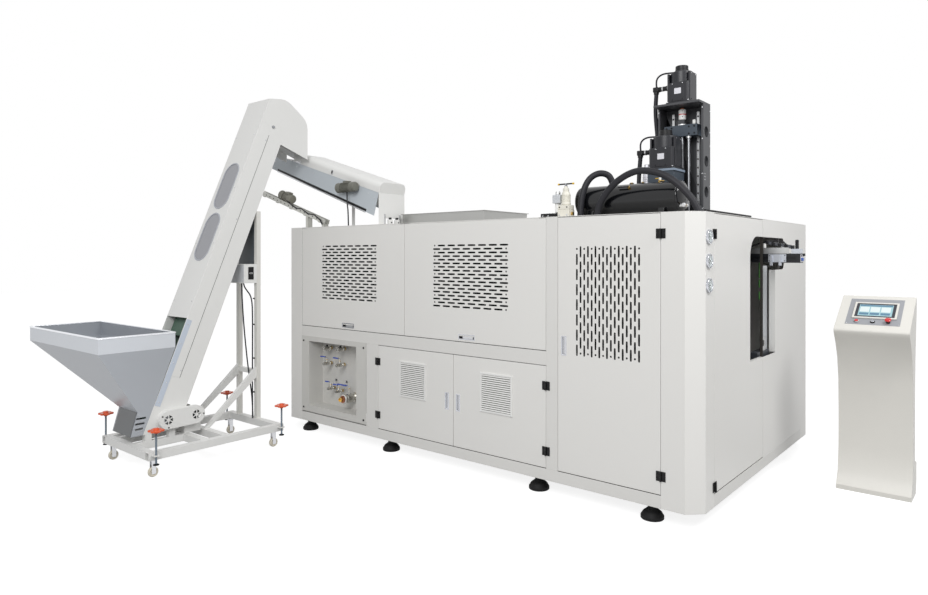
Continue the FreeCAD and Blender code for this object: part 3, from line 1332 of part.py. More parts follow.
def cart_frame():
    """Welded cart of square tube with castor forks, jack lugs, posts and braces."""
    z = (CART_TOP - CART_TUBE, CART_TOP)
    x, y, t = (CART_LEFT, CART_RIGHT), (CART_NEAR, CART_FAR), CART_TUBE
    solids = [channel_box((a, a + t), y, z, 1) for a in (x[0], x[1] - t)]
    inside = (x[0] + t, x[1] - t)
    for a in (y[0], CART_CROSS_Y, BRACE_FOOT_Y, y[1] - t):
        solids.append(channel_box(inside, (a, a + t), z, 0))
    for bx in (CASING_LEFT, CASING_RIGHT - RAIL_DEPTH):
        bearer = (bx, bx + RAIL_DEPTH)
        solids.append(channel_box(bearer, (y[0] + t, CART_CROSS_Y), z, 1))
        solids += [channel_box(bearer, (a, a + RAIL_DEPTH), (CART_TOP, CASING_FOOT_Z - HINGE_SEAT_GAP), 2)
                   for a in CASING_FEET_Y]
    for cx, cy in cart_corners():
        inner = WHEEL_WIDTH / 2 + WHEEL_GAP
        plate = box((cx - 30, cx + 30), (cy - 30, cy + 30), (z[0] - 5, z[0]))
        cheeks = [box((cx + s, cx + s + 3), (cy - 16, cy + 16), (WHEEL_RADIUS - 14, z[0] - 5))
                  for s in (-inner - 3, inner)]
        axle = rod((cx - inner - 3, cy, WHEEL_RADIUS), (cx + inner + 3, cy, WHEEL_RADIUS),
                   AXLE_RADIUS)
        solids.append(joined([plate, axle] + cheeks))
    for cx, cy in jack_places():
        edge = x[0] if cx < x[0] else x[1]
        reach = sorted((edge, cx + (16 if cx > edge else -16)))
        lug = box(reach, (cy - 20, cy + 20), (CART_TOP - 24, CART_TOP - 14))
        solids.append(lug.cut(rod((cx, cy, CART_TOP - 30), (cx, cy, CART_TOP), JACK_RADIUS + 0.1)))
    post_y = post_front()
    for px in POST_X:
        solids.append(channel_box((px, px + 40), (post_y, post_y + 40), (CART_TOP, POST_TOP), 2))
    span = (POST_X[0] + 40, POST_X[1])
    for pz in (POST_TOP - 40, POST_CROSS_Z):
        solids.append(channel_box(span, (post_y, post_y + 40), (pz, pz + 40), 0))
    for px in POST_X:
        foot, head = (px + 5, BRACE_FOOT_Y, CART_TOP), (px + 5, post_y, BRACE_TOP)
        run = [(foot[1], foot[2]), (foot[1] + 45, foot[2]), (head[1], head[2] - 45),
               (head[1], head[2] + 45)]
        solids.append(prism_x(run, px + 5, px + 35))
    stand = channel_box((CASING_RIGHT - 250, CASING_RIGHT - 20),
                        (MOTOR_SHELF_Y, MOTOR_SHELF_Y + 140), (CART_TOP, MOTOR_SHELF_Z), 2)
    return solids + [stand]


def drive_motor_axis():
    """(y, z) of the elevator motor's shaft, and of the guard's rear end."""
    return MOTOR_SHELF_Y + 70, MOTOR_SHELF_Z + HINGE_SEAT_GAP + GEARBOX_RADIUS


def post_front():
    """Front face of the posts, against the back of the casing at their top."""
    return casing_height(POST_TOP, BACK_FACE)[0] + HINGE_SEAT_GAP


def castor_wheel(index):
    """Castor wheel with a rounded tread and its bore."""
    cx, cy = cart_corners()[index]
    r, w = WHEEL_RADIUS, WHEEL_WIDTH
    bore = AXLE_RADIUS + SHAFT_RUNNING_GAP
    profile = [(bore, 0), (r - 5, 0), (r, 5), (r, w - 5), (r - 5, w), (bore, w)]
    face = polygon([V(p, 0, h) for p, h in profile])
    wheel = face.revolve(V(0, 0, 0), V(0, 0, 1), 360)
    turn = FreeCAD.Rotation(V(0, 0, 1), V(1, 0, 0))
    wheel.Placement = FreeCAD.Placement(V(cx - w / 2, cy, r), turn)
    return [wheel]


def jack_screws():
    """Four jack screws with star handwheels and foot pads."""
    solids = []
    for cx, cy in jack_places():
        screw = rod((cx, cy, JACK_FOOT_Z), (cx, cy, JACK_TOP), JACK_RADIUS)
        star = []
        for i in range(12):
            radius = STAR_RADIUS if i % 2 else STAR_RADIUS * 0.62
            a = math.pi * i / 6
            star.append((cx + radius * math.cos(a), cy + radius * math.sin(a)))
        wheel = prism_z(star, JACK_TOP, JACK_TOP + STAR_HEIGHT)
        pad = prism_z(regular((cx, cy), 22, 8), JACK_FOOT_Z - 10, JACK_FOOT_Z)
        solids.append(joined([screw, wheel, pad]))
    return solids


def control_box():
    """Feeder control box on the posts, a socket strip on its side, a back plate over it."""
    y = post_front()
    shell = box((CASING_LEFT + 90, CASING_RIGHT), (y - CONTROL_DEPTH, y), CONTROL_Z)
    strip = box((CASING_RIGHT, CASING_RIGHT + BACKPLATE_SHEET),
                (y - CONTROL_DEPTH + SOCKET_INSET[0], y - SOCKET_INSET[1]), SOCKET_Z)
    plate = box((POST_X[0] + 40, POST_X[1]), (y, y + BACKPLATE_SHEET), (CONTROL_Z[1], POST_TOP - 40))
    return [shell, strip, plate]


# ------------------------------------------------------------ unscrambler
SLOPE = math.radians(TROUGH_SLOPE)
TROUGH_FAR = TROUGH_NEAR + TROUGH_WIDTH
TROUGH_MIDDLE = TROUGH_NEAR + TROUGH_WIDTH / 2
ROLLER_OFFSET = ROLLER_RADIUS + ROLLER_GAP / 2


def on_slope(shape):
    """Shape drawn level at the trough's lower end, turned onto its slope and put in place."""
    turned = tilted(shape, (0, 0, 0), V(0, 1, 0), TROUGH_SLOPE)
    return turned.translated(V(TROUGH_LOW[0], 0, TROUGH_LOW[1]))


def slope_point(x, y, z):
    """Working position of a point given in the trough's level drawing."""
    return (TROUGH_LOW[0] + x * math.cos(SLOPE) + z * math.sin(SLOPE), y,
            TROUGH_LOW[1] - x * math.sin(SLOPE) + z * math.cos(SLOPE))


def roller_y(side):
    """Centre of a sorting roller; side is -1 near, +1 far."""
    return TROUGH_MIDDLE + side * ROLLER_OFFSET


def unscrambler_trough():
    """Sloping trough: side panels, bearing plates, end plate, legs and the rail below."""
    t, length = TROUGH_SHEET, TROUGH_LENGTH
    side = [(0, 0), (0, -TROUGH_DEPTH_LOW), (-length, -TROUGH_DEPTH_HIGH), (-length, 0)]
    solids = [on_slope(prism_y(side, y, y + t)) for y in (TROUGH_NEAR, TROUGH_FAR - t)]
    inside = (TROUGH_NEAR + t, TROUGH_FAR - t)
    for x in (-70, -length + 20):
        plate = box((x, x + 12), inside, (-120, -20))
        for s in (-1, 1):
            bore = rod((x - 1, roller_y(s), ROLLER_DROP), (x + 13, roller_y(s), ROLLER_DROP),
                       SHAFT_RADIUS + SHAFT_RUNNING_GAP)
            plate = plate.cut(bore)
        solids.append(on_slope(plate))
    end_x = TROUGH_LOW[0]
    lift = TROUGH_LOW[1]
    end = box((end_x, end_x + t), (TROUGH_NEAR, TROUGH_FAR), (ROOF_TOP, lift))
    gate = box((end_x - 1, end_x + t + 1), (TROUGH_NEAR + 60, TROUGH_FAR - 60),
               (ROOF_TOP - 1, ROOF_TOP + 62))
    solids.append(end.cut(gate))
    for y in (TROUGH_NEAR + 100, TROUGH_FAR - 130):
        solids.append(box((end_x + t, end_x + t + 36), (y, y + 34), (ROOF_TOP, ROOF_TOP + 52)))
    leg_top = slope_point(-700, 0, -TROUGH_DEPTH_LOW + 700 * TROUGH_TAPER)[2]
    solids.append(box((end_x - 700, end_x - 660), (TROUGH_FAR - 3 * t, TROUGH_FAR - t - 0.3),
                      (ROOF_TOP, leg_top + 90)))
    return solids


def preform_rail():
    """Pair of sloping guide bars that bring the preforms down, with cross ties and two feet."""
    near, far = TROUGH_NEAR, TROUGH_NEAR + 2 * RAIL_BAR + RAIL_CLEAR
    solids = []
    for y in (near, far - RAIL_BAR):
        solids.append(on_rail(box((-RAIL_RUN, 0), (y, y + RAIL_BAR), (-RAIL_HEIGHT, 0))))
    for i in range(5):
        x = -RAIL_RUN + 60 + i * (RAIL_RUN - 160) / 4
        tie = box((x, x + 30), (near, far), (-RAIL_HEIGHT - 8, -RAIL_HEIGHT))
        solids.append(on_rail(tie))
    fall = math.tan(math.radians(RAIL_SLOPE))
    bottom = RAIL_LOW[1] - RAIL_HEIGHT / math.cos(math.radians(RAIL_SLOPE))
    for x1 in (RAIL_LOW[0] - 20, LEFT + 105):
        x0 = x1 - 30
        foot = [(x0, ROOF_TOP), (x1, ROOF_TOP), (x1, bottom - (x1 - RAIL_LOW[0]) * fall),
                (x0, bottom - (x0 - RAIL_LOW[0]) * fall)]
        solids.append(prism_y(foot, near, far))
    return solids


def on_rail(shape):
    """Shape drawn level at the rail's lower end, turned onto its slope."""
    turned = tilted(shape, (0, 0, 0), V(0, 1, 0), RAIL_SLOPE)
    return turned.translated(V(RAIL_LOW[0], 0, RAIL_LOW[1]))


def unscrambler_hood():
    """Rounded hood over the trough, hinged along its far edge."""
    y0, y1, r = TROUGH_NEAR, TROUGH_FAR, HOOD_RADIUS
    outer = box((-HOOD_LENGTH, 0), (y0, y1), (HINGE_SEAT_GAP, HOOD_HEIGHT))
    edges = [e for e in outer.Edges if e.BoundBox.ZMin > HOOD_HEIGHT - 1 and
             abs(e.tangentAt(e.FirstParameter).x) > 0.9]
    outer = outer.makeFillet(r, edges)
    t = TROUGH_SHEET
    inner = box((-HOOD_LENGTH + t, -t), (y0 + t, y1 - t), (-1, HOOD_HEIGHT - t))
    edges = [e for e in inner.Edges if e.BoundBox.ZMin > HOOD_HEIGHT - t - 1 and
             abs(e.tangentAt(e.FirstParameter).x) > 0.9]
    inner = inner.makeFillet(r - t, edges)
    return [on_slope(outer.cut(inner))]


def sorting_roller(side):
    """Sorting roller with its shaft ends."""
    y = roller_y(side)
    ends = (-TROUGH_LENGTH + 20, -58)
    drum = rod((ends[0] + 14, y, ROLLER_DROP), (ends[1] - 14, y, ROLLER_DROP), ROLLER_RADIUS)
    shaft = rod((ends[0] - 6, y, ROLLER_DROP), (ends[1] + 6, y, ROLLER_DROP), SHAFT_RADIUS)
    return [on_slope(joined([drum, shaft]))]


def gear_motor(x, y, z, length):
    """Small gear motor along X: round gearbox, finned body and fan cover."""
    gearbox = rod((x, y, z), (x + 60, y, z), GEARBOX_RADIUS)
    body = prism_x(regular((y, z), 42, 12), x + 60, x + length - 60)
    cover = rod((x + length - 60, y, z), (x + length, y, z), 44)
    terminal = box((x + 90, x + 150), (y - 26, y + 26), (z + 38, z + 56))
    return joined([gearbox, body, cover, terminal])


def gear_motors():
    """Gear motors of the unscrambler, the preform rail and the elevator."""
    x, y, z = trough_motor_place()
    first = gear_motor(x, y, z, 240)
    over = TROUGH_NEAR + RAIL_BAR + RAIL_CLEAR / 2
    seat = math.sqrt(GEARBOX_RADIUS ** 2 - (RAIL_CLEAR / 2) ** 2) + HINGE_SEAT_GAP
    second = on_rail(gear_motor(-RAIL_RUN + 330, over, seat, 200))
    y, z = drive_motor_axis()
    third = gear_motor(CASING_RIGHT - 250, y, z, 230)
    shaft = rod((CASING_RIGHT - 20, y, z), (CASING_RIGHT + 24, y, z), 10)
    sprocket = rod((CASING_RIGHT + 12, y, z), (CASING_RIGHT + 20, y, z), SPROCKET_RADIUS)
    return [first, second, joined([third, shaft, sprocket])]


def trough_motor_place():
    """Left end of the unscrambler motor's axis, against the near side panel."""
    x, _, z = slope_point(-480, 0, -80)
    return x, TROUGH_NEAR - GEARBOX_RADIUS - HINGE_SEAT_GAP, z


# ------------------------------------------------------------ feeder cables
FEEDER_RADIUS = 6


def feeder_cables():
    """Lead from the unscrambler's motor to the roof, and from the control box to the cart."""
    x, y, z = trough_motor_place()
    drop = ((x + 120, y, z - 42), (x + 121, y, z - 80), (x + 124, y - 1, z - 125),
            (x + 130, y - 2, z - 170), (x + 136, y, z - 215), (x + 138, y + 2, ROOF_TOP))
    y, z = post_front(), CONTROL_Z[0]
    side = POST_X[1] - FEEDER_RADIUS - 1
    clipped = ((side - 62, y - 62, z), (side - 58, y - 60, z - 30), (side - 38, y - 46, z - 66),
               (side - 12, y - 24, z - 110), (side - 2, y - 14, z - 175), (side, y - 12, z - 280),
               (side, y - 11, z - 420), (side, y - 13, z - 700), (side, y - 11, CART_TOP))
    loose = ((side - 48, y - 90, z), (side - 46, y - 90, z - 60), (side - 40, y - 86, z - 200),
             (side - 34, y - 76, z - 380), (side - 30, y - 60, z - 560), (side - 27, y - 40, z - 740),
             (side - 25, y - 16, z - 900), (side - 24, y + 2, z - 1040), (side - 24, y + 8, CART_TOP))
    return [cord(drop, FEEDER_RADIUS, "unscrambler lead"),
            cord(clipped, FEEDER_RADIUS, "clipped cart lead"),
            cord(loose, FEEDER_RADIUS, "loose cart lead")]


# ------------------------------------------------------------ console
def console_outline():
    """Side profile (y, z): sloping head, slim curved pedestal and stepped foot."""
    f, b = CONSOLE_FRONT, CONSOLE_FRONT + CONSOLE_DEPTH
    mid = f + 165
    back = mid + CONSOLE_BODY
    return [(f, CONSOLE_LIP_Z - 12), (f + 6, CONSOLE_LIP_Z), (b - 12, CONSOLE_TOP_Z),
            (b, CONSOLE_TOP_Z - 8), (b - 4, CONSOLE_TOP_Z - 90), (back + 30, 980),
            (back + 6, 760), (back, 560), (back, 220), (back + 75, 215), (back + 75, 90),
            (back + 40, 0), (mid - 90, 0), (mid - 88, 30), (mid - 30, 120), (mid - 4, 300),
            (mid, 520), (mid - 10, 760), (mid - 45, 920), (f + 60, 1030), (f + 14, 1088),
            (f, 1112)]


def console_cabinet():
    """Folded sheet console cabinet with its button holes."""
    x = (CONSOLE_LEFT, CONSOLE_LEFT + CONSOLE_WIDTH)
    outline = polygon([V(0, y, z) for y, z in console_outline()])
    body = outline.extrude(V(CONSOLE_WIDTH, 0, 0)).translated(V(x[0], 0, 0))
    inner = outline.makeOffset2D(-DOOR_SHEET).extrude(V(CONSOLE_WIDTH - 2 * DOOR_SHEET, 0, 0))
    body = body.cut(inner.translated(V(x[0] + DOOR_SHEET, 0, 0)))
    for place, radius in ((POWER_PLACE, BUTTON_RADIUS), (KEY_PLACE, BUTTON_RADIUS),
                          (ESTOP_PLACE, BUTTON_RADIUS)):
        body = body.cut(on_panel(rod((place, BUTTON_ROW, -BUTTON_WELL), (place, BUTTON_ROW, 20),
                                     radius + SHAFT_RUNNING_GAP)))
    return [body]


def panel_slope():
    """Angle of the console's sloping panel."""
    rise = CONSOLE_TOP_Z - CONSOLE_LIP_Z
    return math.degrees(math.atan2(rise, CONSOLE_DEPTH - 18))


def on_panel(shape):
    """Shape drawn on a level panel (x, distance up the panel, height) put on the slope."""
    turned = tilted(shape, (0, 0, 0), V(1, 0, 0), panel_slope())
    return turned.translated(V(CONSOLE_LEFT, CONSOLE_FRONT + 6, CONSOLE_LIP_Z))


def panel_point(x, up, height):
    """Working position of a point drawn on the level panel."""
    a = math.radians(panel_slope())
    return (CONSOLE_LEFT + x, CONSOLE_FRONT + 6 + up * math.cos(a) - height * math.sin(a),
            CONSOLE_LIP_Z + up * math.sin(a) + height * math.cos(a))


def console_screen():
    """Grey mounting plate, screen housing with its rim, and the glass."""
    plate = box((60, 386), (48, 350), (0, 2))
    for place in (POWER_PLACE, KEY_PLACE, ESTOP_PLACE):
        plate = plate.cut(rod((place, BUTTON_ROW, -5), (place, BUTTON_ROW, 5),
                              BUTTON_RADIUS + SHAFT_RUNNING_GAP))
    housing = box((93, 361), (113, 299), (2, 12))
    pocket = box((107, 347), (127, 285), (6, 13))
    return [on_panel(plate), on_panel(housing.cut(pocket))]


def console_button(place, radius, head, head_radius):
    """Button: a stem in its hole and a wider head above the panel plate."""
    stem = rod((place, BUTTON_ROW, -BUTTON_WELL + ESTOP_TRAVEL + 1), (place, BUTTON_ROW, head[0]),
               radius)
    cap = rod((place, BUTTON_ROW, head[0]), (place, BUTTON_ROW, head[1]), head_radius)
    return [on_panel(joined([stem, cap]))]


def power_button():
    """Red push button."""
    return console_button(POWER_PLACE, BUTTON_RADIUS, (2.3 + BUTTON_TRAVEL, 14), 15)


def key_switch():
    """Key switch: round barrel with the key's flat bow."""
    barrel = rod((KEY_PLACE, BUTTON_ROW, -BUTTON_WELL + 6), (KEY_PLACE, BUTTON_ROW, 12),
                 BUTTON_RADIUS)
    key = box((KEY_PLACE - 2, KEY_PLACE + 2), (BUTTON_ROW - 11, BUTTON_ROW + 11), (12, 34))
    return [on_panel(joined([barrel, key]))]


def emergency_stop():
    """Mushroom stop button on its collar."""
    return console_button(ESTOP_PLACE, BUTTON_RADIUS, (2.3 + ESTOP_TRAVEL + 14, 34), ESTOP_RADIUS)


# ------------------------------------------------------------ assembly
def nodes():
    """All sub-parts by node name."""
    parts = {
        "cabinet_frame": cabinet_frame(), "corner_columns": corner_columns(),
        "side_panels": end_panels() + rear_panels(), "roof_panel": roof_panel(),
        "levelling_feet": levelling_feet(), "door_hinges": door_hinges(),
        "upper_left_door": upper_left_door(), "upper_right_door": upper_right_door(),
        "lower_left_door": lower_left_door(), "lower_right_door": lower_right_door(),
        "tall_front_door": tall_front_door(), "end_door": end_door(),
        "valve_box": valve_box(), "air_valves": air_valves(),
        "pressure_gauges": pressure_gauges(), "oven": oven(),
        "air_tank": air_tank(), "air_regulator": air_regulator(),
        "regulator_handle": regulator_handle(), "air_hoses": air_hoses(),
        "servo_column": servo_column(), "ball_screw": ball_screw(),
        "stretch_carriage": stretch_carriage(), "servo_motors": servo_motors(),
        "motor_cables": motor_cables(), "clamp_frame": clamp_frame(),
        "front_mould": front_mould(), "rear_mould": rear_mould(),
        "outfeed_beam": outfeed_beam(), "outfeed_carriage": outfeed_carriage(),
        "elevator_casing": elevator_casing(), "elevator_windows": elevator_windows(),
        "elevator_belt": elevator_belt(), "drive_roller": drive_roller(),
        "head_roller": head_roller(), "drive_guard": drive_guard(),
        "preform_hopper": preform_hopper(), "cart_frame": cart_frame(),
        "jack_screws": jack_screws(), "control_box": control_box(),
        "unscrambler_frame": unscrambler_trough() + preform_rail(),
        "unscrambler_hood": unscrambler_hood(), "near_roller": sorting_roller(-1),
        "far_roller": sorting_roller(1), "gear_motors": gear_motors(),
        "feeder_cables": feeder_cables(), "console_cabinet": console_cabinet(),
        "console_screen": console_screen(), "power_button": power_button(),
        "key_switch": key_switch(), "emergency_stop": emergency_stop(),
    }
    for i in range(4):
        parts[f"castor_wheel_{i + 1}"] = castor_wheel(i)
    for i, valve in enumerate(LEVERS):
        parts[f"valve_lever_{i + 1}"] = valve_lever(valve)
    trim(parts, "air_hoses", ("roof_panel", "air_tank"))
    trim(parts, "motor_cables", ("roof_panel", "servo_column", "servo_motors"))
    trim(parts, "feeder_cables", ("roof_panel", "gear_motors", "cart_frame", "control_box"))
    return parts


def trim(parts, cords, seats):
    """Cut a node's cords off square where they meet the pieces they enter."""
    seat = Part.makeCompound([solid for name in seats for solid in parts[name]])
    under = box((LEFT, 0), (0, CABINET_DEPTH), (0, ROOF_TOP))
    cut = []
    for cord_solid in parts[cords]:
        cord_solid = cord_solid.cut(seat)
        if cord_solid.BoundBox.ZMin > CART_TOP + 10:
            cord_solid = cord_solid.cut(under)
        cut.append(max(cord_solid.Solids, key=lambda piece: piece.Volume))
    parts[cords] = cut


CORDS = ("air_hoses", "motor_cables", "feeder_cables")
LEVERS = SMALL_VALVES + (LARGE_VALVE,)
PARTS = nodes()

whole = Part.makeCompound([s for name, solids in PARTS.items() if name not in CORDS
                           for s in solids]).BoundBox
SHIFT = V(-whole.Center.x, -whole.Center.y, -whole.ZMin)

os.makedirs("parts", exist_ok=True)
for name, solids in PARTS.items():
    shape = solids[0] if len(solids) == 1 else Part.makeCompound(solids)
    shape.translated(SHIFT).exportStep(f"parts/{name}.step")
print(len(PARTS), "parts; size", round(whole.XLength), round(whole.YLength), round(whole.ZLength))
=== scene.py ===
"""Stretch blow moulding machine with its preform feeder and operator console.

Lengths are metres. Machine axes: X runs along the front face, whose right end
is 0, Y runs into the machine, Z is up from the floor.
"""
import logging
import math
from contextlib import contextmanager
from dataclasses import dataclass
from enum import Enum
from itertools import product
from typing import Callable, Iterable, Iterator, Sequence

import bmesh
import bpy
from mathutils import Matrix, Vector


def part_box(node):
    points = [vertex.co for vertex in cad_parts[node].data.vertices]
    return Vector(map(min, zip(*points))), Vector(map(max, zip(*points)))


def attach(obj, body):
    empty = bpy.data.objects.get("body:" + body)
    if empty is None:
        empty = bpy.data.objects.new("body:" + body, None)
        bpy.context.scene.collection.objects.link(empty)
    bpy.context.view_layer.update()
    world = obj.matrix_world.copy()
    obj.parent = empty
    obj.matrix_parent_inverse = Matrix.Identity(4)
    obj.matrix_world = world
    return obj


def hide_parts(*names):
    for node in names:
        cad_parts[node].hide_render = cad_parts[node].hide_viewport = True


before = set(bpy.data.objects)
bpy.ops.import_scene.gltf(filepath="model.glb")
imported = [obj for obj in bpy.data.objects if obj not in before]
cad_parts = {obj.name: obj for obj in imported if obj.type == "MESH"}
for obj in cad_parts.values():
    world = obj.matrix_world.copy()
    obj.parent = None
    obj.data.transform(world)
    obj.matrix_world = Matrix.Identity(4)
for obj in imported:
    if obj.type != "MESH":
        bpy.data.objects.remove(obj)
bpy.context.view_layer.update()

LOG = logging.getLogger("machine")

Point = tuple[float, float, float]
Flat = tuple[float, float]

TINY = 1e-6  # lengths below this are nothing
WELD = 1e-5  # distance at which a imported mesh's corners are one
CLEAR = 0.0003  # small gap or overlap where pieces meet
CHAMFER = 0.090  # width of the cabinet's cut corners
ROOF = 1.900  # top of the roof sheet
ORIGIN = Vector((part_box("roof_panel")[1].x - CHAMFER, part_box("roof_panel")[0].y, 0.0))


def in_scene(name: str, data: bpy.types.ID) -> bpy.types.Object:
    """Object that shows some data, put into the scene."""
    shown = bpy.data.objects.new(name, data)
    bpy.context.scene.collection.objects.link(shown)
    return shown


def span_of(node: str) -> tuple[Vector, Vector]:
    """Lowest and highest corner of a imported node, in machine axes."""
    low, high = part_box(node)
    return low - ORIGIN, high - ORIGIN


# ---------------------------------------------------------------- finishes
def linear(colour: Sequence[int]) -> tuple[float, float, float, float]:
    """Scene colour of a display colour."""
    def channel(value: int) -> float:
        """One channel in linear light."""
        share = value / 255
        return share / 12.92 if share <= 0.04045 else ((share + 0.055) / 1.055) ** 2.4
    return (*[channel(v) for v in colour], 1.0)


class Shading:
    """Node groups shared by the finishes, each made once."""

    made: dict[str, bpy.types.ShaderNodeTree] = {}

    @classmethod
    def group(cls, name: str, inputs: dict[str, float | Point | tuple], outputs: dict[str, str],
              wire: Callable) -> bpy.types.ShaderNodeTree:
        """Make a node group, or give back the one made before."""
        if name in cls.made:
            return cls.made[name]
        tree = bpy.data.node_groups.new(name, "ShaderNodeTree")
        for label, value in inputs.items():
            size = len(value) if isinstance(value, tuple) else 1
            kind = {1: "NodeSocketFloat", 3: "NodeSocketVector", 4: "NodeSocketColor"}[size]
            socket = tree.interface.new_socket(name=label, in_out="INPUT", socket_type=kind)
            socket.default_value = value
        for label, kind in outputs.items():
            tree.interface.new_socket(name=label, in_out="OUTPUT", socket_type=kind)
        start, end = tree.nodes.new("NodeGroupInput"), tree.nodes.new("NodeGroupOutput")
        wire(tree, start.outputs, end.inputs)
        cls.made[name] = tree
        return tree

    @classmethod
    def tone(cls) -> bpy.types.ShaderNodeTree:
        """Colour that drifts a little over a large surface."""
        def wire(tree, start, end) -> None:
            """Noise turned into a gain on the colour."""
            noise = add_node(tree, "ShaderNodeTexNoise",
                             {"Detail": 3.0, "Vector": start["Position"], "Scale": start["Scale"]})
            centred = math_node(tree, "SUBTRACT", noise["Fac"], 0.5)
            gain = math_node(tree, "MULTIPLY", centred, start["Spread"])
            factor = math_node(tree, "ADD", gain, 1.0)
            scaled = add_node(tree, "ShaderNodeVectorMath", {0: start["Colour"], "Scale": factor},
                              operation="SCALE")
            put(tree, end["Colour"], scaled[0])
        return cls.group("drifting_tone", {"Position": (0.0, 0.0, 0.0), "Scale": 2.0, "Spread": 0.05,
                                           "Colour": (0.5, 0.5, 0.5, 1.0)},
                         {"Colour": "NodeSocketColor"}, wire)

    @classmethod
    def grain(cls) -> bpy.types.ShaderNodeTree:
        """Fine grain, even or drawn out along one axis, as height and roughness."""
        def wire(tree, start, end) -> None:
            """Stretched noise for height, and a share of it for roughness."""
            drawn = add_node(tree, "ShaderNodeVectorMath", {0: start["Position"], 1: start["Fineness"]},
                             operation="MULTIPLY")
            noise = add_node(tree, "ShaderNodeTexNoise",
                             {"Scale": 1.0, "Detail": 2.0, "Vector": drawn[0]})
            put(tree, end["Height"], noise["Fac"])
            centred = math_node(tree, "SUBTRACT", noise["Fac"], 0.5)
            uneven = math_node(tree, "MULTIPLY", centred, start["Uneven"])
            put(tree, end["Roughness"], math_node(tree, "ADD", uneven, start["Roughness"]))
        return cls.group("fine_grain", {"Position": (0.0, 0.0, 0.0), "Fineness": (900.0, 900.0, 900.0),
                                        "Roughness": 0.4, "Uneven": 0.1},
                         {"Height": "NodeSocketFloat", "Roughness": "NodeSocketFloat"}, wire)


def put(tree: bpy.types.ShaderNodeTree, socket: bpy.types.NodeSocket, value: object) -> None:
    """Give an input a plain value, or link it to a socket."""
    if isinstance(value, bpy.types.NodeSocket):
        tree.links.new(value, socket)
    else:
        socket.default_value = value


def add_node(tree: bpy.types.ShaderNodeTree, kind: str, inputs: dict[str | int, object],
             **settings: object) -> bpy.types.NodeOutputs:
    """Add a node with its inputs and settings, and give its outputs."""
    node = tree.nodes.new(kind)
    for name, value in settings.items():
        setattr(node, name, value)
    for label, value in inputs.items():
        put(tree, node.inputs[label], value)
    return node.outputs


def math_node(tree: bpy.types.ShaderNodeTree, operation: str, first: object,
              second: object) -> bpy.types.NodeSocket:
    """Math node on two values, each a socket or a number."""
    return add_node(tree, "ShaderNodeMath", {0: first, 1: second}, operation=operation)[0]


class Grain(Enum):
    """Kinds of surface grain: its fineness in cycles a metre along X, Y and Z."""

    EVEN = (900.0, 900.0, 900.0)
    PEEL = (260.0, 260.0, 260.0)
    CAST = (420.0, 420.0, 420.0)
    BRUSHED_X = (14.0, 1500.0, 1500.0)
    BRUSHED_Z = (1500.0, 1500.0, 14.0)
    MOULDED = (1600.0, 1600.0, 1600.0)


@dataclass(frozen=True)
class Finish:
    """A finish: colour, gloss and grain of one material on the machine."""

    name: str
    slot: str
    colour: tuple[int, int, int]
    roughness: float = 0.45
    metallic: float = 0.0
    coat: float = 0.0
    grain: Grain = Grain.EVEN
    depth: float = 0.00002
    spread: float = 0.05
    drift: float = 2.0
    transmission: float = 0.0
    specular: float = 0.5

    def material(self) -> bpy.types.Material:
        """Material of this finish, made once."""
        return bpy.data.materials.get(self.name) or self.build()

    def build(self) -> bpy.types.Material:
        """Make the material's nodes."""
        made = bpy.data.materials.new(self.name)
        made.use_nodes = True
        tree = made.node_tree
        shader = tree.nodes["Principled BSDF"].inputs
        for label, value in {"Metallic": self.metallic, "Coat Weight": self.coat,
                             "Coat Roughness": 0.08, "Transmission Weight": self.transmission,
                             "Specular IOR Level": self.specular, "Base Color": linear(self.colour),
                             "Roughness": self.roughness}.items():
            put(tree, shader[label], value)
        if not self.spread:
            return made
        place = tree.nodes.new("ShaderNodeTexCoord").outputs["Object"]
        tone = add_node(tree, "ShaderNodeGroup",
                        {"Position": place, "Scale": self.drift, "Spread": self.spread,
                         "Colour": linear(self.colour)}, node_tree=Shading.tone())
        put(tree, shader["Base Color"], tone["Colour"])
        if not self.depth:
            return made
        uneven = min(0.16, self.roughness * 0.5)
        grain = add_node(tree, "ShaderNodeGroup", {"Position": place, "Fineness": self.grain.value,
                                                    "Roughness": self.roughness,
                                                    "Uneven": uneven}, node_tree=Shading.grain())
        put(tree, shader["Roughness"], grain["Roughness"])
        bump = add_node(tree, "ShaderNodeBump", {"Strength": 1.0, "Distance": self.depth,
                                                 "Height": grain["Height"]})
        put(tree, shader["Normal"], bump["Normal"])
        return made


def painted(*args: object, depth: float = 0.00003, **more: object) -> Finish:
    """Paint or powder coat, with its orange peel."""
    return Finish(*args, grain=Grain.PEEL, depth=depth, **more)


def cast(*args: object, depth: float = 0.00003, **more: object) -> Finish:
    """Cast, plated or rubber surface."""
    return Finish(*args, grain=Grain.CAST, depth=depth, **more)


def moulded(*args: object, **more: object) -> Finish:
    """Plastic from a mould."""
    return Finish(*args, grain=Grain.MOULDED, **more)


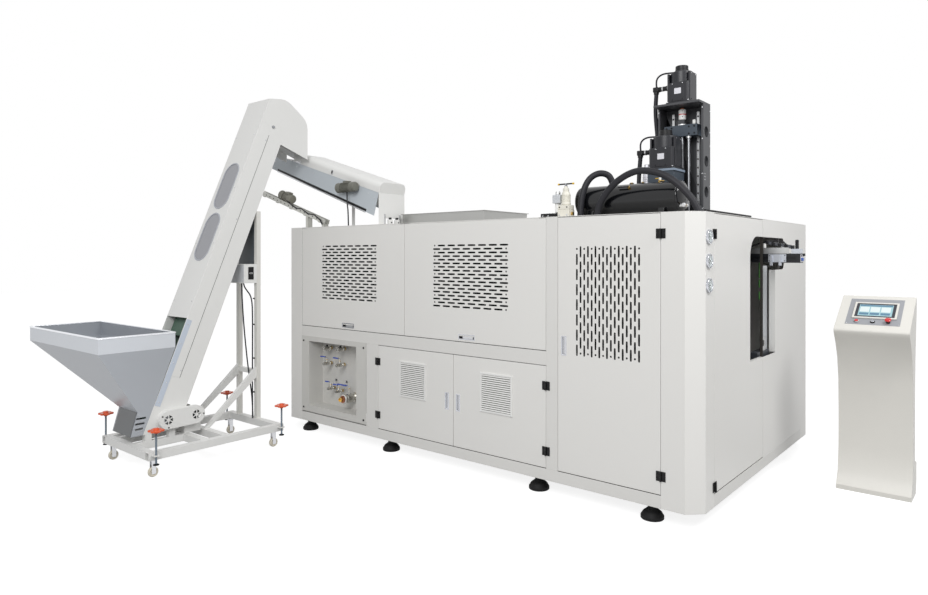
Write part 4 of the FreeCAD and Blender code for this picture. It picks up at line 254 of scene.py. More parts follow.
CABINET = painted("cabinet_powder_coat", "cabinet_white", (229, 228, 225), 0.42, spread=0.03, drift=0.9)
FRAME = painted("frame_powder_coat", "frame_grey", (223, 222, 219), 0.45, spread=0.04)
VENT = moulded("vent_moulding", "cabinet_white", (234, 234, 232), 0.36)
# grey that paints shade: in the gaps of the louvre vents and as a shadow line along the elevator's
# cover plates
SHADE_GREY = Finish("painted_shade_grey", "cabinet_white", (92, 92, 91), 0.6)
# dark brown strips behind the door gaps: painted shade
GAP_SHADE = Finish("door_gap_painted_shade", "cabinet_white", (52, 49, 46), 0.6, specular=0.25)
MAT = Finish("filter_mat_black", "cabinet_white", (12, 12, 13), 0.7, specular=0.1)
RUBBER = cast("foot_rubber_black", "foot_rubber", (16, 16, 17), 0.62, spread=0.15, drift=14.0,
              specular=0.25, depth=0.00008)
HINGE = cast("hinge_die_cast", "hinge_black", (13, 13, 14), 0.4, spread=0.15, drift=20.0, specular=0.25,
             depth=0.00004)
SHEET = painted("valve_recess_sheet", "box_sheet", (206, 205, 201), 0.45)
ZINC = cast("bright_zinc", "screw_steel", (206, 207, 210), 0.28, 1.0, spread=0.12, drift=30.0,
            depth=0.00002)
DARK_SCREW = cast("black_oxide", "hinge_black", (24, 24, 26), 0.36, 0.3, spread=0.15, drift=30.0,
                  specular=0.3, depth=0.00002)
CHROME = Finish("chrome_plate", "gauge_rim", (196, 198, 204), 0.12, 1.0, spread=0.03)
NICKEL = cast("nickel_valve", "valve_steel", (198, 196, 190), 0.24, 1.0, spread=0.16, drift=30.0,
              depth=0.00004)
BRASS = cast("brass_fitting", "valve_steel", (206, 172, 102), 0.27, 1.0, spread=0.14, drift=30.0)
COPPER = cast("copper_tail", "valve_steel", (146, 98, 76), 0.3, 1.0, spread=0.18, drift=24.0)
LEVER = moulded("lever_vinyl_blue", "lever_blue", (34, 70, 178), 0.34, coat=0.3, spread=0.08,
                drift=18.0)
DIAL = Finish("gauge_dial", "gauge_rim", (214, 215, 218), 0.4, spread=0.01)
INK = Finish("dial_ink", "hinge_black", (28, 28, 30), 0.5, spread=0.02)
GLASS = Finish("gauge_glass", "clear_pane", (240, 246, 246), 0.03, spread=0.0, transmission=1.0,
               depth=0.0)
STEEL = Finish("oven_stainless", "oven_steel", (176, 176, 174), 0.34, 1.0, grain=Grain.BRUSHED_X,
               depth=0.00003, spread=0.1, drift=4.0)
TANK = painted("tank_gloss_black", "tank_black", (14, 15, 18), 0.16, coat=0.2, spread=0.15, drift=5.0,
               specular=0.4)
SILVER = cast("fitting_anodised", "fitting_grey", (198, 199, 200), 0.32, 0.9, spread=0.08, drift=14.0)
CREAM = cast("regulator_enamel", "fitting_grey", (222, 219, 208), 0.36, spread=0.06, drift=12.0,
             depth=0.00004)
YELLOW = moulded("handle_yellow_vinyl", "handle_yellow", (222, 178, 44), 0.36)
HOSE = cast("hose_rubber", "hose_black", (30, 30, 35), 0.5, spread=0.12, drift=16.0, specular=0.3,
            depth=0.00006)
COLUMN = painted("column_dark_paint", "column_grey", (66, 67, 70), 0.46, spread=0.1, drift=4.0,
                 specular=0.4, depth=0.00005)
OUTER_PLATE = painted("column_olive_paint", "column_grey", (104, 105, 98), 0.46, spread=0.08, drift=4.0,
                      specular=0.4, depth=0.00005)
TOP_PLATE = painted("column_top_blue_grey", "column_grey", (132, 146, 162), 0.42, spread=0.06,
                    depth=0.00004)
STAND = painted("stand_dark_paint", "column_grey", (60, 69, 79), 0.42, spread=0.08, specular=0.4,
                depth=0.00004)
GROUND = Finish("ground_steel", "screw_steel", (150, 152, 156), 0.3, 1.0, grain=Grain.BRUSHED_Z,
                depth=0.00002, spread=0.06, drift=8.0)
MOTOR = cast("motor_black_enamel", "motor_black", (32, 33, 38), 0.36, spread=0.12, drift=10.0,
             specular=0.4, depth=0.00006)
NYLON = moulded("connector_nylon", "motor_black", (18, 18, 20), 0.42, spread=0.1, drift=20.0,
                specular=0.3)
PLATE = Finish("bare_rating_plate", "fitting_grey", (214, 214, 220), 0.34, 0.3, spread=0.05)
ALUMINIUM = Finish("mould_milled", "mould_aluminium", (206, 208, 212), 0.28, 1.0, grain=Grain.BRUSHED_X,
                   depth=0.00002, spread=0.06)
CLAMP = painted("clamp_paint", "mould_aluminium", (64, 68, 74), 0.42, spread=0.1, depth=0.00004)
BEAM = Finish("beam_anodised_black", "beam_black", (28, 29, 33), 0.34, grain=Grain.BRUSHED_X,
              depth=0.00002, spread=0.1, specular=0.35)
CARRIER = moulded("cable_carrier_grey", "beam_black", (74, 76, 82), 0.42, spread=0.1, drift=12.0)
GRIPPER = cast("gripper_bead_blasted", "gripper_aluminium", (192, 196, 204), 0.36, 0.9, depth=0.00004)
FEEDER = painted("feeder_powder_coat", "feeder_white", (229, 229, 227), 0.4, spread=0.03, drift=1.2)
TROUGH_SIDE = painted("trough_side_blue_grey", "feeder_white", (190, 197, 203), 0.42, spread=0.03)
GASKET = moulded("window_gasket", "hinge_black", (176, 179, 186), 0.5)
PANE = Finish("smoked_polycarbonate", "clear_pane", (160, 161, 167), 0.15, spread=0.08, drift=3.0,
              transmission=0.12, depth=0.00001)
BELT = cast("belt_pvc", "belt_grey", (72, 98, 84), 0.5, spread=0.12, drift=8.0, depth=0.0001)
HOPPER = Finish("hopper_stainless", "hopper_steel", (170, 174, 180), 0.36, 0.3, grain=Grain.BRUSHED_X,
                depth=0.00003, spread=0.07, drift=1.4)
WHEEL = moulded("castor_nylon_cream", "wheel_cream", (218, 211, 194), 0.42, spread=0.12, drift=16.0)
JACK = moulded("handwheel_orange", "jack_orange", (224, 88, 38), 0.36, coat=0.2, spread=0.08,
               drift=12.0)
CONTROL = painted("control_box_grey", "control_grey", (196, 199, 203), 0.4)
CHARCOAL = painted("charcoal_back_plate", "control_grey", (56, 64, 70), 0.45)
GEARMOTOR = cast("gearmotor_olive_grey", "gearmotor_grey", (108, 108, 100), 0.42, spread=0.12,
                 drift=14.0, depth=0.00008)
# olive grey gear motor paint made paler: painted highlight on the rail's gear motor
LIT_GEARMOTOR = cast("gearmotor_painted_highlight", "gearmotor_grey", (150, 148, 136), 0.42, spread=0.12, drift=14.0,
                  depth=0.00008)
RAIL = Finish("rail_aluminium", "feeder_white", (200, 200, 194), 0.34, 0.4, grain=Grain.BRUSHED_X,
              depth=0.00002, spread=0.05)
CONSOLE = painted("console_powder_coat", "console_white", (216, 214, 208), 0.4, spread=0.03)
CONSOLE_PLATE = Finish("console_plate_grey", "screen_housing", (150, 152, 157), 0.42,
                       grain=Grain.BRUSHED_X, depth=0.00002)
BEZEL = moulded("screen_bezel", "screen_housing", (38, 41, 50), 0.36)
SCREEN = Finish("screen_glass_pale", "screen_housing", (150, 190, 198), 0.1, coat=0.5, spread=0.03,
                depth=0.0)
SCREEN_BAR = Finish("screen_bar_blue", "screen_housing", (74, 118, 146), 0.1, coat=0.5, spread=0.03,
                    depth=0.0)
SCREEN_TILE = Finish("screen_tile_white", "screen_housing", (214, 226, 226), 0.1, coat=0.5, spread=0.03,
                     depth=0.0)
BUTTON = moulded("button_red_moulding", "button_red", (200, 26, 30), 0.26, coat=0.4, spread=0.06,
                 drift=20.0)
BLUE_BLOCK = moulded("sensor_blue", "beam_black", (38, 84, 168), 0.36)
# rolled rim's steel, lighter than the walls' steel as painted sheen
HOPPER_RIM_SHEEN = Finish("hopper_rim_painted_sheen", "hopper_steel", (232, 234, 238), 0.2, 1.0,
                    grain=Grain.BRUSHED_X, depth=0.00002, spread=0.04)
CREAM_POST = painted("post_warm_white_paint", "feeder_white", (224, 223, 218), 0.4, spread=0.03)
HOPPER_BAND = Finish("hopper_rim_band", "hopper_steel", (214, 218, 224), 0.36, 0.2,
                     grain=Grain.BRUSHED_X, depth=0.00002, spread=0.04)
STRIP = painted("casing_strip_zinc", "feeder_white", (196, 205, 218), 0.4, spread=0.03)
BOOT = painted("boot_cover_grey", "hopper_steel", (98, 100, 102), 0.42, spread=0.05)
JACK_STEM = Finish("jack_stem_steel", "screw_steel", (98, 110, 122), 0.36, 0.3, spread=0.06)
GREEN_TUBE = moulded("air_tube_green", "beam_black", (96, 168, 84), 0.3)


# ---------------------------------------------------------------- modelling
X, Y, Z = Vector((1, 0, 0)), Vector((0, 1, 0)), Vector((0, 0, 1))
LEFT, FRONT, DOWN = -X, -Y, -Z
HERE = Matrix.Identity(4)  # placement that changes nothing


def join(part: bmesh.types.BMesh, points: Sequence[Point],
         closed: bool = False) -> list[bmesh.types.BMEdge]:
    """Edges from point to point, and back to the first where the line is closed."""
    verts = [part.verts.new(point) for point in points]
    ends = verts[1:] + verts[:1] if closed else verts[1:]
    return [part.edges.new(pair) for pair in zip(verts, ends)]


def rounded(part: bmesh.types.BMesh, edges: Sequence[bmesh.types.BMEdge], width: float,
            steps: int) -> None:
    """Round some edges of a shape."""
    bmesh.ops.bevel(part, geom=edges, offset=width, segments=steps, profile=0.5, affect="EDGES",
                    material=-1)


def pushed(part: bmesh.types.BMesh, grown: dict[str, list], by: Sequence[float]) -> None:
    """Move what an extrusion made."""
    moved = [g for g in grown["geom"] if isinstance(g, bmesh.types.BMVert)]
    bmesh.ops.translate(part, vec=by, verts=moved)


def obround(part: bmesh.types.BMesh, centre: Vector, width: float, height: float, sides: int) -> None:
    """Edge loop of an obround in X and Z, made from a circle drawn out along its length."""
    radius = min(width, height) / 2
    place = Matrix.Translation(centre) @ Matrix.Rotation(math.pi / 2, 4, "X")
    circle = bmesh.ops.create_circle(part, cap_ends=False, segments=sides, radius=radius, matrix=place)
    for vert in circle["verts"]:
        for axis, size in ((0, width), (2, height)):
            offset = vert.co[axis] - centre[axis]
            if abs(offset) > TINY:
                vert.co[axis] += math.copysign(size / 2 - radius, offset)


def filled(part: bmesh.types.BMesh) -> None:
    """Fill a shape's edge loops with triangles, facing the front."""
    bmesh.ops.triangle_fill(part, use_beauty=True, use_dissolve=False, edges=part.edges[:],
                            normal=FRONT)


def facing(centre: Sequence[float], axis: Vector) -> Matrix:
    """Placement that carries local Z to a direction at a point."""
    turn = Z.rotation_difference(axis).to_matrix().to_4x4()
    return Matrix.Translation(Vector(centre)) @ turn


class Form:
    """A piece in the making, drawn in machine axes out of several shapes and finishes."""

    def __init__(self, name: str) -> None:
        """Start an empty piece."""
        self.name = name
        self.bm = bmesh.new()
        self.finishes: list[Finish] = []

    def paint(self, faces: Iterable[bmesh.types.BMFace], finish: Finish) -> None:
        """Give faces a finish, as a material index of this piece."""
        if finish not in self.finishes:
            self.finishes.append(finish)
        slot = self.finishes.index(finish)
        for face in faces:
            face.material_index = slot

    def take(self, part: bmesh.types.BMesh) -> None:
        """Add a finished shape to the piece and free it."""
        scratch = bpy.data.meshes.new("scratch")
        part.to_mesh(scratch)
        part.free()
        self.bm.from_mesh(scratch)
        bpy.data.meshes.remove(scratch)

    @contextmanager
    def shape(self, finish: Finish, place: Matrix = HERE,
              outward: bool = True) -> Iterator[bmesh.types.BMesh]:
        """Shape that joins the piece when the block ends.

        Args:
            finish: the shape's finish.
            place: where the shape goes.
            outward: turn its faces outwards, which an open or walled shape does itself.

        Yields:
            The bmesh that the shape is made in.
        """
        part = bmesh.new()
        yield part
        bmesh.ops.transform(part, matrix=place, verts=part.verts)
        if outward:
            bmesh.ops.recalc_face_normals(part, faces=part.faces)
        self.paint(part.faces, finish)
        self.take(part)

    def block(self, finish: Finish, low: Sequence[float], high: Sequence[float],
              round_by: float = 0.0, steps: int = 2, place: Matrix = HERE) -> None:
        """Block between two corners.

        Args:
            finish: the block's finish.
            low: its lowest corner.
            high: its highest corner.
            round_by: radius of its edges.
            steps: segments of each rounded edge.
            place: placement applied after it is drawn.
        """
        low, high = Vector(low), Vector(high)
        with self.shape(finish, place) as part:
            bmesh.ops.create_cube(part, size=1.0)
            bmesh.ops.scale(part, vec=high - low, verts=part.verts)
            bmesh.ops.translate(part, vec=(low + high) / 2, verts=part.verts)
            if round_by:
                rounded(part, part.edges[:], round_by, steps)

    def rod(self, finish: Finish, start: Sequence[float], end: Sequence[float], radius: float,
            sides: int, round_by: float = 0.0) -> None:
        """Round or many-sided bar between two points.

        Args:
            finish: the bar's finish.
            start: centre of one end.
            end: centre of the other end.
            radius: its radius.
            sides: number of sides.
            round_by: radius of its end edges.
        """
        start, end = Vector(start), Vector(end)
        line = end - start
        with self.shape(finish, facing((start + end) / 2, line.normalized())) as part:
            bmesh.ops.create_cone(part, cap_ends=True, segments=sides, radius1=radius, radius2=radius,
                                  depth=line.length)
            if round_by:
                rims = [e for e in part.edges if abs(e.verts[0].co.z - e.verts[1].co.z) < TINY]
                rounded(part, rims, round_by, 2)

    def turned(self, finish: Finish, profile: Sequence[Flat], centre: Sequence[float],
               axis: Vector = Z, steps: int = 32) -> None:
        """Shape turned about an axis.

        Args:
            finish: its finish.
            profile: points of (radius, height), on the axis at both ends or closed on itself.
            centre: where height is 0 on the axis.
            axis: direction of the axis.
            steps: number of sides.
        """
        with self.shape(finish, facing(centre, axis)) as part:
            join(part, [(r, 0, h) for r, h in profile])
            bmesh.ops.spin(part, geom=part.verts[:] + part.edges[:], cent=(0, 0, 0),
                           axis=(0, 0, 1), angle=2 * math.pi, steps=steps, use_merge=True)
            bmesh.ops.remove_doubles(part, verts=part.verts, dist=TINY)

    def prism(self, finish: Finish, outline: Sequence[Flat], axis: Vector, span: Flat,
              round_by: float = 0.0, steps: int = 2, place: Matrix = HERE) -> None:
        """Outline carried along an axis.

        Args:
            finish: its finish.
            outline: corners, as (y, z) for X, (x, z) for Y and (x, y) for Z.
            axis: the axis that it is carried along.
            span: where it starts and ends on that axis.
            round_by: radius of its edges.
            steps: segments of each rounded edge.
            place: placement applied after it is drawn.
        """
        turn = list(axis).index(1)
        corners = [(*point[:turn], span[0], *point[turn:]) for point in outline]
        with self.shape(finish, place) as part:
            face = part.faces.new([part.verts.new(corner) for corner in corners])
            pushed(part, bmesh.ops.extrude_face_region(part, geom=[face]), axis * (span[1] - span[0]))
            if round_by:
                rounded(part, part.edges[:], round_by, steps)

    def ring(self, finish: Finish, centre: Sequence[float], axis: Vector, outer: float,
             inner: float, depth: float, sides: int = 32) -> None:
        """Flat ring with rounded rims, standing off a point along its axis."""
        soft = min(depth, outer - inner) * 0.2
        self.turned(finish, [(inner, 0), (outer, 0), (outer, depth - soft), (outer - soft, depth),
                             (inner + soft, depth), (inner, depth - soft), (inner, 0)],
                    centre, axis, sides)

    def pipe(self, finish: Finish, points: Sequence[Sequence[float]], radius: float,
             sides: int) -> None:
        """Bent pipe through a few points, as rings bridged one to the next."""
        line = [Vector(p) for p in points]
        with self.shape(finish) as part:
            loops = []
            for i, point in enumerate(line):
                along = (line[min(i + 1, len(line) - 1)] - line[max(i - 1, 0)]).normalized()
                made = bmesh.ops.create_circle(part, cap_ends=i in (0, len(line) - 1),
                                               segments=sides, radius=radius,
                                               matrix=facing(point, along))
                loops.append({e for v in made["verts"] for e in v.link_edges})
            for a, b in zip(loops, loops[1:]):
                bmesh.ops.bridge_loops(part, edges=list(a | b))

    def screw(self, finish: Finish, centre: Sequence[float], axis: Vector,
              radius: float = 0.005) -> None:
        """Socket head screw: rounded head with its six-sided recess."""
        height = radius * 0.7
        self.turned(finish, [(0, 0), (radius, 0), (radius, height * 0.7), (radius * 0.82, height),
                             (radius * 0.5, height), (radius * 0.42, height * 0.5),
                             (0, height * 0.5)], centre, axis, 12)

    def screws(self, finish: Finish, xs: Iterable[float], ys: Iterable[float], zs: Iterable[float],
               axis: Vector, radius: float = 0.005) -> None:
        """A screw at every mix of some places along each axis."""
        for centre in product(xs, ys, zs):
            self.screw(finish, centre, axis, radius)

    def done(self, body: str, replaces: Sequence[str], soften: float = 0.0,
             angle: float = 32.0) -> bpy.types.Object:
        """Finish the piece and hang it on its body.

        Args:
            body: the body that it rides on.
            replaces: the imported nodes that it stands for.
            soften: width of a live bevel on its sharp edges.
            angle: edges sharper than this many degrees stay sharp.

        Returns:
            The piece's object.
        """
        bmesh.ops.translate(self.bm, vec=ORIGIN, verts=self.bm.verts)
        mesh = bpy.data.meshes.new(self.name)
        self.bm.to_mesh(mesh)
        self.bm.free()
        piece = in_scene(self.name, mesh)
        for finish in self.finishes:
            mesh.materials.append(finish.material())
        mesh.shade_smooth()
        mesh.set_sharp_from_angle(angle=math.radians(angle))
        if soften:
            bevel = piece.modifiers.new("soft_edges", "BEVEL")
            bevel.width = soften
            bevel.segments = 2
            bevel.limit_method = "ANGLE"
            bevel.angle_limit = math.radians(angle)
            bevel.use_clamp_overlap = True
        weighted = piece.modifiers.new("even_shading", "WEIGHTED_NORMAL")
        weighted.keep_sharp = True
        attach(piece, body)
        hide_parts(*replaces)
        LOG.info("%s on %s", self.name, body)
        return piece


def packed(node: str) -> bmesh.types.BMesh:
    """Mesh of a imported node, with its loose triangles merged."""
    part = bmesh.new()
    part.from_mesh(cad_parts[node].data)
    bmesh.ops.remove_doubles(part, verts=part.verts, dist=WELD)
    return part


Chooser = Callable[[Vector, Vector], Finish]


def copied(form: Form, node: str, finish: Finish | Chooser) -> None:
    """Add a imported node's solids to a piece, merged and with their flat faces whole."""
    part = packed(node)
    bmesh.ops.dissolve_limit(part, angle_limit=math.radians(1.0), verts=part.verts,
                             edges=part.edges)
    bmesh.ops.translate(part, vec=-ORIGIN, verts=part.verts)
    for faces in solids_of(part):
        corners = [v.co for face in faces for v in face.verts]
        low = Vector([min(c[i] for c in corners) for i in range(3)])
        high = Vector([max(c[i] for c in corners) for i in range(3)])
        form.paint(faces, finish if isinstance(finish, Finish) else finish(low, high))
    form.take(part)


def solids_of(part: bmesh.types.BMesh) -> list[list[bmesh.types.BMFace]]:
    """Faces of a mesh in groups that hang together."""
    groups, seen = [], set()
    for first in part.faces:
        if first in seen:
            continue
        group, queue = [], [first]
        seen.add(first)
        while queue:
            face = queue.pop()
            group.append(face)
            for edge in face.edges:
                for other in edge.link_faces:
                    if other not in seen:
                        seen.add(other)
                        queue.append(other)
        groups.append(group)
    return groups


def carried(node: str, body: str, finish: Finish | Chooser, soften: float) -> None:
    """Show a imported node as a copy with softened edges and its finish."""
    form = Form(node + "_shell")
    copied(form, node, finish)
    form.done(body, [node], soften)


# ---------------------------------------------------------------- stage and camera
@dataclass
class Studio:
    """Camera at the photograph's angle, pale floor and soft light."""

    place: Point = (1.5636, -3.9189, 1.6333)
    azimuth: float = 39.8
    focal_pixels: float = 678.0
    frame_pixels: tuple[int, int] = (928, 595)
    horizon_pixel: float = 256.0
    sensor: float = 36.0
    floor_size: float = 60.0
    ambient: float = 0.50
    floor_tone: float = 0.35
    floor_glow: float = 0.85
    key_power: float = 300.0
    fill_power: float = 108.0

    def build(self) -> None:
        """Make the camera, the floor, the world and the lamps."""
        self.camera()
        self.floor()
        self.world()
        self.lamp("key", (0.8, -6.0, 5.2), (-1.2, 0.0, 1.2), 3.5, self.key_power)
        self.lamp("fill", (3.0, 0.1, 4.7), (0.1, 1.0, 1.2), 1.6, self.fill_power)

    def camera(self) -> None:
        """Level camera with the vertical shift of the photograph."""
        data = bpy.data.cameras.new("camera")
        width, height = self.frame_pixels
        data.sensor_width = self.sensor
        data.lens = self.focal_pixels * self.sensor / width
        data.shift_y = (self.horizon_pixel - height / 2) / width
        data.clip_end = 200.0
        eye = in_scene("camera", data)
        eye.location = ORIGIN + Vector(self.place)
        eye.rotation_euler = (math.radians(90), 0.0, math.radians(self.azimuth))
        bpy.context.scene.camera = eye

    def floor(self) -> None:
        """Pale floor that keeps the machine's shadow."""
        mesh = bpy.data.meshes.new("studio_floor")
        plane = bmesh.new()
        bmesh.ops.create_grid(plane, x_segments=1, y_segments=1, size=self.floor_size / 2)
        plane.to_mesh(mesh)
        plane.free()
        floor = in_scene("studio_floor", mesh)
        made = bpy.data.materials.new("pale_floor")
        made.use_nodes = True
        tree = made.node_tree
        glow = math_node(tree, "MULTIPLY", self.seen(tree), self.floor_glow)
        for label, value in {"Base Color": (*[self.floor_tone] * 3, 1.0), "Roughness": 0.9,
                             "Specular IOR Level": 0.0, "Emission Color": (1.0, 1.0, 1.0, 1.0),
                             "Emission Strength": glow}.items():
            put(tree, tree.nodes["Principled BSDF"].inputs[label], value)
        mesh.materials.append(made)

    @staticmethod
    def seen(tree: bpy.types.ShaderNodeTree) -> bpy.types.NodeSocket:
        """Value that is 1 for rays that show the background: camera, mirror and glass."""
        path = tree.nodes.new("ShaderNodeLightPath")
        first = math_node(tree, "MAXIMUM", path.outputs["Is Camera Ray"], path.outputs["Is Glossy Ray"])
        return math_node(tree, "MAXIMUM", first, path.outputs["Is Transmission Ray"])

    def world(self) -> None:
        """White backdrop, and plain ambient light for everything else."""
        world = bpy.data.worlds.new("studio")
        bpy.context.scene.world = world
        world.use_nodes = True
        tree = world.node_tree
        background = tree.nodes["Background"].inputs
        put(tree, background["Color"], (1.0, 1.0, 1.0, 1.0))
        extra = math_node(tree, "MULTIPLY", self.seen(tree), 1.0 - self.ambient)
        put(tree, background["Strength"], math_node(tree, "ADD", extra, self.ambient))

    @staticmethod
    def lamp(name: str, place: Point, aim: Point, size: float, power: float) -> None:
        """Soft square lamp."""
        data = bpy.data.lights.new(name, "AREA")
        data.size = size
        data.energy = power
        lamp = in_scene(name, data)
        lamp.location = ORIGIN + Vector(place)
        lamp.rotation_euler = (Vector(aim) - Vector(place)).to_track_quat("-Z", "Y").to_euler()


# ---------------------------------------------------------------- cords
@dataclass(frozen=True)
class Route:
    """A free cord: its name, radius, finish and the points of its route."""

    name: str
    node: str
    radius: float
    length: float
    lay: str
    points: tuple[Point, ...]
    finish: Finish = HOSE
    stiffness: str = "medium"

    def build(self) -> bpy.types.Object:
        """Make the cord as one smooth curve."""
        data = bpy.data.curves.new(self.name, "CURVE")
        data.dimensions = "3D"
        data.bevel_depth = self.radius
        data.bevel_resolution = 6
        data.use_fill_caps = True
        spline = data.splines.new("NURBS")
        spline.points.add(len(self.points) - 1)
        for knot, point in zip(spline.points, self.points):
            knot.co = (*(ORIGIN + Vector(point)), 1.0)
        spline.order_u = 3
        spline.use_endpoint_u = True
        spline.resolution_u = 12
        piece = in_scene(self.name, data)
        data.materials.append(self.finish.material())
        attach(piece, "machine")
        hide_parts(self.node)
        LOG.info("%s, %.3f m", self.name, self.length)
        return piece


ROUTES = (
    Route("long_air_hose", "air_hoses", 0.022, 0.974, "loose",
          ((-0.699, 0.212, 1.900), (-0.690, 0.208, 1.960), (-0.646, 0.205, 2.035),
           (-0.587, 0.202, 2.098), (-0.521, 0.200, 2.145), (-0.449, 0.200, 2.178),
           (-0.379, 0.200, 2.191), (-0.290, 0.201, 2.178), (-0.203, 0.202, 2.144),
           (-0.125, 0.204, 2.085), (-0.062, 0.207, 2.020), (-0.015, 0.211, 1.955),
           (0.008, 0.214, 1.900))),
    Route("short_air_hose", "air_hoses", 0.022, 0.500, "loose",
          ((-0.841, 0.235, 1.900), (-0.839, 0.237, 1.975), (-0.832, 0.243, 2.050),
           (-0.815, 0.256, 2.123), (-0.786, 0.278, 2.181), (-0.743, 0.311, 2.211),
           (-0.700, 0.343, 2.207), (-0.672, 0.364, 2.178), (-0.662, 0.372, 2.130))),
    Route("upper_motor_conduit", "motor_cables", 0.015, 0.885, "hanging",
          ((-0.502, 0.730, 2.798), (-0.508, 0.731, 2.730), (-0.511, 0.736, 2.655),
           (-0.508, 0.744, 2.575), (-0.503, 0.753, 2.480), (-0.500, 0.760, 2.370),
           (-0.502, 0.764, 2.240), (-0.504, 0.762, 2.100), (-0.501, 0.758, 1.990),
           (-0.500, 0.757, 1.915))),
    Route("lower_motor_conduit", "motor_cables", 0.015, 0.434, "hanging",
          ((-0.564, 0.600, 2.333), (-0.569, 0.600, 2.280), (-0.573, 0.598, 2.215),
           (-0.575, 0.596, 2.140), (-0.573, 0.594, 2.060), (-0.568, 0.593, 1.980),
           (-0.565, 0.592, 1.900))),
    Route("upper_encoder_lead", "motor_cables", 0.006, 0.209, "loose",
          ((-0.359, 0.730, 2.932), (-0.405, 0.730, 2.936), (-0.455, 0.730, 2.938),
           (-0.492, 0.730, 2.920), (-0.505, 0.730, 2.886), (-0.500, 0.730, 2.848))),
    Route("lower_encoder_lead", "motor_cables", 0.006, 0.208, "loose",
          ((-0.421, 0.600, 2.467), (-0.467, 0.600, 2.471), (-0.517, 0.600, 2.472),
           (-0.554, 0.600, 2.454), (-0.567, 0.600, 2.420), (-0.562, 0.600, 2.383))),
    Route("unscrambler_lead", "feeder_cables", 0.006, 0.305, "hanging",
          ((-3.1151, 0.0637, 2.2044), (-3.1141, 0.0637, 2.1664), (-3.1111, 0.0627, 2.1214),
           (-3.1051, 0.0617, 2.0764), (-3.0991, 0.0637, 2.0314), (-3.0971, 0.0657, 1.9000))),
    Route("clipped_cart_lead", "feeder_cables", 0.006, 1.220, "hanging",
          ((-3.795, -0.546, 1.395), (-3.791, -0.544, 1.365), (-3.771, -0.530, 1.329),
           (-3.745, -0.508, 1.285), (-3.735, -0.498, 1.220), (-3.733, -0.496, 1.115),
           (-3.733, -0.495, 0.975), (-3.733, -0.497, 0.695), (-3.733, -0.495, 0.195))),
    Route("loose_cart_lead", "feeder_cables", 0.006, 1.205, "hanging",
          ((-3.781, -0.574, 1.395), (-3.779, -0.574, 1.335), (-3.773, -0.570, 1.195),
           (-3.767, -0.560, 1.015), (-3.763, -0.544, 0.835), (-3.760, -0.524, 0.655),
           (-3.758, -0.500, 0.495), (-3.757, -0.482, 0.355), (-3.757, -0.476, 0.195))),
)


# ---------------------------------------------------------------- cabinet
@dataclass(frozen=True)
class Cabinet:
    """Frame, folded corners, bolted panels, roof and machine feet."""

    rubber_radius: float = 0.072
    neck_radius: float = 0.028
    neck_top: float = 0.088
    frame_base: float = 0.100

    def build(self) -> None:
        """Make the cabinet's fixed pieces."""
        carried("cabinet_frame", "machine", FRAME, 0.003)
        carried("corner_columns", "machine", CABINET, 0.0012)
        self.panels()
        self.roof()
        self.feet()

    def panels(self) -> None:
        """Bolted panels and the folded return at the outfeed window."""
        form = Form("side_panels_shell")
        copied(form, "side_panels", CABINET)
        form.block(CABINET, (CHAMFER - 0.045, 1.5255, 0.908), (CHAMFER - 0.0015, 1.529, 1.528))
        form.done("machine", ["side_panels"], 0.0012)

    def roof(self) -> None:
        """Roof sheet and the black gasket along its right edge."""
        form = Form("roof_shell")
        copied(form, "roof_panel", lambda low, high: RUBBER if high.z > ROOF + 0.005 else CABINET)
        form.done("machine", ["roof_panel"], 0.001)

    def feet(self) -> None:
        """Rubber machine mounts with ribs, each with a black hexagon nut up to the frame."""
        form = Form("machine_mounts")
        low, high = span_of("levelling_feet")
        inset = self.rubber_radius
        rows = (low.y + inset, high.y - inset)
        for y in rows:
            for x in self.places():
                self.mount(form, x, y)
        form.done("machine", ["levelling_feet"])

    @staticmethod
    def places() -> list[float]:
        """X of the mounts along each side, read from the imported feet."""
        part = packed("levelling_feet")
        centres = set()
        for faces in solids_of(part):
            xs = [v.co.x for face in faces for v in face.verts]
            centres.add(round((min(xs) + max(xs)) / 2 - ORIGIN.x, 3))
        part.free()
        return sorted(centres)

    def mount(self, form: Form, x: float, y: float) -> None:
        """One machine mount."""
        r, n, top = self.rubber_radius, self.neck_radius, self.neck_top
        form.turned(RUBBER,
                    [(0, 0), (r - 0.004, 0), (r, 0.004), (r, 0.010), (r - 0.002, 0.012), (r, 0.014),
                     (r, 0.021), (r - 0.003, 0.026), (r - 0.007, 0.030), (r - 0.012, 0.041),
                     (r - 0.022, 0.050), (r - 0.034, 0.057), (n + 0.010, 0.060), (n + 0.002, 0.063),
                     (n, 0.066), (n, 0.070), (n - 0.002, 0.072), (n, 0.074), (n, top - 0.004),
                     (n - 0.003, top), (0, top)], (x, y, 0), steps=40)
        form.rod(DARK_SCREW, (x, y, top), (x, y, self.frame_base - CLEAR), 0.0198, 6, 0.0015)


# ---------------------------------------------------------------- doors
def rectangle(a0: float, a1: float, b0: float, b1: float) -> tuple[Flat, ...]:
    """Corners of a rectangle, in order."""
    return ((a0, b0), (a1, b0), (a1, b1), (a0, b1))


def border(a0: float, a1: float, b0: float, b1: float, rim: float) -> tuple[tuple[Flat, Flat], ...]:
    """Lowest and highest corner of the four bars inside a rectangle's edge."""
    return (((a0, b0), (a1, b0 + rim)), ((a0, b1 - rim), (a1, b1)),
            ((a0, b0 + rim), (a0 + rim, b1 - rim)), ((a1 - rim, b0 + rim), (a1, b1 - rim)))


@dataclass(frozen=True)
class Opening:
    """Slot or pull in a door's face, by its lowest corner and its size."""

    across: float
    up: float
    width: float
    height: float

    def sides(self) -> tuple[float, float, float, float]:
        """Where it starts and ends, across the door and up it."""
        return self.across, self.across + self.width, self.up, self.up + self.height

    def corners(self) -> tuple[Flat, ...]:
        """Its corners, in order."""
        return rectangle(*self.sides())


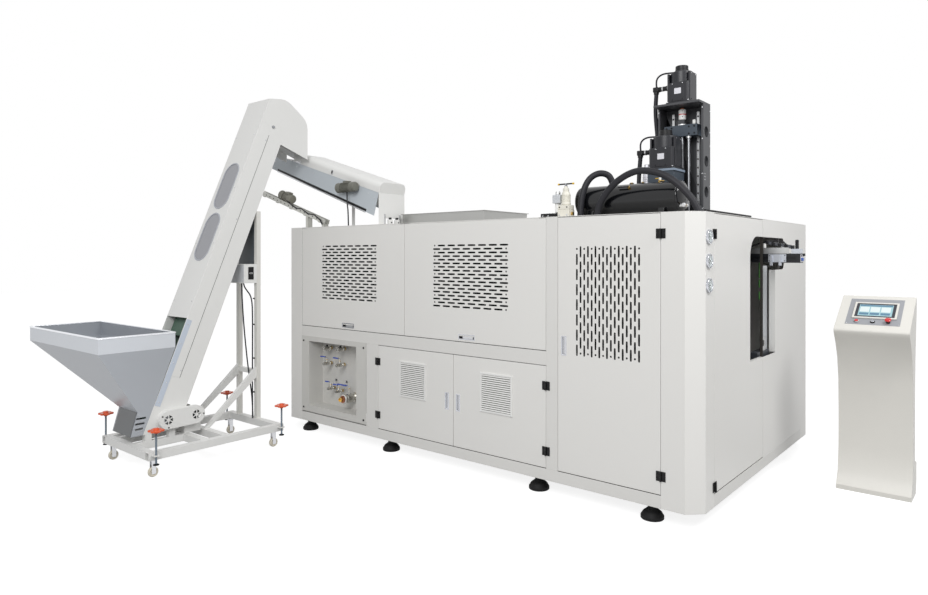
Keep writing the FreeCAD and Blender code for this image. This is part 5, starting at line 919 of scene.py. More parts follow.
@dataclass(frozen=True)
class SlotField:
    """Staggered slots of a door grille."""

    across: float
    up: float
    rows: int
    upright: bool = False
    length: float = 0.075
    width: float = 0.014
    along_pitch: float = 0.100
    across_pitch: float = 0.0275
    in_row: int = 7

    def holes(self) -> list[Opening]:
        """The grille's slots."""
        made = []
        half, gap = self.along_pitch / 2, self.along_pitch - self.length
        for row in range(self.rows):
            shift, side = half * (row % 2), row * self.across_pitch
            slots = [(i * self.along_pitch + shift, self.length) for i in range(self.in_row)]
            end = half - gap - self.width if shift else self.in_row * self.along_pitch
            for along, length in slots + [(end, self.width)]:
                if self.upright:
                    made.append(Opening(self.across + side, self.up + along, self.width, length))
                else:
                    made.append(Opening(self.across + along, self.up + side, length, self.width))
        return made


@dataclass(frozen=True)
class Door:
    """Folded sheet door, drawn flat: across it, up it and into it, then set on its face."""

    node: str
    outline: tuple[Flat, ...]
    place: Matrix
    slots: tuple[Opening, ...] = ()
    pulls: tuple[Opening, ...] = ()
    vents: tuple[float, ...] = ()
    hinges: tuple[tuple[float, float, float], ...] = ()
    sheet: float = 0.002
    depth: float = 0.025
    bend: float = 0.0035
    slot_sides: int = 12

    def build(self) -> None:
        """Make the door with its pulls, vents and hinge leaves."""
        form = Form(self.node + "_skin")
        self.skin(form)
        self.stiffeners(form)
        for pull in self.pulls:
            self.pull(form, pull)
        for centre in self.vents:
            Louvre(centre).add(form, self.place)
        for axis, side, up in self.hinges:
            start = axis + side * 0.0062
            hinge_leaf(form, self.place, start, start + side * 0.024, start + side * 0.014, up)
        form.done(self.node + "_body", [self.node])

    def skin(self, form: Form) -> None:
        """Front sheet with its holes, bent edges and returned flanges."""
        with form.shape(CABINET, self.place, outward=False) as part:
            rim = join(part, [(a, 0, b) for a, b in self.outline], closed=True)
            for hole in self.slots:
                middle = Vector((hole.across + hole.width / 2, 0, hole.up + hole.height / 2))
                obround(part, middle, hole.width, hole.height, self.slot_sides)
            for pull in self.pulls:
                join(part, [(a, 0, b) for a, b in pull.corners()], closed=True)
            filled(part)
            pushed(part, bmesh.ops.extrude_edge_only(part, edges=rim), (0, self.depth, 0))
            bmesh.ops.recalc_face_normals(part, faces=part.faces)
            front = [f for f in part.faces if abs(f.normal.y) > 0.9]
            if front[0].normal.y > 0:
                bmesh.ops.reverse_faces(part, faces=part.faces)
            bends = [e for e in part.edges if len(e.link_faces) == 2
                     and e.calc_face_angle(0.0) > math.radians(60)
                     and max(v.co.y for v in e.verts) < TINY]
            rounded(part, bends, self.bend, 3)
            bmesh.ops.solidify(part, geom=part.faces[:] + part.edges[:] + part.verts[:],
                               thickness=self.sheet)
        if self.slots:
            self.mat(form)

    def mat(self, form: Form) -> None:
        """Black filter mat clipped behind the grille."""
        low = [min(getattr(h, side) for h in self.slots) for side in ("across", "up")]
        high = [max(h.across + h.width for h in self.slots), max(h.up + h.height for h in self.slots)]
        form.block(MAT, (low[0] - 0.010, self.sheet + 0.0015, low[1] - 0.010),
                   (high[0] + 0.010, self.sheet + 0.0045, high[1] + 0.010), place=self.place)

    def stiffeners(self, form: Form) -> None:
        """Two folded stiffeners behind the face, clear of the holes."""
        across = [a for a, _ in self.outline]
        up = [b for _, b in self.outline]
        low, high = min(across), max(across)
        for b in (min(up) + 0.04, max(up) - 0.08):
            form.block(CABINET, (low + 0.02, self.sheet, b),
                       (high - 0.02, self.depth - 0.006, b + 0.030), 0.003, place=self.place)

    def pull(self, form: Form, pull: Opening) -> None:
        """Recessed pull: bright cup with a rim, and on a wide pull a dark block at each end that paints
        the shade in its finger gap.
        """
        a0, a1, b0, b1 = pull.sides()
        rim = 0.0055
        with form.shape(ZINC, self.place, outward=False) as part:
            bmesh.ops.create_cube(part, size=1.0)
            bmesh.ops.scale(part, vec=(a1 - a0, 0.017, b1 - b0), verts=part.verts)
            bmesh.ops.translate(part, vec=((a0 + a1) / 2, 0.0085, (b0 + b1) / 2), verts=part.verts)
            mouth = min(part.faces, key=lambda f: f.calc_center_median().y)
            bmesh.ops.delete(part, geom=[mouth], context="FACES_ONLY")
            corners = [e for e in part.edges if len(e.link_faces) == 2]
            rounded(part, corners, 0.003, 2)
            bmesh.ops.reverse_faces(part, faces=part.faces)
            bmesh.ops.solidify(part, geom=part.faces[:], thickness=-0.0012)
        for low, high in border(a0 - rim, a1 + rim, b0 - rim, b1 + rim, rim):
            form.block(CHROME, (low[0], -0.0015, low[1]), (high[0], 0.001, high[1]), 0.0006, 1,
                       self.place)
        # dark blocks at the cup's ends: painted shade in the finger gaps
        if pull.width > pull.height:
            for a in (a0 + 0.002, a1 - 0.016):
                form.block(HINGE, (a, 0.004, b0 + 0.003), (a + 0.014, 0.0155, b1 - 0.003), 0.002,
                           place=self.place)


def hinge_leaf(form: Form, place: Matrix, start: float, end: float, screws: float, up: float) -> None:
    """Hinge leaf on a door or its frame, with two screws."""
    low, high = sorted((start, end))
    form.block(HINGE, (low, -0.0040, up - 0.030), (high, 0.0, up + 0.030), 0.0012, place=place)
    for b in (up - 0.017, up + 0.017):
        form.screw(DARK_SCREW, place @ Vector((screws, -0.0038, b)), place.to_3x3() @ FRONT, 0.0045)


@dataclass(frozen=True)
class Louvre:
    """White louvred vent, by its centre along the door."""

    centre: float
    up: float = 0.635
    size: float = 0.290
    depth: float = 0.009
    rim: float = 0.014
    bars: int = 17

    def add(self, form: Form, place: Matrix) -> None:
        """Add the vent to its door: rounded rim, sloping blades and a grey sheet behind them that
        paints the shade inside the vent.
        """
        a0, a1 = self.centre - self.size / 2, self.centre + self.size / 2
        b0, b1 = self.up - self.size / 2, self.up + self.size / 2
        rim, depth = self.rim, self.depth
        for low, high in border(a0, a1, b0, b1, rim):
            form.block(VENT, (low[0], -depth, low[1]), (high[0], 0, high[1]), 0.0022, place=place)
        pitch = (self.size - 2 * rim) / self.bars
        for i in range(self.bars):
            b = b0 + rim + i * pitch
            form.prism(VENT, [(-0.0015, b + 0.004), (-depth + 0.0008, b + 0.004),
                              (-depth + 0.0008, b + 0.0065), (-0.0015, b + pitch - 0.002)],
                       X, (a0 + rim, a1 - rim), 0.0007, 1, place)
        # grey sheet behind the blades: painted shade seen through the vent's gaps
        form.block(SHADE_GREY, (a0 + rim - 0.001, -0.0012, b0 + rim - 0.001),
                   (a1 - rim + 0.001, -0.0002, b1 - rim + 0.001), place=place)
        form.screws(ZINC, (a0 + rim / 2, a1 - rim / 2), (-depth,), (b0 + rim / 2, b1 - rim / 2), FRONT,
                    0.003)


def arc(centre: Flat, radius: float, start: float, end: float, steps: int) -> list[Flat]:
    """Points along an arc, between two angles in degrees."""
    angles = [math.radians(start + (end - start) * i / steps) for i in range(steps + 1)]
    return [(centre[0] + radius * math.cos(a), centre[1] + radius * math.sin(a)) for a in angles]


@dataclass(frozen=True)
class Doors:
    """Six doors, their fixed hinge halves and the strips that the lift-up doors hang from."""

    gap: float = 0.004
    door_top: float = 1.893
    roof_underside: float = 1.897
    base_top: float = 0.180
    mid_base: float = 0.885
    upper_base: float = 0.983
    upper_left: float = -3.680
    upper_split: float = -2.333
    post_left: float = -0.972
    tall_left: float = -0.880
    tall_right: float = -0.150
    lower_left: float = -2.644
    lower_split: float = -1.808
    end_start: float = 0.237
    end_end: float = 1.220
    window_start: float = 0.930
    window_base: float = 0.905
    window_top: float = 1.770
    window_radius: float = 0.150
    standoff: float = 0.008
    lower_hinges: Flat = (0.300, 0.747)
    tall_hinges: Flat = (0.298, 1.770)
    end_hinges: Flat = (0.224, 1.768)
    wide_pull: Flat = (0.146, 0.030)
    tall_pull: Flat = (0.030, 0.120)

    def build(self) -> None:
        """Make every door and the fixed hinge halves."""
        seam = self.gap / 2
        upper = (self.upper_base + self.gap, self.door_top)
        lower = (self.base_top + self.gap, self.mid_base - self.gap)
        tall = (self.base_top + self.gap, self.door_top)
        Door("upper_left_door", rectangle(self.upper_left + seam, self.upper_split - seam, *upper),
             HERE, tuple(SlotField(-3.386, 1.246, 18).holes()),
             (Opening(-3.099, 1.008, *self.wide_pull),)).build()
        Door("upper_right_door", rectangle(self.upper_split + seam, self.post_left - seam, *upper),
             HERE, tuple(SlotField(-2.017, 1.240, 18).holes()),
             (Opening(-1.751, 1.008, *self.wide_pull),)).build()
        Door("lower_left_door", rectangle(self.lower_left + seam, self.lower_split - seam, *lower),
             HERE, (), (Opening(-1.887, 0.460, *self.tall_pull),), (-2.237,),
             tuple((self.lower_left, 1.0, z) for z in self.lower_hinges)).build()
        Door("lower_right_door", rectangle(self.lower_split + seam, self.post_left - seam, *lower),
             HERE, (), (Opening(-1.776, 0.460, *self.tall_pull),), (-1.398,),
             tuple((self.post_left, -1.0, z) for z in self.lower_hinges)).build()
        Door("tall_front_door", rectangle(self.tall_left + seam, self.tall_right - seam, *tall),
             HERE, tuple(SlotField(-0.738, 0.973, 17, True).holes()),
             (Opening(-0.846, 0.972, *self.tall_pull),), (),
             tuple((self.tall_right, -1.0, z) for z in self.tall_hinges)).build()
        Door("end_door", self.end_outline(), self.end_place(), (), (), (),
             tuple((self.end_start, 1.0, z) for z in self.end_hinges)).build()
        self.hinges()

    @staticmethod
    def end_place() -> Matrix:
        """Placement of what is drawn for the front face onto the right end face."""
        return Matrix.Translation((CHAMFER, 0, 0)) @ Matrix.Rotation(math.pi / 2, 4, "Z")

    def end_outline(self) -> tuple[Flat, ...]:
        """End door's outline with its part of the outfeed window."""
        a0, a1 = self.end_start + self.gap / 2, self.end_end - self.gap
        b0, b1 = self.base_top + self.gap, self.door_top
        w, r = self.window_start, self.window_radius
        corner = arc((w + r, self.window_top - r), r, 180, 90, 8)
        return ((a0, b0), (a1, b0), (a1, self.window_base), (w, self.window_base),
                *corner, (a1, self.window_top), (a1, b1), (a0, b1))

    def hinges(self) -> None:
        """Fixed leaves, knuckled barrels and pins, and the lift-up doors' strips."""
        form = Form("fixed_hinges")
        end = self.end_place()
        for axis, side, heights, place in ((self.lower_left, 1.0, self.lower_hinges, HERE),
                                           (self.post_left, -1.0, self.lower_hinges, HERE),
                                           (self.tall_right, -1.0, self.tall_hinges, HERE),
                                           (self.end_start, 1.0, self.end_hinges, end)):
            for z in heights:
                self.fixed_half(form, axis, side, z, place)
        for a, b in ((self.upper_left, self.upper_split), (self.upper_split, self.post_left)):
            form.block(CABINET, (a + 0.060, 0.001, self.door_top + CLEAR),
                       (b - 0.060, 0.025, self.roof_underside), 0.0008, 1)
        self.gap_shading(form)
        form.done("machine", ["door_hinges"])

    def gap_shading(self, form: Form) -> None:
        """Dark brown strips that line the frame's openings, clear of the doors, as painted shade in the
        door gaps.
        """
        end, out = self.end_place(), self.gap / 2
        for a0, a1, b0, b1, place in (
                (self.upper_left, self.post_left, self.upper_base, self.door_top, HERE),
                (self.lower_left, self.post_left, self.base_top, self.mid_base, HERE),
                (self.tall_left, self.tall_right, self.base_top, self.door_top, HERE),
                (self.end_start, self.end_end, self.base_top, self.door_top, end)):
            for a, side in ((a0 - out, 1), (a1 + out, -1)):
                low, high = sorted((a - side * 0.0006, a + side * 0.0005))
                form.block(GAP_SHADE, (low, 0.0015, b0), (high, 0.022, b1), place=place)
            form.block(GAP_SHADE, (a0, 0.0015, b0 - 0.0006), (a1, 0.022, b0 + 0.0005), place=place)
            if b1 < self.door_top:
                form.block(GAP_SHADE, (a0, 0.0015, b1 - 0.0005), (a1, 0.022, b1 + 0.0006), place=place)

    def fixed_half(self, form: Form, axis: float, side: float, up: float, place: Matrix) -> None:
        """Fixed half of one hinge: its leaf, knuckles and pin."""
        hinge_leaf(form, place, axis, axis - side * 0.031, axis - side * 0.019, up)

        def on(height: float) -> Vector:
            """Point on the hinge's axis."""
            return place @ Vector((axis, -self.standoff, up + height))
        for a, b in ((-0.030, -0.0105), (-0.0095, 0.0095), (0.0105, 0.030)):
            form.rod(HINGE, on(a), on(b), 0.0069, 20, 0.0008)
        form.rod(DARK_SCREW, on(-0.0305), on(0.0305), 0.0030, 12)


# ---------------------------------------------------------------- valve recess
@dataclass(frozen=True)
class BallValve:
    """Ball valve along Y with its nuts and tails."""

    x: float
    y: float
    z: float
    pipe: float
    half: float
    lever_length: float = 0.0
    stem: float = 0.0
    back_wall: float = 0.160

    def body(self, form: Form) -> None:
        """Hexagon ends, waisted nickel body, brass nut and pipe into the back wall."""
        x, y, z, r, half = self.x, self.y, self.z, self.pipe, self.half
        form.rod(NICKEL, (x, y - half, z), (x, y - half + 0.012, z), r * 1.33, 6, 0.0012)
        form.rod(NICKEL, (x, y + half - 0.012, z), (x, y + half, z), r * 1.33, 6, 0.0012)
        length = 2 * half - 0.024
        profile = [(0, 0), (r * 0.95, 0), (r * 0.95, length * 0.14), (r * 1.18, length * 0.26),
                   (r * 1.2, length * 0.5), (r * 1.18, length * 0.74), (r * 0.95, length * 0.86),
                   (r * 0.95, length), (0, length)]
        form.turned(NICKEL, profile, (x, y - half + 0.012, z), Y, 28)
        form.ring(DARK_SCREW, (x, y - half + 0.0005, z), FRONT, r * 0.86, r * 0.62, 0.003, 20)
        form.rod(BRASS, (x, y + half + 0.001, z), (x, y + half + 0.016, z), r * 1.16, 6, 0.001)
        form.rod(ZINC, (x, y + half, z), (x, self.back_wall, z), r * 0.78, 20)

    def neck(self, form: Form) -> None:
        """Stem and gland up to the lever's seat."""
        seat = self.seat() - CLEAR
        form.rod(NICKEL, (self.x, self.y, self.z + self.pipe), (self.x, self.y, seat - 0.008), 0.0076,
                 16)
        form.rod(BRASS, (self.x, self.y, seat - 0.014), (self.x, self.y, seat - 0.005), 0.0082, 6,
                 0.0006)
        form.rod(ZINC, (self.x, self.y, seat - 0.006), (self.x, self.y, seat), 0.0052, 12)

    def seat(self) -> float:
        """Height of the lever's underside."""
        return self.z + self.pipe * 1.5 + self.stem

    def lever(self, index: int) -> None:
        """Cranked steel lever with its dipped blue grip and nut."""
        form = Form(f"valve_lever_{index}_handle")
        base, half, rise, sheet = self.seat(), 0.006 + self.pipe * 0.12, 0.010, 0.004
        x, y = self.x, self.y
        grip = x - half - 0.012 - self.pipe * 0.3
        crank = [(x + half, base), (x - half, base), (x - half - 0.008, base + rise),
                 (grip - 0.004, base + rise), (grip - 0.004, base + rise + sheet),
                 (x - half - 0.010, base + rise + sheet), (x - half - 0.002, base + sheet),
                 (x + half, base + sheet)]
        form.prism(ZINC, crank, Y, (y - half * 0.86, y + half * 0.86), 0.0008, 1)
        form.block(LEVER, (x - self.lever_length, y - half * 1.3, base + rise - 0.003),
                   (grip, y + half * 1.3, base + rise + sheet + 0.003), 0.0040, 3)
        form.rod(ZINC, (x, y, base + sheet - 0.0004), (x, y, base + sheet + 0.0056), half * 0.82, 6,
                 0.0006)
        form.done(f"valve_lever_{index}_body", [f"valve_lever_{index}"])


@dataclass(frozen=True)
class ValveRecess:
    """Recessed box, its flange screws, seven valves and two wall studs."""

    flange: tuple[float, float, float, float] = (-3.680, -2.790, 0.190, 0.890)
    small: tuple[BallValve, ...] = (
        BallValve(-3.420, 0.085, 0.640, 0.014, 0.040, 0.092, 0.026),
        BallValve(-3.237, 0.085, 0.643, 0.014, 0.040, 0.092, 0.026),
        BallValve(-3.366, 0.085, 0.418, 0.012, 0.034, 0.076, 0.026),
        BallValve(-3.255, 0.085, 0.404, 0.012, 0.034, 0.076, 0.026))
    large: BallValve = BallValve(-3.112, 0.088, 0.362, 0.033, 0.062, 0.165, 0.044)
    upper: tuple[BallValve, ...] = (BallValve(-3.420, 0.085, 0.780, 0.017, 0.038),
                                    BallValve(-3.230, 0.085, 0.788, 0.017, 0.038))

    def build(self) -> None:
        """Make the recess, the valves and their levers."""
        box = Form("valve_recess")
        copied(box, "valve_box", SHEET)
        x0, x1, z0, z1 = self.flange
        box.screws(DARK_SCREW, (x0 + 0.030, x1 - 0.030), (-0.003,), (z0 + 0.035, z1 - 0.045), FRONT,
                   0.009)
        box.done("machine", ["valve_box"], 0.0008)
        form = Form("air_valve_group")
        for valve in self.small + (self.large,):
            valve.body(form)
            valve.neck(form)
        for valve in self.upper:
            valve.body(form)
            form.rod(DARK_SCREW, (valve.x, valve.y, valve.z + 0.012),
                     (valve.x, valve.y, valve.z + 0.034), 0.009, 16, 0.002)
        self.tail(form)
        for x in (-3.364, -3.218):
            form.rod(ZINC, (x, 0.136, 0.487), (x, 0.160, 0.487), 0.0068, 16, 0.001)
            form.rod(DARK_SCREW, (x, 0.140, 0.487), (x, 0.147, 0.487), 0.0105, 6, 0.0008)
        form.done("machine", ["air_valves"])
        for i, valve in enumerate(self.small + (self.large,)):
            valve.lever(i + 1)

    def tail(self, form: Form) -> None:
        """White ring, copper union and hose tail in front of the large valve."""
        x, y, z, r = self.large.x, self.large.y - self.large.half, self.large.z, self.large.pipe
        form.ring(VENT, (x, y, z), FRONT, r * 1.18, r * 0.5, 0.0098)
        form.turned(COPPER, [(r * 0.5, 0), (r * 0.98, 0), (r * 0.98, 0.010), (r * 0.72, 0.014),
                             (r * 0.72, 0.022), (r * 0.5, 0.022), (r * 0.5, 0)],
                    (x, y - 0.010, z), FRONT, 32)
        form.rod(BRASS, (x, y - 0.030, z), (x, y - 0.040, z), r * 0.68, 6, 0.001)
        form.turned(BRASS, [(r * 0.34, 0), (r * 0.6, 0), (r * 0.6, 0.003), (r * 0.5, 0.005),
                            (r * 0.56, 0.008), (r * 0.46, 0.010), (r * 0.34, 0.010), (r * 0.34, 0)],
                    (x, y - 0.040, z), FRONT, 28)


# ---------------------------------------------------------------- gauges
@dataclass(frozen=True)
class Gauges:
    """Three pressure gauges on the right end's front strip."""

    y: float = 0.138
    heights: tuple[float, ...] = (1.457, 1.603, 1.749)
    radius: float = 0.044
    depth: float = 0.014
    marks: int = 21
    sweep: float = 270.0
    readings: tuple[float, ...] = (118.0, 76.0, 150.0)

    def build(self) -> None:
        """Make the three gauges as one piece."""
        form = Form("panel_gauges")
        for z, reading in zip(self.heights, self.readings):
            self.gauge(form, Vector((CHAMFER, self.y, z)), reading)
        form.done("machine", ["pressure_gauges"])

    def gauge(self, form: Form, centre: Vector, reading: float) -> None:
        """One gauge: chrome bezel, white dial with marks, needle and glass."""
        r, d = self.radius, self.depth
        form.turned(CHROME, [(0, 0), (r, 0), (r, d - 0.003), (r - 0.0015, d - 0.0008), (r - 0.004, d),
                             (r - 0.0065, d - 0.001), (r - 0.008, d - 0.004), (r - 0.008, 0.006),
                             (0, 0.006)], centre, X, 48)
        form.rod(DIAL, centre + X * 0.0058, centre + X * 0.0072, r - 0.0085, 40)
        for i in range(self.marks):
            a = math.radians(225 - self.sweep * i / (self.marks - 1))
            long = i % 5 == 0
            turn = Matrix.Translation(centre + X * 0.0072) @ Matrix.Rotation(a, 4, "X")
            half = 0.0007 if long else 0.0004
            form.block(INK, (0, r - (0.017 if long else 0.014), -half), (0.0004, r - 0.0105, half),
                       place=turn)
        needle = Matrix.Translation(centre + X * 0.0080)
        needle = needle @ Matrix.Rotation(math.radians(225 - reading), 4, "X")
        form.prism(INK, [(-0.0012, -0.006), (-0.0004, r - 0.014), (0.0004, r - 0.014),
                         (0.0012, -0.006)], X, (0, 0.0006), place=needle)
        form.rod(DARK_SCREW, centre + X * 0.0072, centre + X * 0.0098, 0.0035, 16)
        form.turned(GLASS, [(0, 0.0098), (r - 0.0084, 0.0098), (r - 0.0084, 0.0112),
                            (r * 0.5, 0.0120), (0, 0.0124)], centre, X, 32)


# ---------------------------------------------------------------- roof units
@dataclass(frozen=True)
class AirUnit:
    """Air receiver, preparation unit with its T-handle, and the upright filter."""

    left: float = -0.930
    right: float = -0.135
    tank_y: float = 0.372
    tank_z: float = 2.018
    radius: float = 0.106
    dish: float = 0.038
    x: float = -0.935
    y: float = 0.200
    handle_z: float = 2.139

    def build(self) -> None:
        """Make the receiver, the preparation unit and its handle."""
        self.tank()
        self.regulator()
        self.handle()

    def tank(self) -> None:
        """Glossy receiver with dished ends, seams, saddles, ports and fittings."""
        form = Form("air_receiver")
        r, length, y, z = self.radius, self.right - self.left, self.tank_y, self.tank_z
        quarter = [math.pi / 2 * i / 8 for i in range(9)]
        near = [(r * math.sin(a), self.dish * (1 - math.cos(a))) for a in quarter]
        far = [(rad, length - h) for rad, h in reversed(near)]
        form.turned(TANK, near + far, (self.left, y, z), X, 64)
        for x in (self.left + self.dish, self.right - self.dish - 0.008):
            form.ring(TANK, (x, y, z), X, r + 0.0012, r - 0.003, 0.008, 64)
        for x0, x1 in ((-0.810, -0.770), (-0.295, -0.255)):
            form.prism(TANK, [(y - 0.090, ROOF), (y + 0.090, ROOF), (y + 0.078, 1.962),
                              (y - 0.078, 1.962)], X, (x0, x1), 0.002)
            for side in (-0.080, 0.080):
                form.rod(DARK_SCREW, (x0 + 0.020, y + side, ROOF),
                         (x0 + 0.020, y + side, ROOF + 0.008), 0.010, 6, 0.001)
        form.rod(TANK, (-0.662, y, z + r - 0.006), (-0.662, y, z + r + 0.004), 0.026, 24, 0.002)
        form.rod(DARK_SCREW, (-0.662, y, z + r), (-0.662, y, 2.1297), 0.021, 6, 0.001)
        for x, size in ((-0.520, 0.011), (-0.440, 0.008), (-0.300, 0.013)):
            form.rod(TANK, (x, y, z + r - 0.004), (x, y, z + r + 0.005), size + 0.005, 20, 0.001)
            form.rod(BRASS, (x, y, z + r + 0.004), (x, y, z + r + 0.010), size, 6, 0.001)
        for i in range(4):
            a = math.radians(45 + 90 * i)
            at = Vector((self.right - 0.004, y + 0.030 * math.cos(a), z + 0.030 * math.sin(a)))
            form.rod(DARK_SCREW, at - X * 0.008, at + X * 0.0035, 0.007, 6, 0.001)
        form.rod(SILVER, (self.right - 0.006, y, z), (self.right + 0.003, y, z), 0.011, 6, 0.001)
        self.fittings(form)
        form.done("machine", ["air_tank"])

    def fittings(self, form: Form) -> None:
        """Small shut-off on top, flat handle on the shoulder and the drain valve."""
        y, z, top = self.tank_y, self.tank_z, self.tank_z + self.radius
        form.rod(BRASS, (-0.318, y, top - 0.003), (-0.318, y, top + 0.014), 0.011, 6, 0.001)
        form.rod(VENT, (-0.318, y, top + 0.014), (-0.318, y, top + 0.030), 0.0085, 20, 0.001)
        form.block(YELLOW, (-0.350, y - 0.005, top + 0.022), (-0.316, y + 0.005, top + 0.028), 0.002)
        form.rod(BRASS, (-0.500, y - 0.078, z + 0.070), (-0.500, y - 0.090, z + 0.080), 0.010, 6, 0.001)
        form.block(DARK_SCREW, (-0.578, y - 0.096, z + 0.078), (-0.496, y - 0.082, z + 0.084), 0.002)
        form.rod(BRASS, (-0.118, y - 0.060, z - 0.060), (-0.118, y - 0.084, z - 0.060), 0.010, 6, 0.001)
        form.rod(SILVER, (-0.118, y - 0.084, z - 0.060), (-0.118, y - 0.100, z - 0.060), 0.013, 20,
                 0.002)
        form.rod(SILVER, (-0.160, y - 0.060, z - 0.060), (-0.104, y - 0.060, z - 0.060), 0.011, 20,
                 0.002)

    def regulator(self) -> None:
        """Base block, ribbed bell, bonnet, side block with bowl, and the roof filter."""
        form = Form("air_preparation")
        x, y = self.x, self.y
        form.block(CREAM, (x - 0.045, y - 0.040, ROOF), (x + 0.045, y + 0.040, ROOF + 0.058), 0.003)
        form.block(CREAM, (x - 0.043, y - 0.038, ROOF + 0.058), (x + 0.043, y + 0.038, ROOF + 0.090),
                   0.004)
        for finish, front, up, size in ((ZINC, 0.0399, 0.020, 0.006),
                                        (DARK_SCREW, 0.0379, 0.074, 0.005)):
            form.screws(finish, (x - 0.030, x + 0.030), (y - front,), (ROOF + up,), FRONT, size)
        form.rod(BRASS, (x + 0.045, y, ROOF + 0.030), (x + 0.058, y, ROOF + 0.030), 0.012, 6, 0.001)
        bell = [(0, 0), (0.030, 0), (0.0340, 0.004), (0.0340, 0.016), (0.0315, 0.019)]
        for i in range(6):
            h = 0.022 + i * 0.009
            bell += [(0.0305, h), (0.0330, h + 0.002), (0.0330, h + 0.005), (0.0305, h + 0.007)]
        bell += [(0.030, 0.080), (0.026, 0.091), (0.022, 0.095), (0, 0.095)]
        form.turned(CREAM, bell, (x, y, ROOF + 0.090), steps=40)
        form.turned(CREAM, [(0, 0), (0.021, 0), (0.0220, 0.003), (0.0220, 0.020), (0.018, 0.025),
                            (0.013, 0.029), (0.012, 0.0378), (0, 0.0378)], (x, y, 2.085), steps=32)
        form.block(NYLON, (x - 0.190, y - 0.035, ROOF), (x - 0.045, y + 0.035, ROOF + 0.035), 0.004)
        for a in (-0.170, -0.125):
            form.rod(SILVER, (x + a, y, ROOF + 0.0345), (x + a, y, ROOF + 0.040), 0.013, 6, 0.001)
            form.screw(ZINC, (x + a, y - 0.0349, ROOF + 0.018), FRONT, 0.005)
        form.turned(VENT, [(0, 0), (0.010, 0), (0.0195, 0.006), (0.0200, 0.012), (0.0200, 0.064),
                           (0.0175, 0.070), (0, 0.070)], (x - 0.066, y, ROOF + 0.035), steps=32)
        form.block(CONTROL, (x - 0.092, y - 0.035, ROOF + 0.105), (x - 0.030, y + 0.035, ROOF + 0.165),
                   0.005)
        form.screws(ZINC, (x - 0.082, x - 0.046), (y - 0.0349,), (ROOF + 0.153,), FRONT, 0.004)
        form.turned(SILVER, [(0, 0), (0.0175, 0), (0.0180, 0.003), (0.0180, 0.018), (0.015, 0.0245),
                                 (0, 0.0250)], (x - 0.066, y, ROOF + 0.165), steps=28)
        self.filter(form)
        form.done("machine", ["air_regulator"])

    def filter(self, form: Form) -> None:
        """Upright filter on the foot plate, with ribs and a stepped head."""
        base, top, r = ROOF + 0.015, 2.280, 0.033
        ribs = [(0, 0), (r, 0), (r, 0.018), (r - 0.003, 0.022)]
        steps = int((top - base - 0.110) / 0.014)
        for i in range(steps):
            h = 0.030 + i * 0.014
            ribs += [(r - 0.003, h), (r - 0.0005, h + 0.003), (r - 0.0005, h + 0.008),
                     (r - 0.003, h + 0.011)]
        height = top - base
        ribs += [(r - 0.003, height - 0.066), (r, height - 0.062), (r, height - 0.042),
                 (0.021, height - 0.022), (0.020, height - 0.002), (0.018, height), (0, height)]
        form.turned(PLATE, ribs, (-0.512, 0.600, base), steps=36)

    def handle(self) -> None:
        """Thin T-bar with yellow grips on the regulator's adjusting screw."""
        form = Form("regulator_t_bar")
        x, y, z = self.x, self.y, self.handle_z
        form.rod(DARK_SCREW, (x - 0.062, y, z), (x + 0.062, y, z), 0.0052, 20)
        for side in (-1, 1):
            form.rod(YELLOW, (x + side * 0.052, y, z), (x + side * 0.065, y, z), 0.0068, 24, 0.0025)
        form.turned(GROUND, [(0, 0), (0.0098, 0), (0.0098, 0.006), (0.0075, 0.009), (0.0075, 0.017),
                             (0.0088, 0.019), (0.0088, 0.0205), (0, 0.0205)], (x, y, 2.1233), steps=28)
        form.done("regulator_handle_body", ["regulator_handle"])


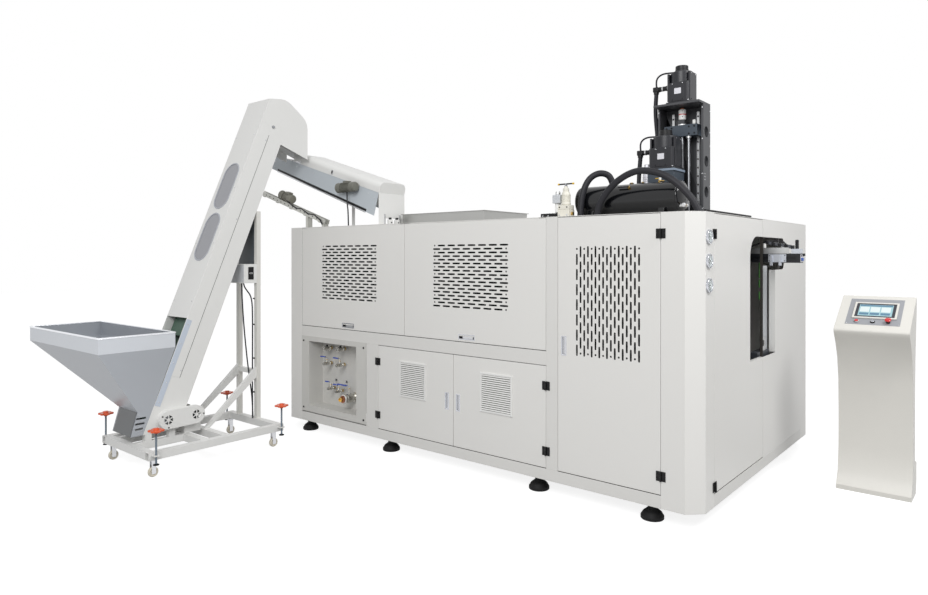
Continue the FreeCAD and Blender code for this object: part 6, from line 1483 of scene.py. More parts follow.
@dataclass(frozen=True)
class ServoMotor:
    """Square servo motor: flange, bevelled body, cover plates, stepped cap and connectors."""

    x: float
    y: float
    base: float
    half: float
    height: float
    reach: float
    bevel: float = 0.016
    covers: float = 0.134

    def add(self, form: Form) -> None:
        """Add the motor to a piece."""
        x, y, z, half = self.x, self.y, self.base, self.half
        top = z + self.height
        form.block(MOTOR, (x - half, y - half, z), (x + half, y + half, z + 0.014), 0.0025)
        corner = half - 0.012
        form.screws(ZINC, (x - corner, x + corner), (y - corner, y + corner), (z + 0.0135,), Z, 0.007)
        skin, cut, waist = half - 0.004, half - self.bevel, z + 0.014 + self.covers
        form.prism(MOTOR, [(x - skin, y - cut), (x - cut, y - skin), (x + cut, y - skin),
                           (x + skin, y - cut), (x + skin, y + cut), (x + cut, y + skin),
                           (x - cut, y + skin), (x - skin, y + cut)], Z, (z + 0.014, waist), 0.0022)
        rise = top - waist
        form.turned(MOTOR, [(0, -0.002), (skin - 0.003, -0.002), (skin - 0.003, rise - 0.010),
                            (skin - 0.0045, rise - 0.004), (skin - 0.009, rise), (0, rise)],
                    (x, y, waist), steps=56)
        for i in range(4):
            turn = Matrix.Translation((x, y, z)) @ Matrix.Rotation(math.pi / 2 * i, 4, "Z")
            tall = self.height - 0.024 if i % 2 else self.covers
            wide = 0.058 if i % 2 else 0.044
            form.block(MOTOR, (-wide, -skin - 0.0034, 0.018), (wide, -skin + 0.010, 0.014 + tall),
                       0.0016, place=turn)
            out = turn.to_3x3() @ FRONT
            for a in (-0.036, 0.036):
                for b in (0.028, 0.004 + tall):
                    form.screw(ZINC if b > 0.1 else DARK_SCREW, turn @ Vector((a, -skin - 0.0032, b)),
                               out, 0.0036)
        form.block(PLATE, (x - 0.022, y - skin - 0.0042, z + 0.066),
                   (x + 0.026, y - skin - 0.0030, z + 0.106), 0.0003, 1)
        form.turned(NYLON, [(0, 0), (0.0458, 0), (0.0458, 0.018), (0.0435, 0.020), (0.0435, 0.042),
                            (0.0415, 0.0445), (0, 0.0448)],
                    (x, y, top), steps=48)
        self.connectors(form)

    def connectors(self, form: Form) -> None:
        """Elbow connector towards the conduit, with its collars and second plug."""
        x, y, z, half = self.x, self.y, self.base, self.half
        out = x - half
        form.block(NYLON, (out - 0.012, y - 0.024, z + 0.112), (out + 0.005, y + 0.024, z + 0.158),
                   0.003)
        form.ring(SILVER, (out - 0.011, y, z + 0.135), LEFT, 0.0225, 0.012, 0.007, 28)
        form.rod(NYLON, (out - 0.010, y, z + 0.135), (out - self.reach + 0.006, y, z + 0.135), 0.0165,
                 28, 0.002)
        for at in (0.022, 0.052, 0.074):
            form.ring(SILVER if at == 0.052 else NYLON, (out - at, y, z + 0.135), LEFT, 0.0185,
                      0.012, 0.009, 28)
        form.block(NYLON, (out - self.reach - 0.020, y - 0.019, z + 0.1175),
                   (out - self.reach + 0.020, y + 0.019, z + 0.1528), 0.005, 3)
        form.rod(NYLON, (out - self.reach, y, z + 0.119), (out - self.reach, y, z + 0.103), 0.0188, 28,
                 0.002)


@dataclass(frozen=True)
class StretchUnit:
    """Servo column on the roof: plates, rails, ball screw, carriage and two motors."""

    screw_x: float = -0.313
    screw_y: float = 0.738
    left: float = -0.476
    right: float = -0.150
    front: float = 0.700
    back: float = 0.830
    top: float = 2.680
    carriage: tuple[float, float] = (2.470, 2.550)
    motors: tuple[ServoMotor, ...] = (ServoMotor(-0.313, 0.730, 2.695, 0.083, 0.228, 0.106),
                                      ServoMotor(-0.375, 0.600, 2.230, 0.092, 0.230, 0.097))

    def build(self) -> None:
        """Make the column, the screw, the carriage and the motors."""
        self.column()
        self.screw()
        self.slide()
        form = Form("servo_motor_pair")
        for motor in self.motors:
            motor.add(form)
        form.done("machine", ["servo_motors"])

    def column(self) -> None:
        """Painted plates as made, ground rails, screws and the hose bulkhead."""
        form = Form("servo_column_plates")

        def pick(low: Vector, high: Vector) -> Finish:
            """Bright rails, blue-grey stand and top plate, olive outer plate, else the dark paint."""
            size = high - low
            if size.x < 0.022 and size.z > 0.5 and size.y < 0.022:
                return SILVER
            if low.z > self.top - 0.010 or high.y < 0.700 and low.z > ROOF + 0.200:
                return TOP_PLATE
            if high.y < 0.700 and low.z > ROOF + 0.010:
                return STAND
            return OUTER_PLATE if low.x > self.right - 0.030 and size.z > 0.5 else COLUMN
        copied(form, "servo_column", pick)
        form.screws(ZINC, (self.right,), (self.back - 0.008,),
                    (1.955, 2.120, 2.230, 2.400, 2.490, 2.640), X, 0.0055)
        form.screws(ZINC, (self.left + 0.007, self.right - 0.007), (self.front,),
                    (1.960, 2.200, 2.440, 2.655), FRONT, 0.0048)
        form.screws(DARK_SCREW, (-0.403, -0.223), (0.797,), [1.955 + i * 0.060 for i in range(12)],
                    FRONT, 0.0062)
        for x in (self.left - 0.050, self.right + 0.022):
            for y in (0.535, 0.690, 0.840):
                form.rod(ZINC, (x, y, ROOF + 0.015), (x, y, ROOF + 0.023), 0.009, 6, 0.001)
        for i in range(3):
            for j in range(2):
                form.rod(DIAL, (-0.150, 0.722 + j * 0.018, 2.160 + i * 0.020),
                         (-0.1494, 0.722 + j * 0.018, 2.160 + i * 0.020), 0.003, 12)
        form.done("machine", ["servo_column"], 0.0012)

    def screw(self) -> None:
        """Ball screw: core with its helical thread, plain ends, coupling and nut."""
        form = Form("ball_screw_shaft")
        x, y = self.screw_x, self.screw_y
        form.rod(GROUND, (x, y, 1.917), (x, y, 2.590), 0.0125, 24, 0.001)
        with form.shape(GROUND, Matrix.Translation((x, y, 1.948))) as part:
            pitch, turns, sides = 0.010, 59, 20
            join(part,
                 ((0.0120, 0, 0), (0.01385, 0, 0.0018), (0.01385, 0, 0.0052), (0.0120, 0, 0.0070)))
            bmesh.ops.spin(part, geom=part.verts[:] + part.edges[:], cent=(0, 0, 0), axis=(0, 0, 1),
                           dvec=(0, 0, pitch / sides), angle=2 * math.pi * turns, steps=sides * turns)
        form.turned(VENT, [(0, 0), (0.0215, 0), (0.0255, 0.004), (0.0255, 0.034), (0.024, 0.037),
                           (0.0235, 0.040), (0.0255, 0.044), (0.0255, 0.070), (0.0215, 0.074),
                           (0, 0.074)], (x, y, 2.590), steps=36)
        form.ring(BUTTON, (x, y, 2.6255), Z, 0.0252, 0.020, 0.0065, 36)
        form.turned(COPPER, [(0, 0), (0.0175, 0), (0.0175, 0.010), (0.0150, 0.012), (0, 0.012)],
                    (x, y, 2.664), steps=32)
        for a in (0, math.pi):
            for h in (2.612, 2.652):
                at = Vector((x + 0.0250 * math.cos(a - 1.2), y + 0.0250 * math.sin(a - 1.2), h))
                form.screw(DARK_SCREW, at, Vector((math.cos(a - 1.2), math.sin(a - 1.2), 0)), 0.0032)
        form.done("ball_screw_body", ["ball_screw"])

    def slide(self) -> None:
        """Carriage block with linear bearings, nut flange, rod clamps and stretch rods."""
        form = Form("stretch_slide")
        low, high = self.carriage
        x, y = self.screw_x, self.screw_y
        hole, back, rods = 0.0148, 0.7967, 0.725
        for x0, x1 in ((x - 0.118, x - hole), (x + hole, x + 0.118)):
            form.block(STAND, (x0, self.front, low), (x1, back, high), 0.0022)
        form.block(STAND, (x - hole - 0.002, self.front, low), (x + hole + 0.002, y - hole, high),
                   0.001, 1)
        form.block(STAND, (x - hole - 0.002, y + hole, low), (x + hole + 0.002, back, high), 0.001, 1)
        form.ring(SILVER, (x, y, high - 0.0002), Z, 0.036, hole, 0.010, 40)
        for i in range(6):
            a = math.radians(60 * i + 15)
            form.screw(DARK_SCREW, (x + 0.028 * math.cos(a), y + 0.028 * math.sin(a), high + 0.0095),
                       Z, 0.004)
        form.screws(DARK_SCREW, [x + a for a in (-0.100, -0.062, 0.062, 0.100)], (self.front,),
                    (low + 0.016, high - 0.016), FRONT, 0.0060)
        form.rod(VENT, (x + 0.090, rods, high - CLEAR), (x + 0.090, rods, high + 0.030), 0.012, 24,
                 0.002)
        for h in (0.016, 0.034, 0.052):
            form.ring(SILVER if h == 0.034 else DARK_SCREW, (-0.418, rods, low - h), DOWN, 0.0165,
                      0.0108, 0.012, 28)
        for rx in (-0.262, -0.418):
            form.rod(GROUND, (rx, rods, 1.750), (rx, rods, low + 0.010), 0.0108, 28, 0.002)
            form.ring(SILVER, (rx, rods, low), DOWN, 0.019, 0.0108, 0.014, 32)
        form.done("stretch_carriage_body", ["stretch_carriage"])


# ---------------------------------------------------------------- inside
@dataclass(frozen=True)
class Inside:
    """Oven, clamp and moulds behind the doors, and the outfeed module through the window."""

    beam_y: tuple[float, float] = (1.250, 1.330)
    beam_z: tuple[float, float] = (1.585, 1.650)
    beam_right: float = 0.330

    def build(self) -> None:
        """Make the oven, the clamp, the mould halves and the outfeed."""
        carried("oven", "machine", STEEL, 0.0012)
        self.clamp()
        for side in ("front", "rear"):
            carried(f"{side}_mould", f"{side}_mould_body", ALUMINIUM, 0.002)
        self.beam()
        self.gripper()

    @staticmethod
    def clamp() -> None:
        """Painted platens and bed with ground tie bars and their nuts."""
        form = Form("clamp_unit")

        def pick(low: Vector, high: Vector) -> Finish:
            """Ground steel for round tie bars and slide rails, paint for the rest."""
            size = high - low
            return GROUND if size.x < 0.055 and size.z < 0.055 and size.y > 0.3 else CLAMP
        copied(form, "clamp_frame", pick)
        for x in (-0.742, -0.172):
            for z in (0.800, 1.540):
                form.rod(DARK_SCREW, (x, 0.366, z), (x, 0.350, z), 0.040, 6, 0.002)
                form.rod(DARK_SCREW, (x, 1.084, z), (x, 1.100, z), 0.040, 6, 0.002)
        form.done("machine", ["clamp_frame"], 0.0015)

    def beam(self) -> None:
        """Black module with its cover, brackets, sensor block, silencer and green tubes."""
        form = Form("outfeed_module")

        def pick(low: Vector, high: Vector) -> Finish:
            """Bead-blasted cover and end block, black body, silencer and hangers."""
            size = high - low
            if size.z < 0.006 and size.x > 0.5:
                return SILVER
            return GRIPPER if low.x > 0.25 and size.z < 0.04 else BEAM
        copied(form, "outfeed_beam", pick)
        (y0, y1), (z0, z1), x = self.beam_y, self.beam_z, self.beam_right
        form.block(PLATE, (x - 0.001, y0 + 0.008, z0 + 0.006), (x + 0.003, y1 - 0.008, z1 - 0.006),
                   0.0008, 1)
        form.screws(DARK_SCREW, (x + 0.003,), (y0 + 0.018, y1 - 0.018), (z0 + 0.016, z1 - 0.016), X)
        form.block(BLUE_BLOCK, (x + 0.002, y0 + 0.014, z0 + 0.014), (x + 0.013, y0 + 0.056, z0 + 0.036),
                   0.003)
        form.rod(NYLON, (x + 0.002, y1 - 0.018, z1 - 0.008), (x + 0.018, y1 - 0.018, z1 - 0.008), 0.009,
                 20, 0.002)
        form.block(SILVER, (-0.900, y0 + 0.003, z1 - 0.001), (x - 0.075, y0 + 0.008, z1 + 0.043), 0.001)
        for i in range(9):
            at = (0.100 + i * 0.0215, (y0 + y1) / 2, z1 + 0.082 - i * 0.0045)
            form.block(CARRIER if i % 2 else BEAM, (at[0] - 0.0105, at[1] - 0.016, at[2] - 0.013),
                       (at[0] + 0.0105, at[1] + 0.016, at[2] + 0.013), 0.003)
        form.rod(VENT, (0.084, y0 + 0.028, z1 + 0.040), (0.084, y0 + 0.028, z1 + 0.074), 0.011, 20,
                 0.002)
        form.block(SILVER, (0.200, y0 + 0.020, z1 + 0.003), (0.206, y1 - 0.010, z1 + 0.052), 0.001)
        for i in range(5):
            form.ring(DARK_SCREW, (x - 0.030, (y0 + y1) / 2, z1 + 0.040 + i * 0.011), Z, 0.0128,
                      0.008, 0.006, 20)
        for shift in (0.0, 0.011):
            form.pipe(HOSE, [(x - 0.088, y0 + 0.024 + shift, z1 + 0.032),
                             (x - 0.092, y0 + 0.020 + shift, z1 + 0.060),
                             (x - 0.115, y0 + 0.020 + shift, z1 + 0.084),
                             (x - 0.160, y0 + 0.022 + shift, z1 + 0.094),
                             (x - 0.230, y0 + 0.030 + shift, z1 + 0.088),
                             (x - 0.330, y0 + 0.034 + shift, z1 + 0.060),
                             (x - 0.420, y0 + 0.036 + shift, z1 + 0.010)], 0.004, 10)
        self.rear_guides(form)
        form.done("machine", ["outfeed_beam"], 0.001)

    @staticmethod
    def rear_guides(form: Form) -> None:
        """Grey guide plate, dark cross bed, drilled bracket with its hole as a black disc of painted
        shade, and air tubes seen through the window.
        """
        form.block(CLAMP, (-0.020, 1.240, 0.860), (0.045, 1.522, 0.926), 0.003)
        form.block(BEAM, (-0.056, 1.180, 0.926), (-0.050, 1.370, 1.560), 0.001)
        form.block(CONTROL, (0.026, 1.372, 0.927), (0.032, 1.523, 1.560), 0.001)
        form.block(SILVER, (0.036, 1.335, 0.927), (0.041, 1.455, 1.030), 0.002)
        # black disc on the bracket: painted shade of its hole
        form.rod(HINGE, (0.0405, 1.395, 0.985), (0.0417, 1.395, 0.985), 0.024, 28)
        for z in (1.310, 1.400, 1.470, 1.530):
            form.pipe(GREEN_TUBE,
                      [(0.026, 1.360, z), (0.026, 1.360, z + 0.030), (0.026, 1.360, z + 0.058)], 0.007,
                      12)

    def gripper(self) -> None:
        """Carriage plate with two fingers and their screws."""
        form = Form("outfeed_gripper")
        copied(form, "outfeed_carriage", GRIPPER)
        low, high = span_of("outfeed_carriage")
        plate = self.beam_y[0] - 0.0123
        form.screws(DARK_SCREW, (low.x + 0.008, high.x - 0.008), (plate,),
                    (self.beam_z[0] + 0.014, self.beam_z[1] - 0.014), FRONT, 0.004)
        form.done("outfeed_carriage_body", ["outfeed_carriage"], 0.001)


# ---------------------------------------------------------------- feeder
def obround_ring(form: Form, finish: Finish, place: Matrix, width: float, length: float, rim: float,
                 depth: float) -> None:
    """Raised ring round an obround opening, drawn in local X and Z and raised to -Y."""
    with form.shape(finish, place) as part:
        for grow in (0.0, 2 * rim):
            obround(part, Vector(), width + grow, length + grow, 40)
        filled(part)
        pushed(part, bmesh.ops.extrude_face_region(part, geom=part.faces[:]), (0, -depth, 0))


@dataclass(frozen=True)
class Elevator:
    """Inclined preform elevator: casing, windows, belt, rollers, guard and hopper."""

    left: float = -4.016
    right: float = -3.686
    incline: float = 68.0
    boot: Point = (0.0, -1.307, 0.342)
    half_depth: float = 0.131
    windows: tuple[float, ...] = (2.250, 1.800)
    window: Flat = (0.210, 0.430)
    cover: Flat = (0.330, 2.560)
    seam: float = -0.012

    def slope(self) -> Matrix:
        """Placement with local Z up the slope and local Y square to it, from the lower roller."""
        return Matrix.Translation(self.boot) @ Matrix.Rotation(math.radians(self.incline - 90), 4, "X")

    def build(self) -> None:
        """Make the elevator's pieces."""
        self.casing()
        form = Form("elevator_panes")
        copied(form, "elevator_windows", PANE)
        form.done("machine", ["elevator_windows"], 0.0006)
        carried("elevator_belt", "machine", BELT, 0.0015)
        for node in ("drive_roller", "head_roller"):
            carried(node, node + "_body", GROUND, 0.0015)
        self.guard()
        self.hopper()

    def casing(self) -> None:
        """White casing with window gaskets, a grey strip painted as the shadow line at each cover
        plate's edge, rows of side screws and shaft caps.
        """
        form = Form("elevator_case")
        copied(form, "elevator_casing", FEEDER)
        slope = self.slope()
        middle = (self.left + self.right) / 2
        for z in self.windows:
            along = (z - self.boot[2] - self.half_depth * math.cos(math.radians(self.incline)))
            along /= math.sin(math.radians(self.incline))
            place = slope @ Matrix.Translation((middle, -self.half_depth, along))
            obround_ring(form, GASKET, place, self.window[0] - 0.004, self.window[1] - 0.004, 0.011,
                         0.004)
        for x, axis in ((self.right, X), (self.left, LEFT)):
            low, high = sorted((x - axis.x * 0.0005, x + axis.x * 0.0016))
            form.block(FEEDER, (low, -self.half_depth + 0.001, self.cover[0]),
                       (high, self.seam, self.cover[1]), 0.0006, 1, slope)
            # grey strip along the cover plate's edge: painted shadow of the plate's step
            form.block(SHADE_GREY, (low, self.seam - 0.0005, self.cover[0]),
                       (high, self.seam + 0.0035, self.cover[1]), place=slope)
            for along in (self.cover[0] + 0.060, 1.726, self.cover[1] - 0.060):
                form.screw(ZINC, slope @ Vector((x + axis.x * 0.0015, self.seam - 0.012, along)), axis,
                           0.0055)
        edge = self.right + 0.0015
        form.block(STRIP, (edge, -self.half_depth + 0.002, 0.080),
                   (edge + 0.0014, -self.half_depth + 0.048, 0.790), place=slope)
        for i in range(5):
            form.screw(ZINC,
                       slope @ Vector((edge + 0.0013, -self.half_depth + 0.025, 0.110 + i * 0.160)), X,
                       0.005)
        for i in range(4):
            along = 0.94 + i * 0.52
            for x in (self.left + 0.024, self.right - 0.024):
                at = slope @ Vector((x, -self.half_depth, along))
                form.screw(ZINC, at, slope.to_3x3() @ FRONT, 0.0055)
        form.done("machine", ["elevator_casing"], 0.0015)

    def guard(self) -> None:
        """Chain guard with its screws."""
        form = Form("chain_guard")
        copied(form, "drive_guard", FEEDER)
        low, high = span_of("drive_guard")
        for y, z in ((self.boot[1], self.boot[2] - 0.060), (self.boot[1] - 0.050, self.boot[2] + 0.034),
                     (high.y - 0.012, (low.z + high.z) / 2)):
            form.screw(DARK_SCREW, (high.x, y, z), X, 0.006)
        form.done("machine", ["drive_guard"], 0.0015)

    def hopper(self) -> None:
        """Stainless hopper with a rolled rim of bright steel, made lighter than the walls as painted
        sheen, and welded corner seams.
        """
        form = Form("preform_hopper_plates")
        copied(form, "preform_hopper", HOPPER)
        x0, x1, y0, y1, z = -5.081, -3.688, -1.813, -1.228, 1.022
        r = 0.0075
        corners = rectangle(x0, x1, y0, y1)
        for a, b in zip(corners, corners[1:] + corners[:1]):
            form.rod(HOPPER_RIM_SHEEN, (*a, z), (*b, z), r, 16)
        for a in corners:
            with form.shape(HOPPER_RIM_SHEEN, Matrix.Translation((*a, z))) as part:
                bmesh.ops.create_uvsphere(part, u_segments=16, v_segments=8, radius=r)
        low, high, out, sunk = 0.904, z - 0.006, 0.0009, 0.0002
        for a, b in (((x0 - out, y0 - out), (x1 + out, y0 + sunk)), ((x1 - sunk, y0), (x1 + out, y1)),
                     ((x0 - out, y1 - sunk), (x1 + out, y1 + out)), ((x0 - out, y0), (x0 + sunk, y1))):
            form.block(HOPPER_BAND, (*a, low), (*b, high))
        form.prism(BOOT, [(-1.5256, 0.432), (-1.5276, 0.432), (-1.5786, 0.252), (-1.5766, 0.252)], X,
                   (-3.994, -3.700))
        form.done("machine", ["preform_hopper"], 0.0008)


@dataclass(frozen=True)
class Cart:
    """Feeder cart: frame, castors, jack screws and the control box on its posts."""

    left: float = -4.146
    right: float = -3.356
    near: float = -1.598
    far: float = -0.438
    wheel_radius: float = 0.0375
    wheel_width: float = 0.028
    posts: tuple[float, float] = (-4.011, -3.726)
    post_front: float = -0.484

    def build(self) -> None:
        """Make the cart's pieces."""
        self.frame()
        for i in range(4):
            self.castor(i + 1)
        self.jacks()
        self.box()

    def frame(self) -> None:
        """White tube frame with cable clips on the right post and castor bolts."""
        form = Form("cart_weldment")

        def pick(low: Vector, high: Vector) -> Finish:
            """Zinc for the castor forks, warm white for the posts, white for the frame."""
            size = high - low
            if high.z < 0.140 and size.x < 0.070:
                return ZINC
            return CREAM_POST if size.z > 1.0 else FEEDER
        copied(form, "cart_frame", pick)
        for z in (0.42, 0.72, 1.02, 1.25):
            form.block(DARK_SCREW, (self.posts[1] - 0.012, self.post_front - 0.006, z),
                       (self.posts[1] + 0.010, self.post_front + 0.010, z + 0.012), 0.002)
        for x in (self.left + 0.060, self.right - 0.060):
            for y in (self.near + 0.060, self.far - 0.060):
                form.turned(ZINC,
                            [(0.004, 0), (0.024, 0), (0.026, 0.004), (0.022, 0.010), (0.004, 0.010)],
                            (x, y, 0.1215), steps=28)
        form.done("machine", ["cart_frame"], 0.0022)

    def castor(self, index: int) -> None:
        """Castor wheel with a rounded tread, a rib and a bright hub."""
        node = f"castor_wheel_{index}"
        low, high = span_of(node)
        r, w = self.wheel_radius, self.wheel_width
        form = Form(f"castor_{index}")
        centre = Vector((low.x, (low.y + high.y) / 2, (low.z + high.z) / 2))
        form.turned(WHEEL, [(0.0115, 0.003), (r - 0.013, 0.003), (r - 0.011, 0.0015), (r - 0.006, 0.0),
                            (r - 0.002, 0.003), (r, 0.008), (r, w - 0.008), (r - 0.002, w - 0.003),
                            (r - 0.006, w), (r - 0.011, w - 0.0015), (r - 0.013, w - 0.003),
                            (0.0115, w - 0.003), (0.0115, 0.003)], centre, X, 40)
        form.turned(ZINC,
                    [(0.0053, 0.0005), (0.0115, 0.0005), (0.0115, w - 0.0005), (0.0053, w - 0.0005),
                     (0.0053, 0.0005)], centre, X, 24)
        form.done(node + "_body", [node])

    def jacks(self) -> None:
        """Jack screws with lobed orange handwheels and foot pads."""
        form = Form("jack_set")
        for x in (self.left - 0.031, self.right + 0.031):
            for y in (self.near + 0.040, self.far - 0.040):
                self.jack(form, x, y)
        form.done("machine", ["jack_screws"])

    @staticmethod
    def jack(form: Form, x: float, y: float) -> None:
        """One jack screw."""
        thread = [(0, 0)]
        for i in range(52):
            thread += [(0.0066, i * 0.0045), (0.0079, i * 0.0045 + 0.0022)]
        thread += [(0.0066, 0.234), (0, 0.234)]
        form.turned(JACK_STEM, thread, (x, y, 0.118), steps=14)
        points = 60
        lobes = [(0.050 + 0.0075 * math.cos(6 * 2 * math.pi * i / points), 2 * math.pi * i / points)
                 for i in range(points)]
        form.prism(JACK, [(x + r * math.cos(a), y + r * math.sin(a)) for r, a in lobes], Z,
                   (0.352, 0.368), 0.0045)
        form.turned(JACK, [(0, 0), (0.019, 0), (0.021, 0.004), (0.018, 0.0165), (0, 0.018)],
                    (x, y, 0.362), steps=28)
        form.turned(JACK, [(0, 0), (0.015, 0), (0.017, 0.014), (0, 0.014)], (x, y, 0.340), steps=24)
        form.turned(RUBBER,
                    [(0, 0), (0.021, 0), (0.022, 0.002), (0.022, 0.006), (0.014, 0.010), (0, 0.010)],
                    (x, y, 0.108), steps=28)

    def box(self) -> None:
        """Control box with its door seam, socket strip, glands and the back plate."""
        form = Form("feeder_control_box")

        def pick(low: Vector, high: Vector) -> Finish:
            """Charcoal for the plate behind, dark for the socket strip, white for the box."""
            size = high - low
            if size.x < 0.005:
                return NYLON
            return CHARCOAL if size.y < 0.005 else FEEDER
        copied(form, "control_box", pick)
        front, face = self.post_front - 0.125, -3.686
        form.block(CONTROL, (-3.922, front - 0.002, 1.402), (-3.692, front + 0.001, 1.555), 0.001, 1)
        for y in (-0.552, -0.534):
            form.ring(SILVER, (face + 0.003, y, 1.482), X, 0.0075, 0.004, 0.004, 20)
        for x, y in ((-3.795, -0.546), (-3.781, -0.574)):
            form.rod(NYLON, (x, y, 1.396), (x, y, 1.3952), 0.011, 6)
        form.screws(ZINC, (-3.704,), (front - 0.002,), (1.430, 1.528), FRONT, 0.0055)
        form.done("machine", ["control_box"], 0.0015)


@dataclass(frozen=True)
class Unscrambler:
    """Sloping trough with its rollers, hinged hood, gate, rail and gear motors."""

    low: Flat = (-2.753, 2.180)
    slope: float = 17.3
    near: float = 0.110
    width: float = 0.312
    rail_low: Flat = (-3.480, 1.970)
    rail_slope: float = 18.0
    rail_run: float = 1.100

    def trough(self) -> Matrix:
        """Placement of the trough's level drawing."""
        return (Matrix.Translation((self.low[0], 0, self.low[1]))
                @ Matrix.Rotation(math.radians(self.slope), 4, "Y"))

    def rail(self) -> Matrix:
        """Placement of the rail's level drawing."""
        return (Matrix.Translation((self.rail_low[0], 0, self.rail_low[1]))
                @ Matrix.Rotation(math.radians(self.rail_slope), 4, "Y"))

    def build(self) -> None:
        """Make the unscrambler's pieces."""
        self.frame()
        self.hood()
        for node in ("near_roller", "far_roller"):
            carried(node, node + "_body", GROUND, 0.0015)
        self.motors()

    def frame(self) -> None:
        """Sheet trough with a black strip painted as the shadow under its side panel, aluminium rail
        with dark discs that paint the shade of its holes, and the gate's fittings.
        """
        form = Form("unscrambler_sheet")

        def pick(low: Vector, high: Vector) -> Finish:
            """Aluminium for the guide bars, blue-grey for the trough's sheet, else white."""
            rail = high.x < self.rail_low[0] + 0.01 and low.x > -4.65 and high.y < self.near + 0.060
            if rail and high.z < 2.36:
                return RAIL
            return TROUGH_SIDE if high.x - low.x > 1.0 else FEEDER
        copied(form, "unscrambler_frame", pick)
        trough, rail = self.trough(), self.rail()
        face = trough.to_3x3() @ FRONT
        for i in range(6):
            form.screw(ZINC, trough @ Vector((-0.120 - i * 0.270, self.near, -0.035)), face, 0.005)
        for x, z in ((-0.040, -0.060), (-0.040, -0.160), (-1.560, -0.060)):
            form.screw(ZINC, trough @ Vector((x, self.near, z)), face, 0.005)
        rim = trough @ Matrix.Translation((0, 0, -0.205)) @ Matrix.Rotation(math.atan(0.0375), 4, "Y")
        # black strip along the trough's lower edge: painted shadow under the side panel
        form.block(NYLON, (-1.500, self.near - 0.0015, 0.004), (-0.110, self.near + 0.0005, 0.026),
                   place=rim)
        form.rod(ZINC, rim @ Vector((-1.490, self.near - 0.004, 0)),
                 rim @ Vector((-0.115, self.near - 0.004, 0)), 0.0075, 20)
        cable = ((-0.640, 0.030), (-0.560, 0.004), (-0.460, -0.012), (-0.360, 0.006), (-0.260, -0.014),
                 (-0.160, 0.004), (-0.060, -0.020), (-0.020, -0.050))
        form.pipe(HOSE, [rail @ Vector((a, self.near - 0.007, b)) for a, b in cable], 0.006, 10)
        face = rail.to_3x3() @ FRONT
        # dark discs on the rail: painted shade of its holes
        for i in range(16):
            at = rail @ Vector((-self.rail_run + 0.050 + i * 0.066, self.near, -0.020))
            form.rod(DARK_SCREW, at, at + face * 0.0008, 0.0065, 12)
        x = self.low[0] + 0.003
        for y in (self.near + 0.060, self.near + self.width - 0.072):
            form.block(SILVER, (x - 0.0005, y, ROOF + 0.004), (x + 0.010, y + 0.012, ROOF + 0.100),
                       0.002)
        for y in (self.near + 0.117, self.near + 0.199):
            form.rod(NYLON, (x + 0.018, y, ROOF + 0.052), (x + 0.018, y, ROOF + 0.070), 0.013, 20,
                     0.002)
            form.screw(DARK_SCREW, (x + 0.036, y, ROOF + 0.026), X, 0.006)
        form.done("machine", ["unscrambler_frame"], 0.0012)

    def hood(self) -> None:
        """Rounded hood with its toggle latch and a grip."""
        form = Form("unscrambler_cover")
        copied(form, "unscrambler_hood", FEEDER)
        trough = self.trough()
        y = self.near
        form.block(ZINC, (-0.671, y - 0.0045, 0.008), (-0.649, y + 0.0005, 0.052), 0.0015, place=trough)
        form.block(DARK_SCREW, (-0.667, y - 0.009, 0.018), (-0.653, y - 0.004, 0.046), 0.002,
                   place=trough)
        form.done("unscrambler_hood_body", ["unscrambler_hood"], 0.0012, 40.0)

    def motors(self) -> None:
        """The three gear motors, each along its own axis."""
        form = Form("gear_motor_set")
        trough, rail = self.trough(), self.rail()
        at = trough @ Vector((-0.480, 0, -0.080))
        y = self.near - GearMotor.gearbox - CLEAR
        GearMotor(0.240).add(form, Matrix.Translation((at.x, y, at.z)), GEARMOTOR)
        bar, half_gap = 0.012, 0.016
        over = self.near + bar + half_gap
        seat = math.sqrt(GearMotor.gearbox ** 2 - half_gap ** 2) + CLEAR
        # the rail's motor takes the paler paint, its highlight painted in
        GearMotor(0.200).add(form, rail @ Matrix.Translation((-self.rail_run + 0.330, over, seat)),
                             LIT_GEARMOTOR)
        y, z = -1.143 + 0.070, 0.300 + CLEAR + GearMotor.gearbox
        GearMotor(0.230).add(form, Matrix.Translation((-3.936, y, z)), GEARMOTOR)
        form.rod(GROUND, (-3.706, y, z), (-3.662, y, z), 0.010, 20)
        form.rod(DARK_SCREW, (-3.674, y, z), (-3.666, y, z), 0.040, 24, 0.002)
        form.done("machine", ["gear_motors"])


@dataclass(frozen=True)
class GearMotor:
    """Small gear motor along X: gearbox, finned body, fan cover and terminal box."""

    length: float
    gearbox: float = 0.046

    def add(self, form: Form, place: Matrix, paint: Finish) -> None:
        """Add the motor to a piece."""
        origin = place.translation
        along = (place.to_3x3() @ X).normalized()
        r, length = self.gearbox, self.length
        form.turned(paint,
                    [(0, 0), (r - 0.006, 0), (r - 0.003, 0.003), (r, 0.006), (r, 0.016),
                     (r - 0.004, 0.019), (r - 0.004, 0.046), (r - 0.001, 0.050), (r - 0.001, 0.058),
                     (0.040, 0.060), (0, 0.060)], origin, along, 40)
        for i in range(6):
            turn = place @ Matrix.Rotation(math.radians(60 * i), 4, "X")
            form.block(paint, (-0.0012, -0.004, 0.010), (0.001, 0.004, 0.038), 0.001, 1, turn)
        form.turned(paint, [(0, 0.060), (0.037, 0.060), (0.037, length - 0.060), (0, length - 0.060)],
                    origin, along, 36)
        for i in range(24):
            turn = place @ Matrix.Rotation(math.radians(15 * i), 4, "X")
            form.block(paint, (0.064, -0.0014, 0.034), (length - 0.064, 0.0014, 0.0425), 0.0006, 1,
                       turn)
        form.turned(paint, [(0, length - 0.062), (0.043, length - 0.062), (0.044, length - 0.058),
                            (0.044, length - 0.012), (0.038, length - 0.002), (0.028, length),
                            (0, length)], origin, along, 40)
        form.block(paint, (0.090, -0.026, 0.034), (0.150, 0.026, 0.056), 0.004, place=place)


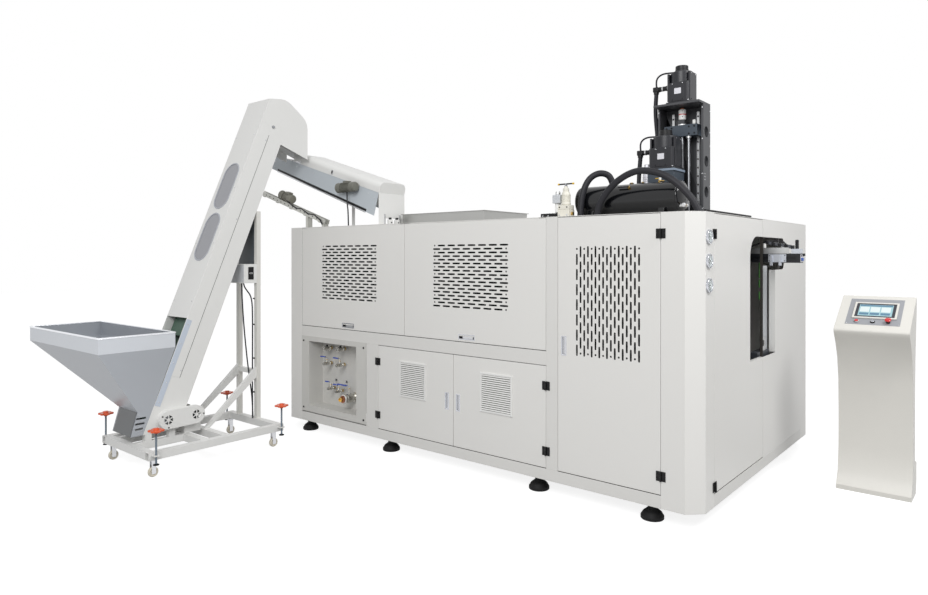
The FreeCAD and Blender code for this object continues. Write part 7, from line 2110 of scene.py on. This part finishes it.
# ---------------------------------------------------------------- console
@dataclass(frozen=True)
class Console:
    """Operator console: folded cabinet, recessed plate, screen and the three controls."""

    left: float = 0.519
    front: float = 1.350
    lip: float = 1.138
    top: float = 1.346
    depth: float = 0.350
    row: float = 0.080
    power: float = 0.127
    key: float = 0.224
    stop: float = 0.316
    barrel_radius: float = 0.0119
    barrel_depth: float = 0.034

    def panel(self) -> Matrix:
        """Placement of what is drawn on a level panel onto the sloping one."""
        rise = math.atan2(self.top - self.lip, self.depth - 0.018)
        return (Matrix.Translation((self.left, self.front + 0.006, self.lip))
                @ Matrix.Rotation(rise, 4, "X"))

    def build(self) -> None:
        """Make the console's pieces."""
        carried("console_cabinet", "machine", CONSOLE, 0.0045)
        self.screen()
        self.controls()

    def screen(self) -> None:
        """Grey plate, light housing with a rounded rim, dark bezel and glass."""
        form, panel = Form("console_display"), self.panel()
        form.block(CONSOLE_PLATE, (0.060, 0.048, -0.0004), (0.386, 0.350, 0.002), 0.0008, 1, panel)
        for x in (0.069, 0.377):
            for y in (0.057, 0.341):
                at = panel @ Vector((x, y, 0.002))
                form.screw(ZINC, at, panel.to_3x3() @ Z, 0.0036)
        x0, x1, y0, y1 = 0.093, 0.361, 0.113, 0.299
        rim = 0.014
        for low, high in (((x0, y0), (x1, y0 + rim)), ((x0, y1 - rim), (x1, y1)),
                          ((x0, y0 + rim * 0.6), (x0 + rim, y1 - rim * 0.6)),
                          ((x1 - rim, y0 + rim * 0.6), (x1, y1 - rim * 0.6))):
            form.block(CONSOLE, (*low, 0.002), (*high, 0.012), 0.003, 3, panel)
        form.block(BEZEL, (x0 + 0.004, y0 + 0.004, 0.002), (x1 - 0.004, y1 - 0.004, 0.0098), 0.001, 1,
                   panel)
        a0, a1, b0, b1 = x0 + 0.032, x1 - 0.032, y0 + 0.028, y1 - 0.028
        form.block(SCREEN, (a0, b0, 0.0092), (a1, b1, 0.0104), 0.0005, 1, panel)
        form.block(SCREEN_BAR, (a0 + 0.004, b1 - 0.020, 0.0100), (a1 - 0.004, b1 - 0.004, 0.0107),
                   place=panel)
        for i in range(3):
            a = a0 + 0.008 + i * 0.064
            form.block(SCREEN_TILE, (a, b0 + 0.044, 0.0100), (a + 0.056, b1 - 0.028, 0.0107),
                       place=panel)
            form.block(SCREEN_BAR, (a, b0 + 0.010, 0.0100), (a + 0.056, b0 + 0.034, 0.0107),
                       place=panel)
        form.done("machine", ["console_screen"])

    def controls(self) -> None:
        """Push button, key switch and mushroom button, each on its own body."""
        panel = self.panel()
        up = panel.to_3x3() @ Z

        def on(across: float, height: float = 0.0) -> Vector:
            """Point over the row of controls, at a height off the panel."""
            return panel @ Vector((across, self.row, height))
        form = Form("power_push")
        form.turned(SILVER, [(0, 0.0023 + 0.004), (0.0150, 0.0063), (0.0150, 0.0105), (0.0128, 0.0115),
                             (0.0120, 0.0108), (0, 0.0108)], on(self.power), up, 36)
        form.turned(BUTTON,
                    [(0, 0.0106), (0.0118, 0.0106), (0.0116, 0.0132), (0.0098, 0.0140), (0, 0.0142)],
                    on(self.power), up, 36)
        form.rod(NYLON, on(self.power, -self.barrel_depth),
                 on(self.power, 0.0064), self.barrel_radius, 24)
        form.done("power_button_body", ["power_button"])
        form = Form("key_barrel")
        at = on(self.key)
        form.rod(GROUND, on(self.key, -self.barrel_depth), on(self.key, 0.004),
                 self.barrel_radius, 24)
        form.turned(NYLON,
                    [(0, 0.0028), (0.0148, 0.0028), (0.0148, 0.0055), (0.0120, 0.0088), (0, 0.0088)],
                    at, up, 36)
        form.turned(CHROME,
                    [(0, 0.0085), (0.0095, 0.0085), (0.0095, 0.0112), (0.0082, 0.0120), (0, 0.0120)],
                    at, up, 32)
        form.block(CHROME, (self.key - 0.0011, self.row - 0.0050, 0.011),
                   (self.key + 0.0011, self.row + 0.0050, 0.022), 0.0006, 1, panel)
        form.rod(CHROME, on(self.key - 0.0013, 0.0245),
                 on(self.key + 0.0013, 0.0245), 0.0095, 28, 0.0005)
        form.done("key_switch_body", ["key_switch"])
        form = Form("stop_mushroom")
        at = on(self.stop)
        form.rod(NYLON, on(self.stop, -self.barrel_depth), on(self.stop, 0.022),
                 self.barrel_radius, 24)
        form.turned(BUTTON,
                    [(0, 0.0205), (0.0135, 0.0205), (0.0170, 0.0215), (0.0196, 0.0240),
                     (0.0198, 0.0275), (0.0184, 0.0308), (0.0150, 0.0330), (0.0080, 0.0340),
                     (0, 0.0342)], at, up, 44)
        form.done("emergency_stop_body", ["emergency_stop"])


def main() -> None:
    """Build the whole scene."""
    logging.basicConfig(level=logging.INFO, format="%(message)s")
    bpy.context.scene.view_settings.view_transform = "Standard"
    Studio().build()
    for route in ROUTES:
        route.build()
    for unit in (Cabinet(), Doors(), ValveRecess(), Gauges(), AirUnit(), StretchUnit(), Inside(),
                 Elevator(), Cart(), Unscrambler(), Console()):
        unit.build()


if __name__ == "__main__":
    main()
